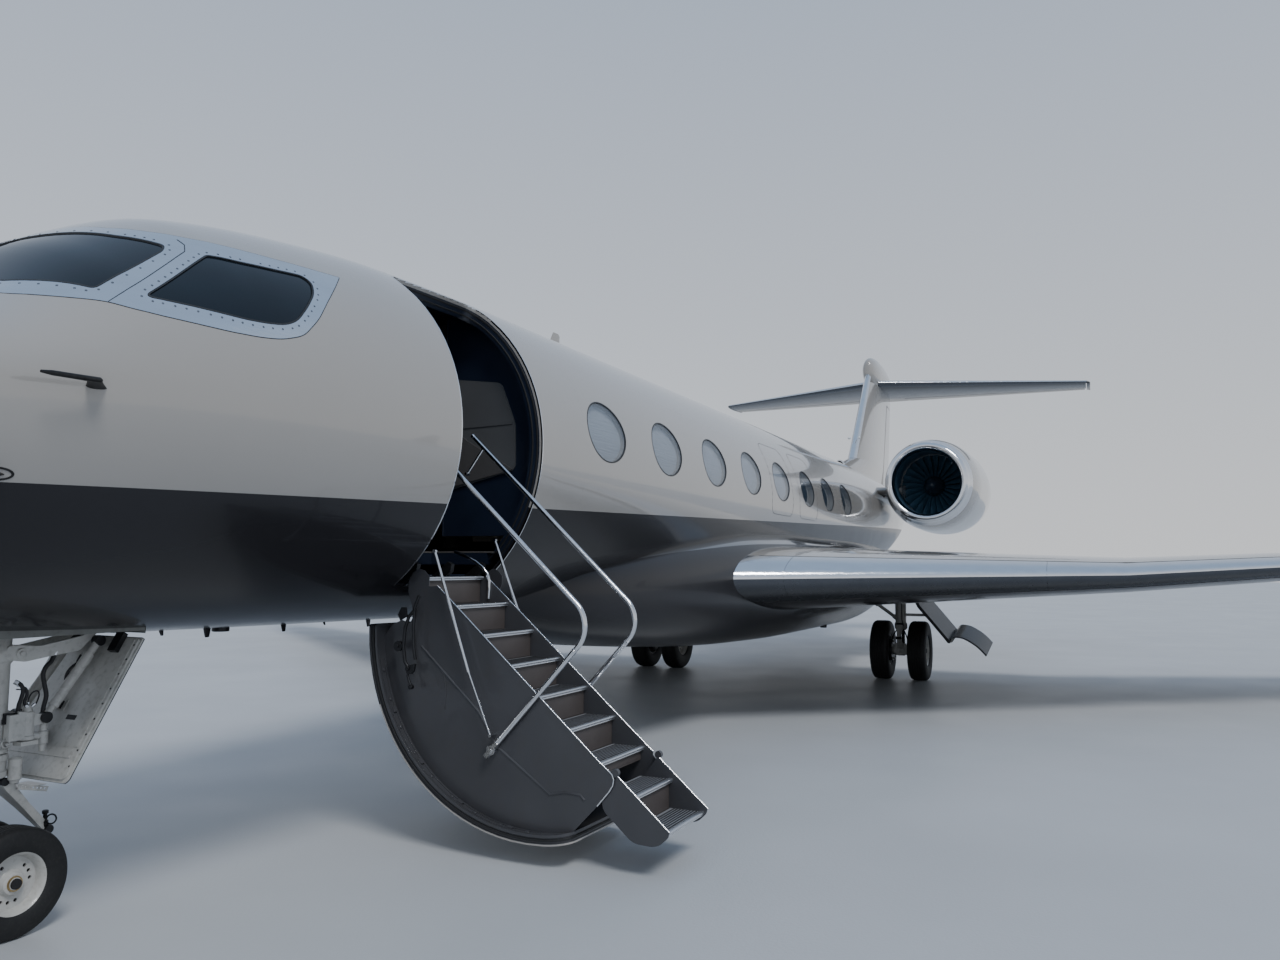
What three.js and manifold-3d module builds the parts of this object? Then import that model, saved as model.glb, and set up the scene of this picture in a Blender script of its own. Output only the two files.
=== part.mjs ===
// A long-range twin-engine business jet, parked on its gear with its airstair door open.
// Millimetres, +X towards the nose, +Y to port, +Z up, the ground at Z = 0.
import * as THREE from 'three';
import { mergeVertices } from 'three/addons/utils/BufferGeometryUtils.js';
import Module from 'manifold-3d';

const wasm = await Module();
wasm.setup();

// Overall sizes
const LENGTH = 30410;
const NOSE = LENGTH / 2;
const MAIN_X = -1745;
const NOSE_GEAR_X = 11735;
const GAP = 0.3;

// Fuselage: the hull's section is an ellipse whose upper and lower halves differ in height
const HULL_SIDES = 20;
const WALL = 95;
const WAIST = 2748;
const HULL = [
  // x, half width, top, waist, bottom
  [-13245, 110, 3600, 3480, 3350],
  [-12945, 240, 3680, 3450, 3200],
  [-12245, 440, 3790, 3370, 2960],
  [-10745, 740, 3905, 3200, 2560],
  [-8745, 1050, 4000, 3020, 2110],
  [-6745, 1250, 4050, 2880, 1760],
  [-4745, 1345, 4072, 2790, 1510],
  [-2745, 1370, 4075, WAIST, 1421],
  [8355, 1370, 4075, WAIST, 1421],
  [9655, 1355, 4045, 2742, 1430],
  [10455, 1338, 3967, 2726, 1440],
  [11255, 1302, 3818, 2700, 1452],
  [11855, 1250, 3503, 2665, 1468],
  [12455, 1165, 3080, 2600, 1495],
  [13055, 1045, 2950, 2520, 1545],
  [13655, 890, 2845, 2450, 1620],
  [14255, 700, 2720, 2385, 1720],
  [14755, 480, 2585, 2320, 1860],
  [15055, 270, 2450, 2275, 2030],
  [15175, 120, 2345, 2255, 2150],
  [NOSE, 30, 2285, 2255, 2225],
];
const RADOME_X = 13400;
const COCKPIT_X = 9800;
const ENTRY_X = 7950;
const CABIN_END_X = -2745;
const COCKPIT_FRONT_X = 12380;

// Cabin windows: upright centres along the cabin, wide ovals
const WINDOW_X = [7535, 6225, 4895, 3605, 2335, 1015, -205, -1485];
const WINDOW_Z = 2990;
const WINDOW_WIDE = 710;
const WINDOW_TALL = 520;

// Interior
const FLOOR_Z = 1950;
const FLOOR_THICK = 100;
const LINER = 25;
const CEILING_Z = 3750;

// Airstair door: it turns about a hinge tube along X at its lower edge
const DOOR_X0 = 8655;
const DOOR_X1 = 9665;
const DOOR_LOW = 1700;
const DOOR_HIGH = 3875;
const DOOR_CORNER = 120;
const DOOR_GAP = 8;
const HINGE = { y: 705, z: 1690 };
const DOOR_OPEN = THREE.MathUtils.degToRad(134);
const COVE = 150;
const HINGE_TUBE = 22;
const STAIR_SLOPE = Math.atan2(186.6, 218.3);
const TREAD = { y: 1026, z: 1764, run: 218.3, rise: 186.6, thick: 30, foot: 42, count: 9, upper: 7 };
const STAIR_X0 = 8930;
const STAIR_X1 = 9530;
const CHEEK = 38;
const DOOR_SKIN = 60;
const CHORD = 275;
const FOLD = { s: 2030, n: 300 };

// Handrails: a post that turns on the door and a run, bent at its foot, that turns on the post
const RAIL_R = 17;
const RAIL_PIVOT = { y: 1580, z: 670 };
const RAIL_CORNER = { y: 2320, z: 1480 };
const RAIL_END = { y: 890, z: 2810 };
const RAIL_BEND = 190;
const BEND_STEPS = 4;

// Wing stations: y, leading edge x, leading edge z, chord, thickness ratio, cant in degrees
const WING = [
  [1200, 4675, 1700, 7420, 0.115, 0],
  [5500, 1545, 1765, 4240, 0.11, 0],
  [14300, -4845, 2300, 1640, 0.1, 0],
  [14640, -5110, 2345, 1480, 0.095, 18],
  [14910, -5370, 2490, 1300, 0.09, 48],
  [15045, -5640, 2760, 1120, 0.09, 72],
  [15150, -6560, 3830, 520, 0.08, 80],
];
const FOIL_POINTS = 7;
const AILERON = { y0: 10900, y1: 13700, hinge: 0.76 };
const FLAP = { y0: 1300, y1: 10700, front: 0.74 };
const SURFACE_GAP = 14;
const END_GAP = 30;
const HINGE_PIN = 14;

// Tail: fin stations by height, stabilizer stations by span
const FIN = [
  // z, leading edge x, trailing edge x, thickness
  [3650, -5900, -12440, 420],
  [4080, -6380, -12530, 420],
  [4450, -7920, -12620, 430],
  [6900, -10049, -13208, 305],
];
const RUDDER = { z0: 4060, z1: 6300, hinge: 0.73 };
const STABILIZER = [
  // y, leading edge x, leading edge z, chord, thickness ratio, cant
  [0, -10495, 6700, 3200, 0.09, 0],
  [5240, -13865, 6940, 1340, 0.09, 0],
];
const ELEVATOR = { y0: 480, y1: 5100, hinge: 0.7 };
// The fairing over the fin's top, round in front and drawn out to the rear
const BULLET = { x: -10900, z: 6960, front: 900, rear: 2500, half: 215, tall: 430, blunt: 0.55,
  taper: 1.6 };

// Engines
const ENGINE = { x: -4445, y: 2230, z: 3520 };
const NACELLE = [
  // distance behind the lip, radius, running out along the outside and back inside
  [0, 700], [60, 765], [350, 855], [1000, 930], [2200, 955], [3400, 900], [4900, 665],
  [4900, 645], [2800, 720], [1100, 660], [500, 625], [120, 640],
];
const NACELLE_OUTSIDE = 7;
const NACELLE_SIDES = 20;
const FAN = { at: 1080, radius: 640, hub: 200, blades: 12, depth: 170, shaft: 60, shaftLength: 220 };
const CORE = { from: 1420, to: 4500, radius: 420 };

// Landing gear
const MAIN = { y: 2175, tyre: 482.5, width: 300, rim: 245, spacing: 300, axle: 45 };
const NOSE_WHEEL = { tyre: 267, width: 184, rim: 148, spacing: 165, axle: 30, reach: 228, trail: 40 };

// Jacking pads: flat round bosses under the nose and under the wing roots
const JACK = { radius: 55, nose: { x: 10350, y: 0, z: 1412 }, wing: { x: -800, y: 1100, z: 868 } };

// Helpers: every solid ends up as one closed, outward-facing body
function closedGeometry(geometry) {
  const bare = new THREE.BufferGeometry();
  bare.setAttribute('position', geometry.getAttribute('position').clone());
  if (geometry.index) bare.setIndex(geometry.index.clone());
  const merged = mergeVertices(bare, 1e-3);
  const index = merged.index.array;
  const at = merged.getAttribute('position');
  const kept = [];
  let volume = 0;
  const [a, b, c] = [new THREE.Vector3(), new THREE.Vector3(), new THREE.Vector3()];
  for (let i = 0; i < index.length; i += 3) {
    const [i0, i1, i2] = [index[i], index[i + 1], index[i + 2]];
    if (i0 === i1 || i1 === i2 || i0 === i2) continue;
    kept.push(i0, i1, i2);
    a.fromBufferAttribute(at, i0);
    b.fromBufferAttribute(at, i1);
    c.fromBufferAttribute(at, i2);
    volume += a.dot(b.cross(c));
  }
  if (volume < 0) {
    for (let i = 0; i < kept.length; i += 3) [kept[i + 1], kept[i + 2]] = [kept[i + 2], kept[i + 1]];
  }
  merged.setIndex(kept);
  return merged;
}

function solid(geometry, matrix) {
  const placed = matrix ? geometry.clone().applyMatrix4(matrix) : geometry;
  const closed = closedGeometry(placed);
  return new wasm.Manifold(new wasm.Mesh({
    numProp: 3,
    vertProperties: new Float32Array(closed.getAttribute('position').array),
    triVerts: new Uint32Array(closed.index.array),
  }));
}

function geometryOf(body) {
  const mesh = body.getMesh();
  const geometry = new THREE.BufferGeometry();
  const count = mesh.vertProperties.length / mesh.numProp;
  const position = new Float32Array(count * 3);
  for (let i = 0; i < count; i++) {
    for (let k = 0; k < 3; k++) position[3 * i + k] = mesh.vertProperties[i * mesh.numProp + k];
  }
  geometry.setAttribute('position', new THREE.BufferAttribute(position, 3));
  geometry.setIndex(Array.from(mesh.triVerts));
  return geometry;
}

function largest(body) {
  return body.decompose().sort((a, b) => b.volume() - a.volume())[0];
}

function union(...bodies) {
  return bodies.reduce((a, b) => a.add(b));
}

function mirrored(body) {
  return solid(geometryOf(body), new THREE.Matrix4().makeScale(1, -1, 1));
}

const bothWays = (body) => body.add(mirrored(body));

function box(x0, x1, y0, y1, z0, z1) {
  const geometry = new THREE.BoxGeometry(x1 - x0, y1 - y0, z1 - z0);
  return solid(geometry, new THREE.Matrix4().makeTranslation((x0 + x1) / 2, (y0 + y1) / 2, (z0 + z1) / 2));
}

function rod(from, to, radius, sides = 16, endRadius = radius) {
  const start = new THREE.Vector3(...from);
  const end = new THREE.Vector3(...to);
  const geometry = new THREE.CylinderGeometry(endRadius, radius, start.distanceTo(end), sides);
  const turn = new THREE.Quaternion().setFromUnitVectors(
    new THREE.Vector3(0, 1, 0), end.clone().sub(start).normalize());
  const middle = start.add(end).multiplyScalar(0.5);
  return solid(geometry, new THREE.Matrix4().compose(middle, turn, new THREE.Vector3(1, 1, 1)));
}

// A closed (u, v) outline swept along one axis: 'x' sweeps (y, z), 'y' sweeps (x, z), 'z' sweeps (x, y)
function prism(axis, outline, from, to) {
  const shape = outline instanceof THREE.Shape ? outline
    : new THREE.Shape(outline.map(([u, v]) => new THREE.Vector2(u, v)));
  const geometry = new THREE.ExtrudeGeometry(shape, { depth: to - from, bevelEnabled: false,
    curveSegments: 4 });
  const basis = { x: [0, 0, 1, from, 1, 0, 0, 0, 0, 1, 0, 0], y: [1, 0, 0, 0, 0, 0, 1, from, 0, 1, 0, 0],
    z: [1, 0, 0, 0, 0, 1, 0, 0, 0, 0, 1, from] }[axis];
  return solid(geometry, new THREE.Matrix4().set(...basis, 0, 0, 0, 1));
}

function lathe(profile, segments, matrix) {
  const points = profile.map(([along, radius]) => new THREE.Vector2(radius, along));
  return solid(new THREE.LatheGeometry(points, segments), matrix);
}

// Turns a lathe's axis to X or Y and puts it at a point
function axisTo(axis, x, y, z) {
  const turn = axis === 'x' ? new THREE.Matrix4().makeRotationZ(-Math.PI / 2) : new THREE.Matrix4();
  return new THREE.Matrix4().makeTranslation(x, y, z).multiply(turn);
}

function loft(rings) {
  const n = rings[0].length;
  const position = rings.flat().flatMap((p) => p);
  const index = [];
  for (let i = 0; i < rings.length - 1; i++) {
    for (let j = 0; j < n; j++) {
      const k = (j + 1) % n;
      const [a, b, c, d] = [i * n + j, i * n + k, (i + 1) * n + k, (i + 1) * n + j];
      index.push(a, b, c, a, c, d);
    }
  }
  for (const [first, flip] of [[0, true], [(rings.length - 1) * n, false]]) {
    if (n === 4) {
      const [a, b, c, d] = flip ? [first + 3, first + 2, first + 1, first] : [first, first + 1,
        first + 2, first + 3];
      index.push(a, b, c, a, c, d);
      continue;
    }
    const centre = [0, 1, 2].map((k) => rings[first / n].reduce((sum, p) => sum + p[k], 0) / n);
    const tip = position.length / 3;
    position.push(...centre);
    for (let j = 0; j < n; j++) {
      const k = (j + 1) % n;
      index.push(...(flip ? [first + k, first + j, tip] : [first + j, first + k, tip]));
    }
  }
  const geometry = new THREE.BufferGeometry();
  geometry.setAttribute('position', new THREE.Float32BufferAttribute(position, 3));
  geometry.setIndex(index);
  return solid(geometry);
}

// Values of a table's columns at a station between its rows
function between(table, at) {
  const rows = table[0][0] <= table[table.length - 1][0] ? table : [...table].reverse();
  let i = rows.findIndex((row) => row[0] >= at);
  if (i <= 0) i = i < 0 ? rows.length - 1 : 1;
  const [low, high] = [rows[i - 1], rows[i]];
  const t = (at - low[0]) / (high[0] - low[0]);
  return low.map((value, k) => (k ? value + (high[k] - value) * t : at));
}

// Fuselage
function hullRing(x, inset) {
  const [, half, top, waist, bottom] = between(HULL, x);
  return Array.from({ length: HULL_SIDES }, (_, k) => {
    const angle = (2 * Math.PI * k) / HULL_SIDES;
    const height = Math.sin(angle) > 0 ? top - waist : waist - bottom;
    return [x, Math.max(half - inset, 2) * Math.cos(angle), waist + Math.max(height - inset,
      2) * Math.sin(angle)];
  });
}

const wholeHulls = new Map();
function hull(x0, x1, inset = 0) {
  if (!wholeHulls.has(inset)) wholeHulls.set(inset, loft(HULL.map(([x]) => hullRing(x, inset))));
  const whole = wholeHulls.get(inset);
  return whole.intersect(box(x0, x1, -2000, 2000, 500, 5000));
}

function oval(x, z, wide, tall, points = 10) {
  return Array.from({ length: points }, (_, k) => {
    const angle = (2 * Math.PI * k) / points;
    return [x + (wide / 2) * Math.cos(angle), z + (tall / 2) * Math.sin(angle)];
  });
}

// A doorway's outline, rounded at its two upper corners
function archedBox(x0, x1, z0, z1, r) {
  const shape = new THREE.Shape();
  shape.moveTo(x0, z0).lineTo(x1, z0);
  shape.lineTo(x1, z1 - r).absarc(x1 - r, z1 - r, r, 0, Math.PI / 2);
  shape.lineTo(x0 + r, z1).absarc(x0 + r, z1 - r, r, Math.PI / 2, Math.PI);
  return shape;
}

const windowCuts = (margin) => union(...WINDOW_X.map((x) =>
  prism('y', oval(x, WINDOW_Z, WINDOW_WIDE - 2 * margin, WINDOW_TALL - 2 * margin), -1600, 1600)));

// Cockpit windows: the two windscreens are cut along X, one side window a side along Y
const WINDSCREEN = [[35, 3100], [35, 3565], [500, 3545], [720, 3508], [795, 3455], [967, 3100]];
const SIDE_WINDOW = [[11823, 3092], [11370, 3462], [11300, 3478], [10800, 3487], [10735, 3430],
  [10815, 3344], [11014, 3171], [11110, 3112], [11230, 3094]];
const FRAME_OUT_FRONT = [[0, 3000], [0, 3650], [425, 3612], [652, 3578], [728, 3557], [822, 3494],
  [868, 3440], [1050, 3033], [981, 3019], [810, 3009]];
const FRAME_OUT_SIDE = [[12021, 3018], [11365, 3567], [11180, 3557], [10844, 3574], [10437, 3587],
  [10613, 3432], [10811, 3228], [10933, 3120], [11046, 3056], [11145, 3024], [11250, 3018], [11685, 3008]];

// Moves an outline's corners in towards its centre
function shrunk(outline, margin) {
  const [cu, cv] = [0, 1].map((k) => outline.reduce((sum, p) => sum + p[k], 0) / outline.length);
  return outline.map(([u, v]) => {
    const reach = Math.hypot(u - cu, v - cv);
    return [u - ((u - cu) * margin) / reach, v - ((v - cv) * margin) / reach];
  });
}

function cockpitCuts(margin) {
  const side = prism('y', shrunk(SIDE_WINDOW, margin), 300, 1500);
  const front = prism('x', shrunk(WINDSCREEN, margin), 11400, 12700);
  return union(front, side, mirrored(front), mirrored(side));
}

const windscreenCuts = cockpitCuts(0);

const radome = hull(RADOME_X + GAP, NOSE);
const noseWell = box(11150, 12150, -340, 340, 1300, FLOOR_Z - FLOOR_THICK - GAP);
const cockpitHollow = hull(COCKPIT_X - 50, COCKPIT_FRONT_X, WALL);
const jackPad = ({ x, y, z }) => rod([x, y, z], [x, y, z + 100], JACK.radius, 12);
const forwardFuselage = largest(hull(COCKPIT_X + GAP, RADOME_X).subtract(cockpitHollow)
  .subtract(windscreenCuts).subtract(noseWell)).add(jackPad(JACK.nose));

const doorPrism = (margin) => prism('y',
  archedBox(DOOR_X0 + margin, DOOR_X1 - margin, DOOR_LOW + margin, DOOR_HIGH - margin, DOOR_CORNER), 0,
    1700);
const hingeRod = (radius, x0, x1, sides = 20) => rod([x0, HINGE.y, HINGE.z], [x1, HINGE.y, HINGE.z],
  radius, sides);

const entryFuselage = hull(ENTRY_X + GAP, COCKPIT_X).subtract(hull(ENTRY_X - 50, COCKPIT_X + 50, WALL))
  .subtract(doorPrism(0))
  .subtract(hingeRod(COVE, DOOR_X0, DOOR_X1, 24))
  .subtract(hingeRod(HINGE_TUBE + 1, DOOR_X0 - 45, DOOR_X1 + 45));

const cabinFuselage = hull(CABIN_END_X + GAP, ENTRY_X).subtract(hull(CABIN_END_X - 50, ENTRY_X + 50, WALL))
  .subtract(windowCuts(0));
const TAIL_END_X = -12200;
const aftFuselage = hull(HULL[0][0], CABIN_END_X).subtract(hull(TAIL_END_X, CABIN_END_X + 50, WALL));

// Interior: floor with its bulkheads, window liners with their panes, seats
const insideHull = (x0, x1) => hull(x0, x1, WALL + GAP);
const doorway = (x0, x1) => box(x0, x1, -340, 340, FLOOR_Z - 1, CEILING_Z);
const bulkhead = (x0, x1) => insideHull(x0, x1).intersect(box(x0 - 1, x1 + 1, -1400, 1400, FLOOR_Z - 5,
  4100));
const TRENCH_Y = 380;
const cabinFloor = union(
  insideHull(CABIN_END_X + 100, COCKPIT_FRONT_X - GAP)
    .intersect(box(-9000, 13000, -1400, 1400, FLOOR_Z - FLOOR_THICK, FLOOR_Z))
    .subtract(box(DOOR_X0 - 15, DOOR_X1 + 15, TRENCH_Y, 1500, 1500, 2100)),
  bulkhead(COCKPIT_X + 30, COCKPIT_X + 80).subtract(doorway(COCKPIT_X, COCKPIT_X + 100)),
  bulkhead(ENTRY_X + 60, ENTRY_X + 110).subtract(doorway(ENTRY_X, ENTRY_X + 150)),
  bulkhead(CABIN_END_X + 100, CABIN_END_X + 150));

const LINER_X = [CABIN_END_X + 600, ENTRY_X - 60];
const linerLayer = hull(...LINER_X, WALL + GAP).subtract(hull(LINER_X[0] - 50, LINER_X[1] + 50,
  WALL + LINER));
const paneLayer = hull(...LINER_X, 30).subtract(hull(LINER_X[0] - 50, LINER_X[1] + 50, WALL + LINER));
const windowLiner = union(
  linerLayer.intersect(box(-9000, 13000, 600, 1600, 2520, 3460)),
  paneLayer.intersect(windowCuts(1)).intersect(box(-9000, 13000, 600, 1600, 2520, 3460)));

const glazingLayer = hull(10480, COCKPIT_FRONT_X - 40, WALL + GAP)
  .subtract(hull(10430, COCKPIT_FRONT_X, WALL + LINER));
const glassLayer = hull(10480, 12560, 25).subtract(hull(10430, 12600, WALL + LINER));
const cockpitGlass = largest(union(
  glazingLayer.intersect(box(10480, 12500, -1500, 1500, 2900, 3700)),
  glassLayer.intersect(cockpitCuts(3))));

const frameLayer = hull(10400, 12640, -8).subtract(hull(10350, 12700, -GAP));
const frameRegion = union(prism('x', FRAME_OUT_FRONT, 11450, 12640), prism('y', FRAME_OUT_SIDE, 400, 1500));
const cockpitFrames = largest(frameLayer.intersect(union(frameRegion, mirrored(frameRegion)))
  .subtract(windscreenCuts));

// A seat's side view, facing +X: plinth, cushion and reclined back
const SEAT = [[-220, 20], [220, 20], [220, 270], [290, 280], [290, 430], [-160, 450], [-260, 1080],
  [-390, 1080],
  [-320, 300], [-220, 270]];
function seat(x, y, facing) {
  return prism('y', SEAT.map(([u, v]) => [x + facing * u, FLOOR_Z + v]), y - 255, y + 255);
}
const SEAT_Y = 690;
const SEATS = [[6900, 1], [5560, -1], [4250, 1], [2960, -1], [1660, 1], [380, 1]];
const seatRow = (side) => union(box(-100, 7200, side * SEAT_Y - 40, side * SEAT_Y + 40, FLOOR_Z + GAP,
  FLOOR_Z + 60),
  ...SEATS.map(([x, facing]) => seat(x, side * SEAT_Y, facing)));
const cockpitSeats = union(
  seat(11050, 480, 1), seat(11050, -480, 1),
  box(10850, 12100, -180, 180, FLOOR_Z + GAP, FLOOR_Z + 420),
  box(10880, 11200, -400, 400, FLOOR_Z + GAP, FLOOR_Z + 60),
  box(12060, 12200, -900, 900, FLOOR_Z + 350, FLOOR_Z + 950));

// Airstair door, built closed in the hull's own surface and turned open about its hinge
function turned(body, pivot, angle) {
  const matrix = new THREE.Matrix4().makeTranslation(0, pivot.y, pivot.z)
    .multiply(new THREE.Matrix4().makeRotationX(angle))
    .multiply(new THREE.Matrix4().makeTranslation(0, -pivot.y, -pivot.z));
  return solid(geometryOf(body), matrix);
}
// The stair's own frame: s runs down the slope from the hinge, n stands up from it, door open
const along = [Math.cos(STAIR_SLOPE), -Math.sin(STAIR_SLOPE)];
const above = [Math.sin(STAIR_SLOPE), Math.cos(STAIR_SLOPE)];
const stairPoint = (s, n) => [HINGE.y + s * along[0] + n * above[0], HINGE.z + s * along[1] + n * above[1]];
const stairPlate = (outline, x0, x1) => prism('x', outline.map(([s, n]) => stairPoint(s, n)), x0, x1);
const nosing = (i) => [TREAD.y + (i - 1) * TREAD.run, TREAD.z - (i - 1) * TREAD.rise];

const doorZone = (margin, x0, x1) => turned(
  stairPlate([[30, -1500], [30, CHORD - margin - 120], [130, CHORD - margin], [2300, CHORD - margin],
    [2300, -1500]], x0, x1),
  HINGE, DOOR_OPEN);
const doorClosed = hull(DOOR_X0 - 100, DOOR_X1 + 100)
  .intersect(doorPrism(DOOR_GAP))
  .intersect(doorZone(0, DOOR_X0, DOOR_X1))
  .intersect(rod([DOOR_X0, HINGE.y, HINGE.z], [DOOR_X1, HINGE.y, HINGE.z], 2138, 48))
  .subtract(hingeRod(COVE + 10, DOOR_X0, DOOR_X1, 24));
const AFT_CHEEK_X = DOOR_X0 + DOOR_GAP;
const FORWARD_CHEEK_X = STAIR_X1 + GAP;
const CHEEK_END = 1999.2;
const doorHollow = hull(DOOR_X0 - 100, DOOR_X1 + 100, DOOR_SKIN);
const doorTray = union(
  doorHollow.intersect(box(AFT_CHEEK_X + CHEEK, FORWARD_CHEEK_X, 0, 1700, HINGE.z + 30, 4200)),
  doorHollow.intersect(box(DOOR_X0 - 100, DOOR_X1 + 100, 0, 1700, HINGE.z + CHEEK_END, 4200)));
const doorStep = hull(DOOR_X0 - 100, DOOR_X1 + 100, DOOR_SKIN)
  .intersect(box(FORWARD_CHEEK_X + CHEEK, DOOR_X1 + 10, 0, 1700, 1500, 3900));
const hingeArm = (x) => prism('x', [[HINGE.y - 30, HINGE.z - 35], [HINGE.y + 40, HINGE.z - 20],
  [HINGE.y + 200, HINGE.z + 105], [HINGE.y + 190, HINGE.z + 170], [HINGE.y - 30, HINGE.z + 35]], x, x + 50)
  .intersect(hull(DOOR_X0 - 100, DOOR_X1 + 100));
const doorShellClosed = union(doorClosed.subtract(doorTray).subtract(doorStep),
  hingeArm(AFT_CHEEK_X + CHEEK - 5), hingeArm(9100), hingeArm(FORWARD_CHEEK_X - 40),
  hingeRod(HINGE_TUBE, DOOR_X0 - 40, DOOR_X1 + 40));
const doorShell = turned(largest(doorShellClosed), HINGE, -DOOR_OPEN);

// Stairs: a zigzag of treads and risers between stringer plates
function steps(first, last, foot, x0, x1) {
  const top = [];
  const under = [];
  for (let i = first; i <= last; i++) {
    const [y, z] = nosing(i);
    top.push([y - TREAD.run, z], [y, z]);
    under.push([y - TREAD.run - 6, z - TREAD.thick], [y - 25, z - TREAD.thick]);
  }
  const [y, z] = nosing(last);
  return prism('x', [...top, [y, z - foot], [y - 25, z - foot], ...under.reverse()], x0, x1);
}
const insideDoor = turned(hull(DOOR_X0 - 100, DOOR_X1 + 100, DOOR_SKIN + GAP)
  .subtract(hingeRod(COVE + 10, DOOR_X0 - 100, DOOR_X1 + 100, 24)), HINGE, -DOOR_OPEN);
const stairs = largest(union(
  steps(1, TREAD.upper, TREAD.rise - 5, STAIR_X0, STAIR_X1),
  stairPlate([[150, 40], [150, 200], [230, 285], [1990, 285], [2000, 100], [1900, 0], [1900, -60], [1390,
    -60],
    [1365, -245], [1290, -245], [1265, -60], [400, -60]], STAIR_X0 - CHEEK,
      STAIR_X0 + 1)).intersect(insideDoor));
const LOWER_TOP = FOLD.n - 6;
const lowerSide = [[FOLD.s + 6, LOWER_TOP], [FOLD.s + 22, 120], [FOLD.s + 90, 70], [2440, 70], [2590, 190],
  [2590, 270], [2560, LOWER_TOP]];
const foldEar = (x) => rod([x, ...stairPoint(FOLD.s, FOLD.n)], [x + CHEEK, ...stairPoint(FOLD.s,
  FOLD.n)], 26, 24);
const lowerSteps = union(steps(TREAD.upper + 1, TREAD.count, TREAD.foot, STAIR_X0 - 1, STAIR_X1 + 1),
  stairPlate(lowerSide, STAIR_X0 - CHEEK, STAIR_X0), stairPlate(lowerSide, STAIR_X1, STAIR_X1 + CHEEK),
  foldEar(STAIR_X0 - CHEEK), foldEar(STAIR_X1));

// Handrails
const RAIL_CLEAR = 7;
const FORWARD_RAIL_X = FORWARD_CHEEK_X + CHEEK + RAIL_CLEAR + RAIL_R;
const AFT_RAIL_X = STAIR_X0 - CHEEK - RAIL_CLEAR - RAIL_R;
// How far the post ends short of the joint, and the ear on its side that reaches the rest
const JOINT_ROOM = 40;
const EAR_LAP = 60;
const EAR_THICK = 9;
const unitWay = (from, to) => {
  const length = Math.hypot(to.y - from.y, to.z - from.z);
  return [(to.y - from.y) / length, (to.z - from.z) / length];
};
const moved = (from, [dy, dz], distance) => ({ y: from.y + dy * distance, z: from.z + dz * distance });
const postWay = unitWay(RAIL_PIVOT, RAIL_CORNER);
const postAcross = [-postWay[1], postWay[0]];
const runWay = unitWay(RAIL_CORNER, RAIL_END);
const bendTurn = Math.acos(postWay[0] * runWay[0] + postWay[1] * runWay[1]);
const railJoint = moved(RAIL_CORNER, postWay, -RAIL_BEND * Math.tan(bendTurn / 2));
const bendCentre = moved(railJoint, postAcross, RAIL_BEND);
// The run's tube: rings square to its path, round the bend and up to its end
function runTube(x) {
  const ring = (at, way) => Array.from({ length: 8 }, (_, k) => {
    const angle = (Math.PI * k) / 4;
    const side = RAIL_R * Math.sin(angle);
    return [x + RAIL_R * Math.cos(angle), at.y - way[1] * side, at.z + way[0] * side];
  });
  const bend = Array.from({ length: BEND_STEPS + 1 }, (_, k) => {
    const angle = (bendTurn * k) / BEND_STEPS;
    const way = [0, 1].map((i) => postWay[i] * Math.cos(angle) + postAcross[i] * Math.sin(angle));
    return ring(moved(bendCentre, [way[1], -way[0]], RAIL_BEND), way);
  });
  return loft([...bend, ring(RAIL_END, runWay)]);
}
// outward is +1 where the stairs lie on the rail's -X side, and -1 on its other side
function railParts(x, outward) {
  const cross = (point, near, far, radius, sides) => rod(
    [x + outward * near, point.y, point.z], [x + outward * far, point.y, point.z], radius, sides);
  const postEnd = moved(railJoint, postWay, -JOINT_ROOM);
  const earRoot = moved(postEnd, postWay, -EAR_LAP);
  const earFoot = moved(postEnd, postWay, -EAR_LAP / 2);
  const earSide = [outward * (RAIL_R + GAP), outward * (RAIL_R + EAR_THICK)].map((d) => x + d).sort((a,
    b) => a - b);
  const half = RAIL_R - 3;
  const corners = [[railJoint, half], [railJoint, -half], [earRoot, -half], [earRoot, half]]
    .map(([point, side]) => moved(point, postAcross, side));
  return {
    post: union(rod([x, RAIL_PIVOT.y, RAIL_PIVOT.z], [x, postEnd.y, postEnd.z], RAIL_R, 8),
      prism('x', corners.map(({ y, z }) => [y, z]), ...earSide),
      cross(earFoot, 0, RAIL_R + 5, RAIL_R - 4, 8),
      cross(RAIL_PIVOT, -RAIL_R - RAIL_CLEAR + GAP, RAIL_R, 32, 12)),
    run: union(runTube(x), cross(railJoint, -RAIL_R, RAIL_R, RAIL_R, 12)),
  };
}
const forwardRail = railParts(FORWARD_RAIL_X, 1);
const aftRail = railParts(AFT_RAIL_X, -1);

// Wing and tail sections
function foil(count) {
  const thickness = (u) => 5 * (0.2969 * Math.sqrt(u) - 0.126 * u - 0.3516 * u * u + 0.2843 * u ** 3 - 0.1015 * u ** 4);
  const spread = Array.from({ length: count + 1 }, (_, k) => 1 - Math.cos((Math.PI * k) / (2 * count)));
  const upper = spread.map((u) => [u, thickness(u)]);
  const lower = spread.slice(1).reverse().map((u) => [u, -thickness(u)]);
  return [...upper, ...lower];
}
const FOIL = foil(FOIL_POINTS);

function foilRing([y, x, z, chord, ratio, cant], side = 1, grow = 0) {
  const angle = THREE.MathUtils.degToRad(cant);
  return FOIL.map(([u, v]) => {
    const lift = v * ratio * chord + Math.sign(v || 1) * grow;
    return [x - u * chord + (u === 0 ? grow : 0), side * (y - lift * Math.sin(angle)),
      z + lift * Math.cos(angle)];
  });
}
const wingRaw = loft(WING.map((row) => foilRing(row)));
const atWing = (y) => between(WING, y);

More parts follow.
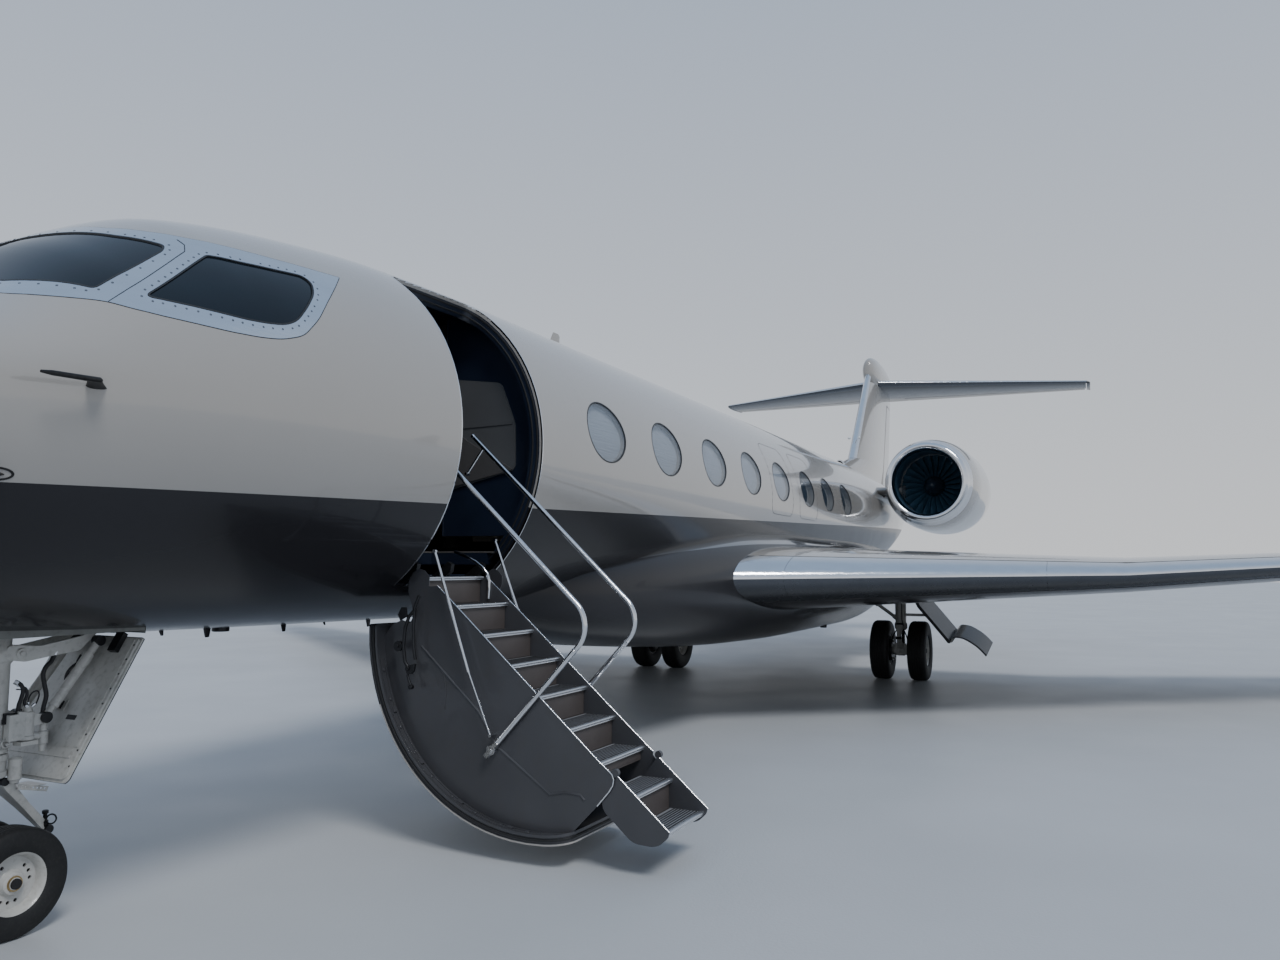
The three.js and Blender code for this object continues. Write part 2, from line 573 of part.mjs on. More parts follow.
// A control surface with a round nose on its hinge line, between two stations
function surface(table, y0, y1, hinge) {
  const ring = (y) => {
    const [, x, z, chord, ratio] = between(table, y);
    const half = foilHalf(hinge) * ratio * chord - 2;
    const tail = foilHalf(0.985) * ratio * chord;
    const hx = x - hinge * chord;
    const nose = [-60, -30, 0, 30, 60].map((d) => THREE.MathUtils.degToRad(d))
      .map((a) => [hx + half * Math.cos(a), y, z + half * Math.sin(a)]);
    const rear = x - 0.985 * chord;
    return [...nose, [hx, y, z + half], [rear, y, z + tail], [rear, y, z - tail], [hx, y, z - half]];
  };
  const hingePoint = (y) => {
    const [, x, z, chord] = between(table, y);
    return [x - hinge * chord, y, z];
  };
  // A pin at each end, its tip on the hinge line against the wall it turns in
  const reach = END_GAP - 1;
  const pin = (base, shoulder, tip) => union(
    rod(hingePoint(base), hingePoint(shoulder), HINGE_PIN, 8),
    rod(hingePoint(shoulder), hingePoint(tip), HINGE_PIN, 8, 1));
  return union(loft([ring(y0), ring(y1)]),
    pin(y0 + 40, y0 - reach + HINGE_PIN, y0 - reach),
    pin(y1 - 40, y1 + reach - HINGE_PIN, y1 + reach));
}
function foilHalf(u) {
  return 5 * (0.2969 * Math.sqrt(u) - 0.126 * u - 0.3516 * u * u + 0.2843 * u ** 3 - 0.1015 * u ** 4);
}
// The space behind a hinge line that the surface and its gap take out of the wing
function surfaceSpace(table, y0, y1, hinge, low, high) {
  const front = (y) => {
    const [, x, , chord, ratio] = between(table, y);
    return x - hinge * chord + foilHalf(hinge) * ratio * chord + SURFACE_GAP;
  };
  return prism('z', [[front(y0), y0], [front(y1), y1], [-16000, y1], [-16000, y0]], low, high);
}
const aileron = surface(WING, AILERON.y0, AILERON.y1, AILERON.hinge);
const aileronSpace = surfaceSpace(WING, AILERON.y0 - END_GAP, AILERON.y1 + END_GAP, AILERON.hinge, 1000,
  3500);

// Wing-body fairing: a rounded box section along the belly
const FAIRING = [
  // x, half width, bottom, top
  [8155, 420, 1435, 1800],
  [6955, 1020, 1140, 2000],
  [5255, 1330, 960, 2240],
  [3255, 1540, 850, 2400],
  [1255, 1620, 815, 2440],
  [-1745, 1620, 815, 2440],
  [-4245, 1460, 960, 2440],
  [-6745, 1000, 1480, 2440],
  [-8245, 560, 1960, 2400],
];
const FAIRING_POWER = 0.62;
const FAIRING_SIDES = 20;
function fairing(grow) {
  return loft(FAIRING.map(([x, half, bottom, top]) => Array.from({ length: FAIRING_SIDES }, (_, k) => {
    const angle = (2 * Math.PI * k) / FAIRING_SIDES;
    const [c, s] = [Math.cos(angle), Math.sin(angle)];
    const bend = (value) => Math.sign(value) * Math.abs(value) ** FAIRING_POWER;
    return [x, (half + grow) * bend(c), (top + bottom) / 2 + ((top - bottom) / 2 + grow) * bend(s)];
  })));
}
const hullKeepOut = bothWays(hull(-13240, 13000, -GAP));
const wingFairing = largest(fairing(0).subtract(hullKeepOut)).add(bothWays(jackPad(JACK.wing)));
const rootKeepOut = bothWays(fairing(GAP)).add(hullKeepOut);

const flapFront = (y, shift) => atWing(y)[1] - FLAP.front * atWing(y)[3] + shift;
const flapSpace = (shift) => prism('z', [
  [flapFront(FLAP.y0, shift), FLAP.y0 - 200], [flapFront(5500, shift), 5500], [flapFront(FLAP.y1, shift),
    FLAP.y1 + shift],
  [-9000, FLAP.y1 + shift], [-9000, FLAP.y0 - 200]], 1000, 3500);
const wingBody = wingRaw.subtract(rootKeepOut);
const wing = largest(wingBody.subtract(flapSpace(GAP)).subtract(aileronSpace));
const flap = largest(wingBody.intersect(flapSpace(0)));

// Stabilizer, elevators and the fairing over the fin
const stabilizerHalf = (side) => loft(STABILIZER.map((row) => foilRing(row, side)));
const elevator = surface(STABILIZER, ELEVATOR.y0, ELEVATOR.y1, ELEVATOR.hinge);
const elevatorSpace = surfaceSpace(STABILIZER, ELEVATOR.y0 - END_GAP, ELEVATOR.y1 + END_GAP,
  ELEVATOR.hinge, 6000, 8000);
const BULLET_STEPS = 8;
const bulletProfile = Array.from({ length: BULLET_STEPS + 1 }, (_, k) => {
  const angle = (Math.PI * k) / BULLET_STEPS;
  const [reach, power] = k < BULLET_STEPS / 2 ? [BULLET.rear, BULLET.taper] : [BULLET.front, BULLET.blunt];
  return [-reach * Math.cos(angle), k % BULLET_STEPS ? BULLET.half * Math.sin(angle) ** power : 0];
});
const bullet = lathe(bulletProfile, 14, new THREE.Matrix4().makeTranslation(BULLET.x, 0, BULLET.z)
  .multiply(new THREE.Matrix4().makeScale(1, 1, BULLET.tall / BULLET.half)).multiply(axisTo('x', 0, 0, 0)));
const stabilizer = largest(union(stabilizerHalf(1), stabilizerHalf(-1), bullet)
  .subtract(elevatorSpace).subtract(mirrored(elevatorSpace)));

const finRing = ([z, front, back, thick]) => FOIL.map(([u, v]) => [front - u * (front - back), v * thick,
  z]);
const finRaw = loft(FIN.map((row) => finRing(row)));
const rudderTable = FIN.slice(2).map(([z, front, back, thick]) => [z, front, 0, front - back,
  thick / (front - back)]);
const swapYZ = new THREE.Matrix4().set(1, 0, 0, 0, 0, 0, 1, 0, 0, 1, 0, 0, 0, 0, 0, 1);
const rudder = solid(geometryOf(surface(rudderTable, RUDDER.z0, RUDDER.z1, RUDDER.hinge)), swapYZ);
const rudderSpace = solid(geometryOf(
  surfaceSpace(rudderTable, RUDDER.z0 - END_GAP, RUDDER.z1 + END_GAP, RUDDER.hinge, -900, 900)), swapYZ);
const stabilizerKeepOut = stabilizer.add(stabilizer.translate([0, 0, -GAP]));
const fin = largest(finRaw.subtract(hullKeepOut).subtract(rudderSpace)
  .subtract(stabilizerKeepOut));

// Engines: hollow nacelle, fan, core with its vanes and exhaust cone, pylon
function nacelle(grow) {
  const profile = NACELLE.map(([at, r], k) => [-at, r + (k < NACELLE_OUTSIDE ? grow : -grow)]);
  return lathe([...profile, profile[0]], NACELLE_SIDES, axisTo('x', ENGINE.x, ENGINE.y, ENGINE.z));
}
const nacelleOutside = NACELLE.slice(0, NACELLE_OUTSIDE).map(([at, r]) => [-at, r + GAP]);
const nacelleFilled = lathe([[0, 0], ...nacelleOutside, [-4900, 0]], NACELLE_SIDES,
  axisTo('x', ENGINE.x, ENGINE.y, ENGINE.z));
const engineAt = (behind) => axisTo('x', ENGINE.x - behind, ENGINE.y, ENGINE.z);
function fanSolid() {
  const spinner = lathe([[330, 0], [300, 50], [200, 120], [60, 180], [0, FAN.hub], [-FAN.depth, FAN.hub],
    [-FAN.depth, FAN.shaft], [-FAN.depth - FAN.shaftLength, FAN.shaft],
    [-FAN.depth - FAN.shaftLength, 0]], 12, engineAt(FAN.at));
  const blades = Array.from({ length: FAN.blades }, (_, k) => {
    const turn = (2 * Math.PI * k) / FAN.blades;
    const ring = (r, lean, chord, thick) => [[-chord / 2, -thick], [chord / 2, -thick], [chord / 2,
      thick], [-chord / 2, thick]]
      .map(([u, v]) => {
        const [ax, tan] = [u * Math.cos(lean) - v * Math.sin(lean),
          u * Math.sin(lean) + v * Math.cos(lean)];
        const angle = turn + tan / r;
        return [ENGINE.x - FAN.at - FAN.depth / 2 + ax, ENGINE.y + r * Math.cos(angle),
          ENGINE.z + r * Math.sin(angle)];
      });
    return loft([ring(FAN.hub - 25, 0.7, 150, 15), ring(FAN.radius, 0.95, 190, 10)]);
  });
  return largest(union(spinner, ...blades));
}
const fan = fanSolid();
function coreSolid() {
  const length = CORE.to - CORE.from;
  const socket = FAN.at + FAN.depth + FAN.shaftLength + GAP - CORE.from;
  const bore = FAN.shaft + 4;
  const barrel = lathe([[0, bore], [0, FAN.hub], [-200, CORE.radius - 60], [-700, CORE.radius],
    [-length + 500, CORE.radius], [-length, 330], [-length - 650, 0], [-socket, 0], [-socket, bore], [0,
      bore]],
    12, engineAt(CORE.from));
  const vanes = Array.from({ length: 8 }, (_, k) => {
    const turn = (2 * Math.PI * k) / 8;
    const plate = new THREE.BoxGeometry(220, 620, 18);
    const matrix = new THREE.Matrix4().makeTranslation(ENGINE.x - CORE.from - 350, ENGINE.y, ENGINE.z)
      .multiply(new THREE.Matrix4().makeRotationX(turn)).multiply(new THREE.Matrix4().makeTranslation(0,
        310 + 120, 0));
    return solid(plate, matrix);
  });
  return largest(union(barrel, ...vanes).subtract(nacelle(GAP)));
}
const core = coreSolid();
const PYLON = { front: -5100, rear: -8700, z: 3420, thick: 250, y0: 850, y1: 1700 };
const pylonRing = (y) => FOIL.map(([u, v]) => [PYLON.front - u * (PYLON.front - PYLON.rear), y,
  PYLON.z + v * PYLON.thick]);
const pylon = largest(loft([pylonRing(PYLON.y0),
  pylonRing(PYLON.y1)]).subtract(hullKeepOut).subtract(nacelleFilled));

// Wheels: a tyre round a rim, both turning on the axle
// A wheel's lathe has a flat lying level at the bottom, at the full radius
const WHEEL_SIDES = 20;
function wheelLathe(profile, sides, x, y, z, flip = 1) {
  const matrix = new THREE.Matrix4().makeTranslation(x, y, z).multiply(new THREE.Matrix4().makeScale(1,
    flip, 1))
    .multiply(new THREE.Matrix4().makeRotationY(Math.PI / sides));
  return lathe([...profile, profile[0]], sides, matrix);
}
function tyre(size, x, y) {
  const [outer, inner, half] = [size.tyre / Math.cos(Math.PI / WHEEL_SIDES), size.rim + GAP,
    size.width / 2];
  const wall = (outer + inner) / 2;
  const shoulder = outer - 0.14 * (outer - inner);
  const profile = [[-0.72 * half, inner], [-half, wall], [-0.82 * half, shoulder], [-0.5 * half, outer],
    [0.5 * half, outer], [0.82 * half, shoulder], [half, wall], [0.72 * half, inner]];
  return wheelLathe(profile, WHEEL_SIDES, x, y, size.tyre);
}
const rimHalf = (size) => 0.35 * size.width;
// How far a collar on the axle runs out from the leg to meet the rim's hub
const hubFace = (size) => size.spacing - rimHalf(size) - GAP;
function rim(size, x, y, outward) {
  const half = rimHalf(size);
  const bore = size.axle + 2;
  const profile = [[-half, size.rim], [half, size.rim], [0.15 * half, size.rim - 35], [0.6 * half,
    bore + 30],
    [0.6 * half, bore], [-half, bore]];
  return wheelLathe(profile, WHEEL_SIDES, x, y, size.tyre, outward);
}

// Main gear leg, for the port side: cylinder, piston, axle, torque links and side brace
const wingKeepOut = union(wingBody, wingBody.translate([0, 0, -GAP]), rootKeepOut);
function mainLeg() {
  const [x, y, z] = [MAIN_X, MAIN.y, MAIN.tyre];
  return largest(union(
    rod([x, y, 1800], [x, y, 820], 92, 14),
    rod([x, y, 830], [x, y, z], 62, 12),
    rod([x, y - 400, z], [x, y + 400, z], MAIN.axle, 14),
    rod([x, y - hubFace(MAIN), z], [x, y + hubFace(MAIN), z], 80, 12),
    rod([x - 260, y, 1640], [x + 260, y, 1640], 60, 8),
    box(x + 60, x + 150, y - 55, y + 55, 860, 960),
    rod([x + 120, y, 900], [x + 240, y, 690], 30, 6),
    rod([x + 240, y, 700], [x + 70, y, 520], 30, 6),
    rod([x, y - 60, 1000], [x, 1560, 1400], 42, 8),
    rod([x + 40, y, 1250], [x + 700, y, 1640], 40, 8)).subtract(wingKeepOut));
}
const leg = mainLeg();
const legKeepOut = leg.add(leg.translate([0, GAP, 0])).add(leg.translate([0, -GAP, 0]));
// Its door is two panels that lean back, each higher and further out at its rear edge
const DOOR_FRONT_X = MAIN_X + 320;
const doorLean = (out, up) => new THREE.Matrix4().set(
  1, 0, 0, 0, -out, 1, 0, out * DOOR_FRONT_X, -up, 0, 1, up * DOOR_FRONT_X, 0, 0, 0, 1);
const leaning = (outline) => solid(geometryOf(prism('x', outline, MAIN_X - 320, DOOR_FRONT_X)),
  doorLean(0.06, 0.25));
const mainGearDoor = largest(union(
  leaning([[2310, 1600], [2500, 1200], [2965, 640], [2995, 640], [2995, 680], [2540, 1230], [2340, 1640]]),
  leaning([[2970, 640], [3050, 755], [3240, 728], [3400, 631], [3553, 473], [3535, 455], [3385, 605],
    [3230, 700], [3065, 724], [2995, 640]]),
  box(MAIN_X - 50, MAIN_X + 50, 2240, 2700, 1040, 1100),
).subtract(wingKeepOut).subtract(legKeepOut));

// Nose gear: fixed cylinder with its trunnion and drag brace, and the steered lower part
const STEER_X = NOSE_GEAR_X + NOSE_WHEEL.trail;
const wellHalf = 340 - GAP;
const noseLeg = union(
  rod([STEER_X, 0, FLOOR_Z - FLOOR_THICK - 20], [STEER_X, 0, 880], 82, 14),
  rod([STEER_X, -wellHalf, 1580], [STEER_X, wellHalf, 1580], 55, 8),
  rod([STEER_X - 40, 0, 1150], [11230, 0, 1560], 42, 8),
  rod([11230, -wellHalf, 1560], [11230, wellHalf, 1560], 38, 8));
const noseLegKeepOut = noseLeg.add(noseLeg.translate([-GAP, 0, 0])).add(noseLeg.translate([0, 0, -GAP]));
const noseAxle = (reach, radius, sides) => rod(
  [NOSE_GEAR_X, -reach, NOSE_WHEEL.tyre], [NOSE_GEAR_X, reach, NOSE_WHEEL.tyre], radius, sides);
const noseFork = union(
  rod([STEER_X, 0, 880 - GAP], [STEER_X, 0, 760], 95, 14),
  rod([STEER_X, 0, 765], [STEER_X, 0, NOSE_WHEEL.tyre], 50, 12),
  rod([STEER_X + 20, 0, NOSE_WHEEL.tyre], [NOSE_GEAR_X - 20, 0, NOSE_WHEEL.tyre], 62, 8),
  noseAxle(NOSE_WHEEL.reach, NOSE_WHEEL.axle, 14),
  noseAxle(hubFace(NOSE_WHEEL), 50, 12),
  rod([STEER_X - 60, 0, 770], [STEER_X - 330, 0, 440], 26, 6),
  rod([STEER_X - 330, 0, 450], [STEER_X - 60, 0, 300], 26, 6));
const noseGearDoor = largest(union(
  prism('y', [[11150, 1430], [11560, 720], [11590, 735], [11185, 1440]], -335, 335),
  box(11430, STEER_X, -45, 45, 900, 960)).subtract(noseLegKeepOut).subtract(hullKeepOut));

// Materials
const material = (color, roughness, metalness = 0) => new THREE.MeshStandardMaterial({ color, roughness,
  metalness });
const greige = material('#b9b4ab', 0.25);
const umber = material('#2b2d33', 0.25);
const polished = material('#c9cdd2', 0.15, 1);
const gearWhite = material('#dfe0dc', 0.4);
const darkMetal = material('#3b3d40', 0.4, 0.8);
const rubber = material('#15161a', 0.75);
const glass = material('#1b2633', 0.08);
const trimWhite = material('#d8d2c6', 0.6);
const leather = material('#c6b99f', 0.6);
const carpet = material('#4a4642', 0.95);
const stepGrey = material('#6a6560', 0.5);

const aircraft = new THREE.Group();
function add(name, finish, body) {
  const mesh = new THREE.Mesh(geometryOf(body), finish);
  mesh.name = name;
  aircraft.add(mesh);
}

add('radome', greige, radome);
add('forward_fuselage', greige, forwardFuselage);
add('entry_fuselage', greige, entryFuselage);
add('cabin_fuselage', greige, cabinFuselage);
add('aft_fuselage', greige, aftFuselage);
add('cabin_floor', carpet, cabinFloor);
add('cabin_window_liner_left', trimWhite, windowLiner);
add('cabin_window_liner_right', trimWhite, mirrored(windowLiner));
add('cockpit_glazing', glass, cockpitGlass);
add('cockpit_window_frames', polished, cockpitFrames);
add('cockpit_seats', leather, cockpitSeats);
add('cabin_seats_left', leather, seatRow(1));
add('cabin_seats_right', leather, seatRow(-1));
add('wing_fairing', umber, wingFairing);
add('fin', greige, fin);
add('rudder', greige, rudder);
add('stabilizer', greige, stabilizer);
add('airstair_door', umber, doorShell);
add('airstair_steps', stepGrey, stairs);
add('airstair_lower_steps', stepGrey, lowerSteps);
add('handrail_post_forward', polished, forwardRail.post);
add('handrail_run_forward', polished, forwardRail.run);
add('handrail_post_aft', polished, aftRail.post);
add('handrail_run_aft', polished, aftRail.run);
add('nose_gear_leg', gearWhite, noseLeg);
add('nose_gear_door', gearWhite, noseGearDoor);
add('nose_gear_fork', gearWhite, noseFork);

const pairs = [
  ['wing', greige, wing],
  ['flap', greige, flap],
  ['aileron', greige, aileron],
  ['elevator', greige, elevator],
  ['nacelle', greige, nacelle(0)],
  ['pylon', greige, pylon],
  ['fan', darkMetal, fan],
  ['engine_core', darkMetal, core],
  ['main_gear_leg', gearWhite, leg],
  ['main_gear_door', gearWhite, mainGearDoor],
];
for (const [name, finish, body] of pairs) {
  add(`${name}_left`, finish, body);
  add(`${name}_right`, finish, mirrored(body));
}
for (const [side, sign] of [['left', 1], ['right', -1]]) {
  for (const [place, offset] of [['inner', -1], ['outer', 1]]) {
    const y = sign * (MAIN.y + offset * MAIN.spacing);
    add(`main_tyre_${side}_${place}`, rubber, tyre(MAIN, MAIN_X, y));
    add(`main_rim_${side}_${place}`, gearWhite, rim(MAIN, MAIN_X, y, sign * offset));
  }
  add(`nose_tyre_${side}`, rubber, tyre(NOSE_WHEEL, NOSE_GEAR_X, sign * NOSE_WHEEL.spacing));
  add(`nose_rim_${side}`, gearWhite, rim(NOSE_WHEEL, NOSE_GEAR_X, sign * NOSE_WHEEL.spacing, sign));
}

export default aircraft;
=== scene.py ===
import bmesh
import bpy
import numpy as np
from math import acos, atan2, copysign, cos, dist, pi, radians, sin, sqrt, tan
from mathutils import Matrix, Vector
from mathutils.geometry import delaunay_2d_cdt
from mathutils.bvhtree import BVHTree
from mathutils.kdtree import KDTree


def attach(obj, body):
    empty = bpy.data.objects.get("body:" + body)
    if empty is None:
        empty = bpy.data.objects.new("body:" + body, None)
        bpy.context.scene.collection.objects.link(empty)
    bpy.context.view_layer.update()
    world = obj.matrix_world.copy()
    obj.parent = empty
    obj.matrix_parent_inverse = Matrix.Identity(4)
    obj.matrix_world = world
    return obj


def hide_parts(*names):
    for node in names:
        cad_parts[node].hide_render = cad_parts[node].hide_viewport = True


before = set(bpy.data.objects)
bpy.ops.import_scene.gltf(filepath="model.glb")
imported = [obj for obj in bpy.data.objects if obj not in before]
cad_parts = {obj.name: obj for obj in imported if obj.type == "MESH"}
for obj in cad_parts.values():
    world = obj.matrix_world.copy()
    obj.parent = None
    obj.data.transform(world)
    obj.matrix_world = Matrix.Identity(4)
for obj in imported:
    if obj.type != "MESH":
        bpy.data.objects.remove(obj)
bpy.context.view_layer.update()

# The view: from beside the nose on the port side, at standing height, looking aft and a little up.
# A pale apron, an even sky and one broad soft lamp light it.
EYE = Vector((14.917, 5.084, 1.837))
GAZE = Vector((-0.90346, -0.41924, 0.08944))
UPRIGHT = Vector((0.08321, 0.03316, 0.99598))
camera = bpy.data.objects.new("camera", bpy.data.cameras.new("camera"))
bpy.context.scene.collection.objects.link(camera)
camera.data.sensor_width = 36.0
camera.data.lens = 27.24
camera.data.clip_end = 500
camera.matrix_world = Matrix.Translation(EYE) @ Matrix((GAZE.cross(UPRIGHT), UPRIGHT,
    -GAZE)).transposed().to_4x4()
bpy.context.scene.camera = camera

APRON = 160.0
APRON_GREY = (0.46, 0.48, 0.5, 1)
HORIZON = (0.93, 0.95, 0.98, 1)
ZENITH = (0.4, 0.53, 0.74, 1)
sky = bpy.data.worlds.new("sky")
bpy.context.scene.world = sky
sky.use_nodes = True
sky_nodes = sky.node_tree.nodes
sky_links = sky.node_tree.links
toward = sky_nodes.new("ShaderNodeTexCoord")
height = sky_nodes.new("ShaderNodeSeparateXYZ")
fade = sky_nodes.new("ShaderNodeValToRGB")
fade.color_ramp.elements[0].color = HORIZON
fade.color_ramp.elements[1].color = ZENITH
fade.color_ramp.elements[1].position = 0.75
sky_links.new(toward.outputs["Generated"], height.inputs[0])
sky_links.new(height.outputs["Z"], fade.inputs["Fac"])
sky_links.new(fade.outputs["Color"], sky_nodes["Background"].inputs["Color"])
sky_nodes["Background"].inputs["Strength"].default_value = 0.85

lamp = bpy.data.objects.new("soft lamp", bpy.data.lights.new("soft lamp", "SUN"))
bpy.context.scene.collection.objects.link(lamp)
lamp.data.energy = 1.9
lamp.data.angle = radians(18)
lamp.rotation_euler = Vector((-0.45, -0.62, -1.0)).to_track_quat("-Z", "Y").to_euler()


# Finishes are mixed from one recipe: a base colour with a fine mottle, a gloss that varies a little,
# and a grain that stands in the surface.
def finish(name, colour, rough, metal=0.0, coat=0.0, mottle=0.06, mottle_size=0.6, gloss=0.05, grain=0.0,
        grain_size=0.01, stretch=(1, 1, 1), sheen=0.0, alpha=1.0, dirt=None, sparkle=0.5):
    made = bpy.data.materials.new(name)
    made.use_nodes = True
    nodes = made.node_tree.nodes
    links = made.node_tree.links
    shader = nodes["Principled BSDF"]
    shader.inputs["Metallic"].default_value = metal
    shader.inputs["Coat Weight"].default_value = coat
    shader.inputs["Coat Roughness"].default_value = 0.03
    shader.inputs["Sheen Weight"].default_value = sheen
    shader.inputs["Specular IOR Level"].default_value = sparkle
    shader.inputs["Alpha"].default_value = alpha
    place = nodes.new("ShaderNodeTexCoord")
    spread = nodes.new("ShaderNodeMapping")
    spread.inputs["Scale"].default_value = stretch
    links.new(place.outputs["Object"], spread.inputs["Vector"])

    def cloud(size, detail):
        noise = nodes.new("ShaderNodeTexNoise")
        noise.inputs["Scale"].default_value = 1 / size
        noise.inputs["Detail"].default_value = detail
        links.new(spread.outputs["Vector"], noise.inputs["Vector"])
        return noise.outputs["Fac"]

    ramp = nodes.new("ShaderNodeValToRGB")
    ramp.color_ramp.elements[0].position = 0.3
    ramp.color_ramp.elements[1].position = 0.7
    ramp.color_ramp.elements[0].color = (*[c * (1 - mottle) for c in colour], 1)
    ramp.color_ramp.elements[1].color = (*[min(1, c * (1 + mottle)) for c in colour], 1)
    links.new(cloud(mottle_size, 4), ramp.inputs["Fac"])
    shown = ramp.outputs["Color"]
    if dirt:
        film = nodes.new("ShaderNodeMix")
        film.data_type = "RGBA"
        film.inputs["B"].default_value = (*dirt, 1)
        amount = nodes.new("ShaderNodeMapRange")
        amount.inputs["From Min"].default_value = 0.5
        amount.inputs["From Max"].default_value = 0.85
        amount.inputs["To Max"].default_value = 0.7
        links.new(cloud(mottle_size / 4, 7), amount.inputs["Value"])
        links.new(amount.outputs["Result"], film.inputs["Factor"])
        links.new(shown, film.inputs["A"])
        shown = film.outputs["Result"]
    links.new(shown, shader.inputs["Base Color"])
    shine = nodes.new("ShaderNodeMapRange")
    shine.inputs["To Min"].default_value = max(0.0, rough - gloss)
    shine.inputs["To Max"].default_value = rough + gloss
    links.new(cloud(mottle_size / 3, 5), shine.inputs["Value"])
    links.new(shine.outputs["Result"], shader.inputs["Roughness"])
    if grain:
        bump = nodes.new("ShaderNodeBump")
        bump.inputs["Strength"].default_value = grain
        bump.inputs["Distance"].default_value = grain_size / 2
        links.new(cloud(grain_size, 3), bump.inputs["Height"])
        links.new(bump.outputs["Normal"], shader.inputs["Normal"])
    return made


apron_finish = finish("pale apron", APRON_GREY[:3], 0.45, mottle=0.05, mottle_size=3.0, gloss=0.12,
    grain=0.15, grain_size=0.02)
apron = bpy.data.objects.new("apron", bpy.data.meshes.new("apron"))
apron.data.from_pydata([(-APRON, -APRON, 0), (APRON, -APRON, 0), (APRON, APRON, 0), (-APRON, APRON, 0)], [],
    [(0, 1, 2, 3)])
apron.data.materials.append(apron_finish)
bpy.context.scene.collection.objects.link(apron)

# The fuselage skin: aluminium sheet on frames, drawn through its stations with a fair curve and
# painted warm grey above a slowly rising line and near-black below it.
HULL = [
    # x, half width, crown, waist, keel
    (-13.245, 0.11, 3.6, 3.48, 3.35), (-12.945, 0.24, 3.68, 3.45, 3.2),
    (-12.245, 0.44, 3.79, 3.37, 2.96), (-10.745, 0.74, 3.905, 3.2, 2.56),
    (-8.745, 1.05, 4.0, 3.02, 2.11), (-6.745, 1.25, 4.05, 2.88, 1.76),
    (-4.745, 1.345, 4.072, 2.79, 1.51), (-2.745, 1.37, 4.075, 2.748, 1.421),
    (8.355, 1.37, 4.075, 2.748, 1.421), (9.655, 1.355, 4.045, 2.742, 1.43),
    (10.455, 1.338, 3.967, 2.726, 1.44), (11.255, 1.302, 3.818, 2.7, 1.452),
    (11.855, 1.25, 3.503, 2.665, 1.468), (12.455, 1.165, 3.08, 2.6, 1.495),
    (13.055, 1.045, 2.95, 2.52, 1.545), (13.655, 0.89, 2.845, 2.45, 1.62),
    (14.255, 0.7, 2.72, 2.385, 1.72), (14.755, 0.48, 2.585, 2.32, 1.86),
    (15.055, 0.27, 2.45, 2.275, 2.03), (15.175, 0.12, 2.345, 2.255, 2.15),
    (15.205, 0.03, 2.285, 2.255, 2.225)]
PAINT_LINE = (12.39, 2.17, 0.0277)
UPPER_PAINT = (0.335, 0.318, 0.296)
LOWER_PAINT = (0.017, 0.0165, 0.019)
SKIN = 0.028
ROUND = 1.32
KEEL = -pi / 2


def fair(rows):
    rows = np.array(sorted(map(list, rows)), float)
    at = rows[:, 0]
    gap = np.diff(at)[:, None]
    rise = np.diff(rows[:, 1:], axis=0) / gap
    slope = np.zeros_like(rows[:, 1:])
    near, far = 2 * gap[1:] + gap[:-1], gap[1:] + 2 * gap[:-1]
    with np.errstate(divide="ignore", invalid="ignore"):
        inner = (near + far) / (near / rise[:-1] + far / rise[1:])
    slope[1:-1] = np.where(rise[:-1] * rise[1:] > 0, inner, 0)
    slope[0], slope[-1] = rise[0], rise[-1]

    def through(x):
        x = np.atleast_1d(np.asarray(x, float))
        i = np.clip(np.searchsorted(at, x) - 1, 0, len(at) - 2)
        g = gap[i]
        t = (x[:, None] - at[i][:, None]) / g
        return (rows[i, 1:] * (1 + 2 * t) * (1 - t) ** 2 + g * slope[i] * t * (1 - t) ** 2 + rows[i + 1, 1:]
            * t * t * (3 - 2 * t) + g * slope[i + 1] * t * t * (t - 1)).T
    return through


hull_lines = fair(HULL)


def on_hull(x, turn, inset=0.0):
    half, crown, waist, keel = hull_lines(x)
    rise = np.where(np.sin(turn) > 0, crown - waist, waist - keel)
    return np.stack([x, np.maximum(half - inset, 0.002) * np.cos(turn), waist + np.maximum(rise - inset,
        0.002) * np.sin(turn)], 1)


def hull_outward(x, turn):
    e = 1e-3
    along = on_hull(np.minimum(x + e, HULL[-1][0]), turn) - on_hull(np.maximum(x - e, HULL[0][0]), turn)
    across = np.cross(on_hull(x, turn + e) - on_hull(x, turn - e), along)
    return across / np.linalg.norm(across, axis=1)[:, None]


def side_turn(x, z):
    _, crown, waist, keel = hull_lines(x)
    rise = np.where(z > waist, crown - waist, waist - keel)
    return np.arcsin(np.clip((z - waist) / rise, -1, 1))


# One spot on the skin by station and height, and the way out of it
def skin_spot(x, z, inset=0.0):
    turn = side_turn(np.array([x]), np.array([z]))
    return on_hull(np.array([x]), turn, inset)[0], hull_outward(np.array([x]), turn)[0]


# The turns of a full circle in equal steps
def round_turns(count):
    return [2 * pi * k / count for k in range(count)]


def port(outline):
    x, z = np.array(outline, float).T
    return np.stack([x, side_turn(x, z)], 1)


def starboard(marks):
    return np.stack([marks[:, 0], pi - marks[:, 1]], 1)[::-1]


def within(points, loop):
    x, y = points[:, 0], points[:, 1]
    inside = np.zeros(len(points), bool)
    for (x0, y0), (x1, y1) in zip(loop, np.roll(loop, -1, axis=0)):
        crosses = (y0 > y) != (y1 > y)
        with np.errstate(divide="ignore", invalid="ignore"):
            inside ^= crosses & (x < (x1 - x0) * (y - y0) / (y1 - y0) + x0)
    return inside


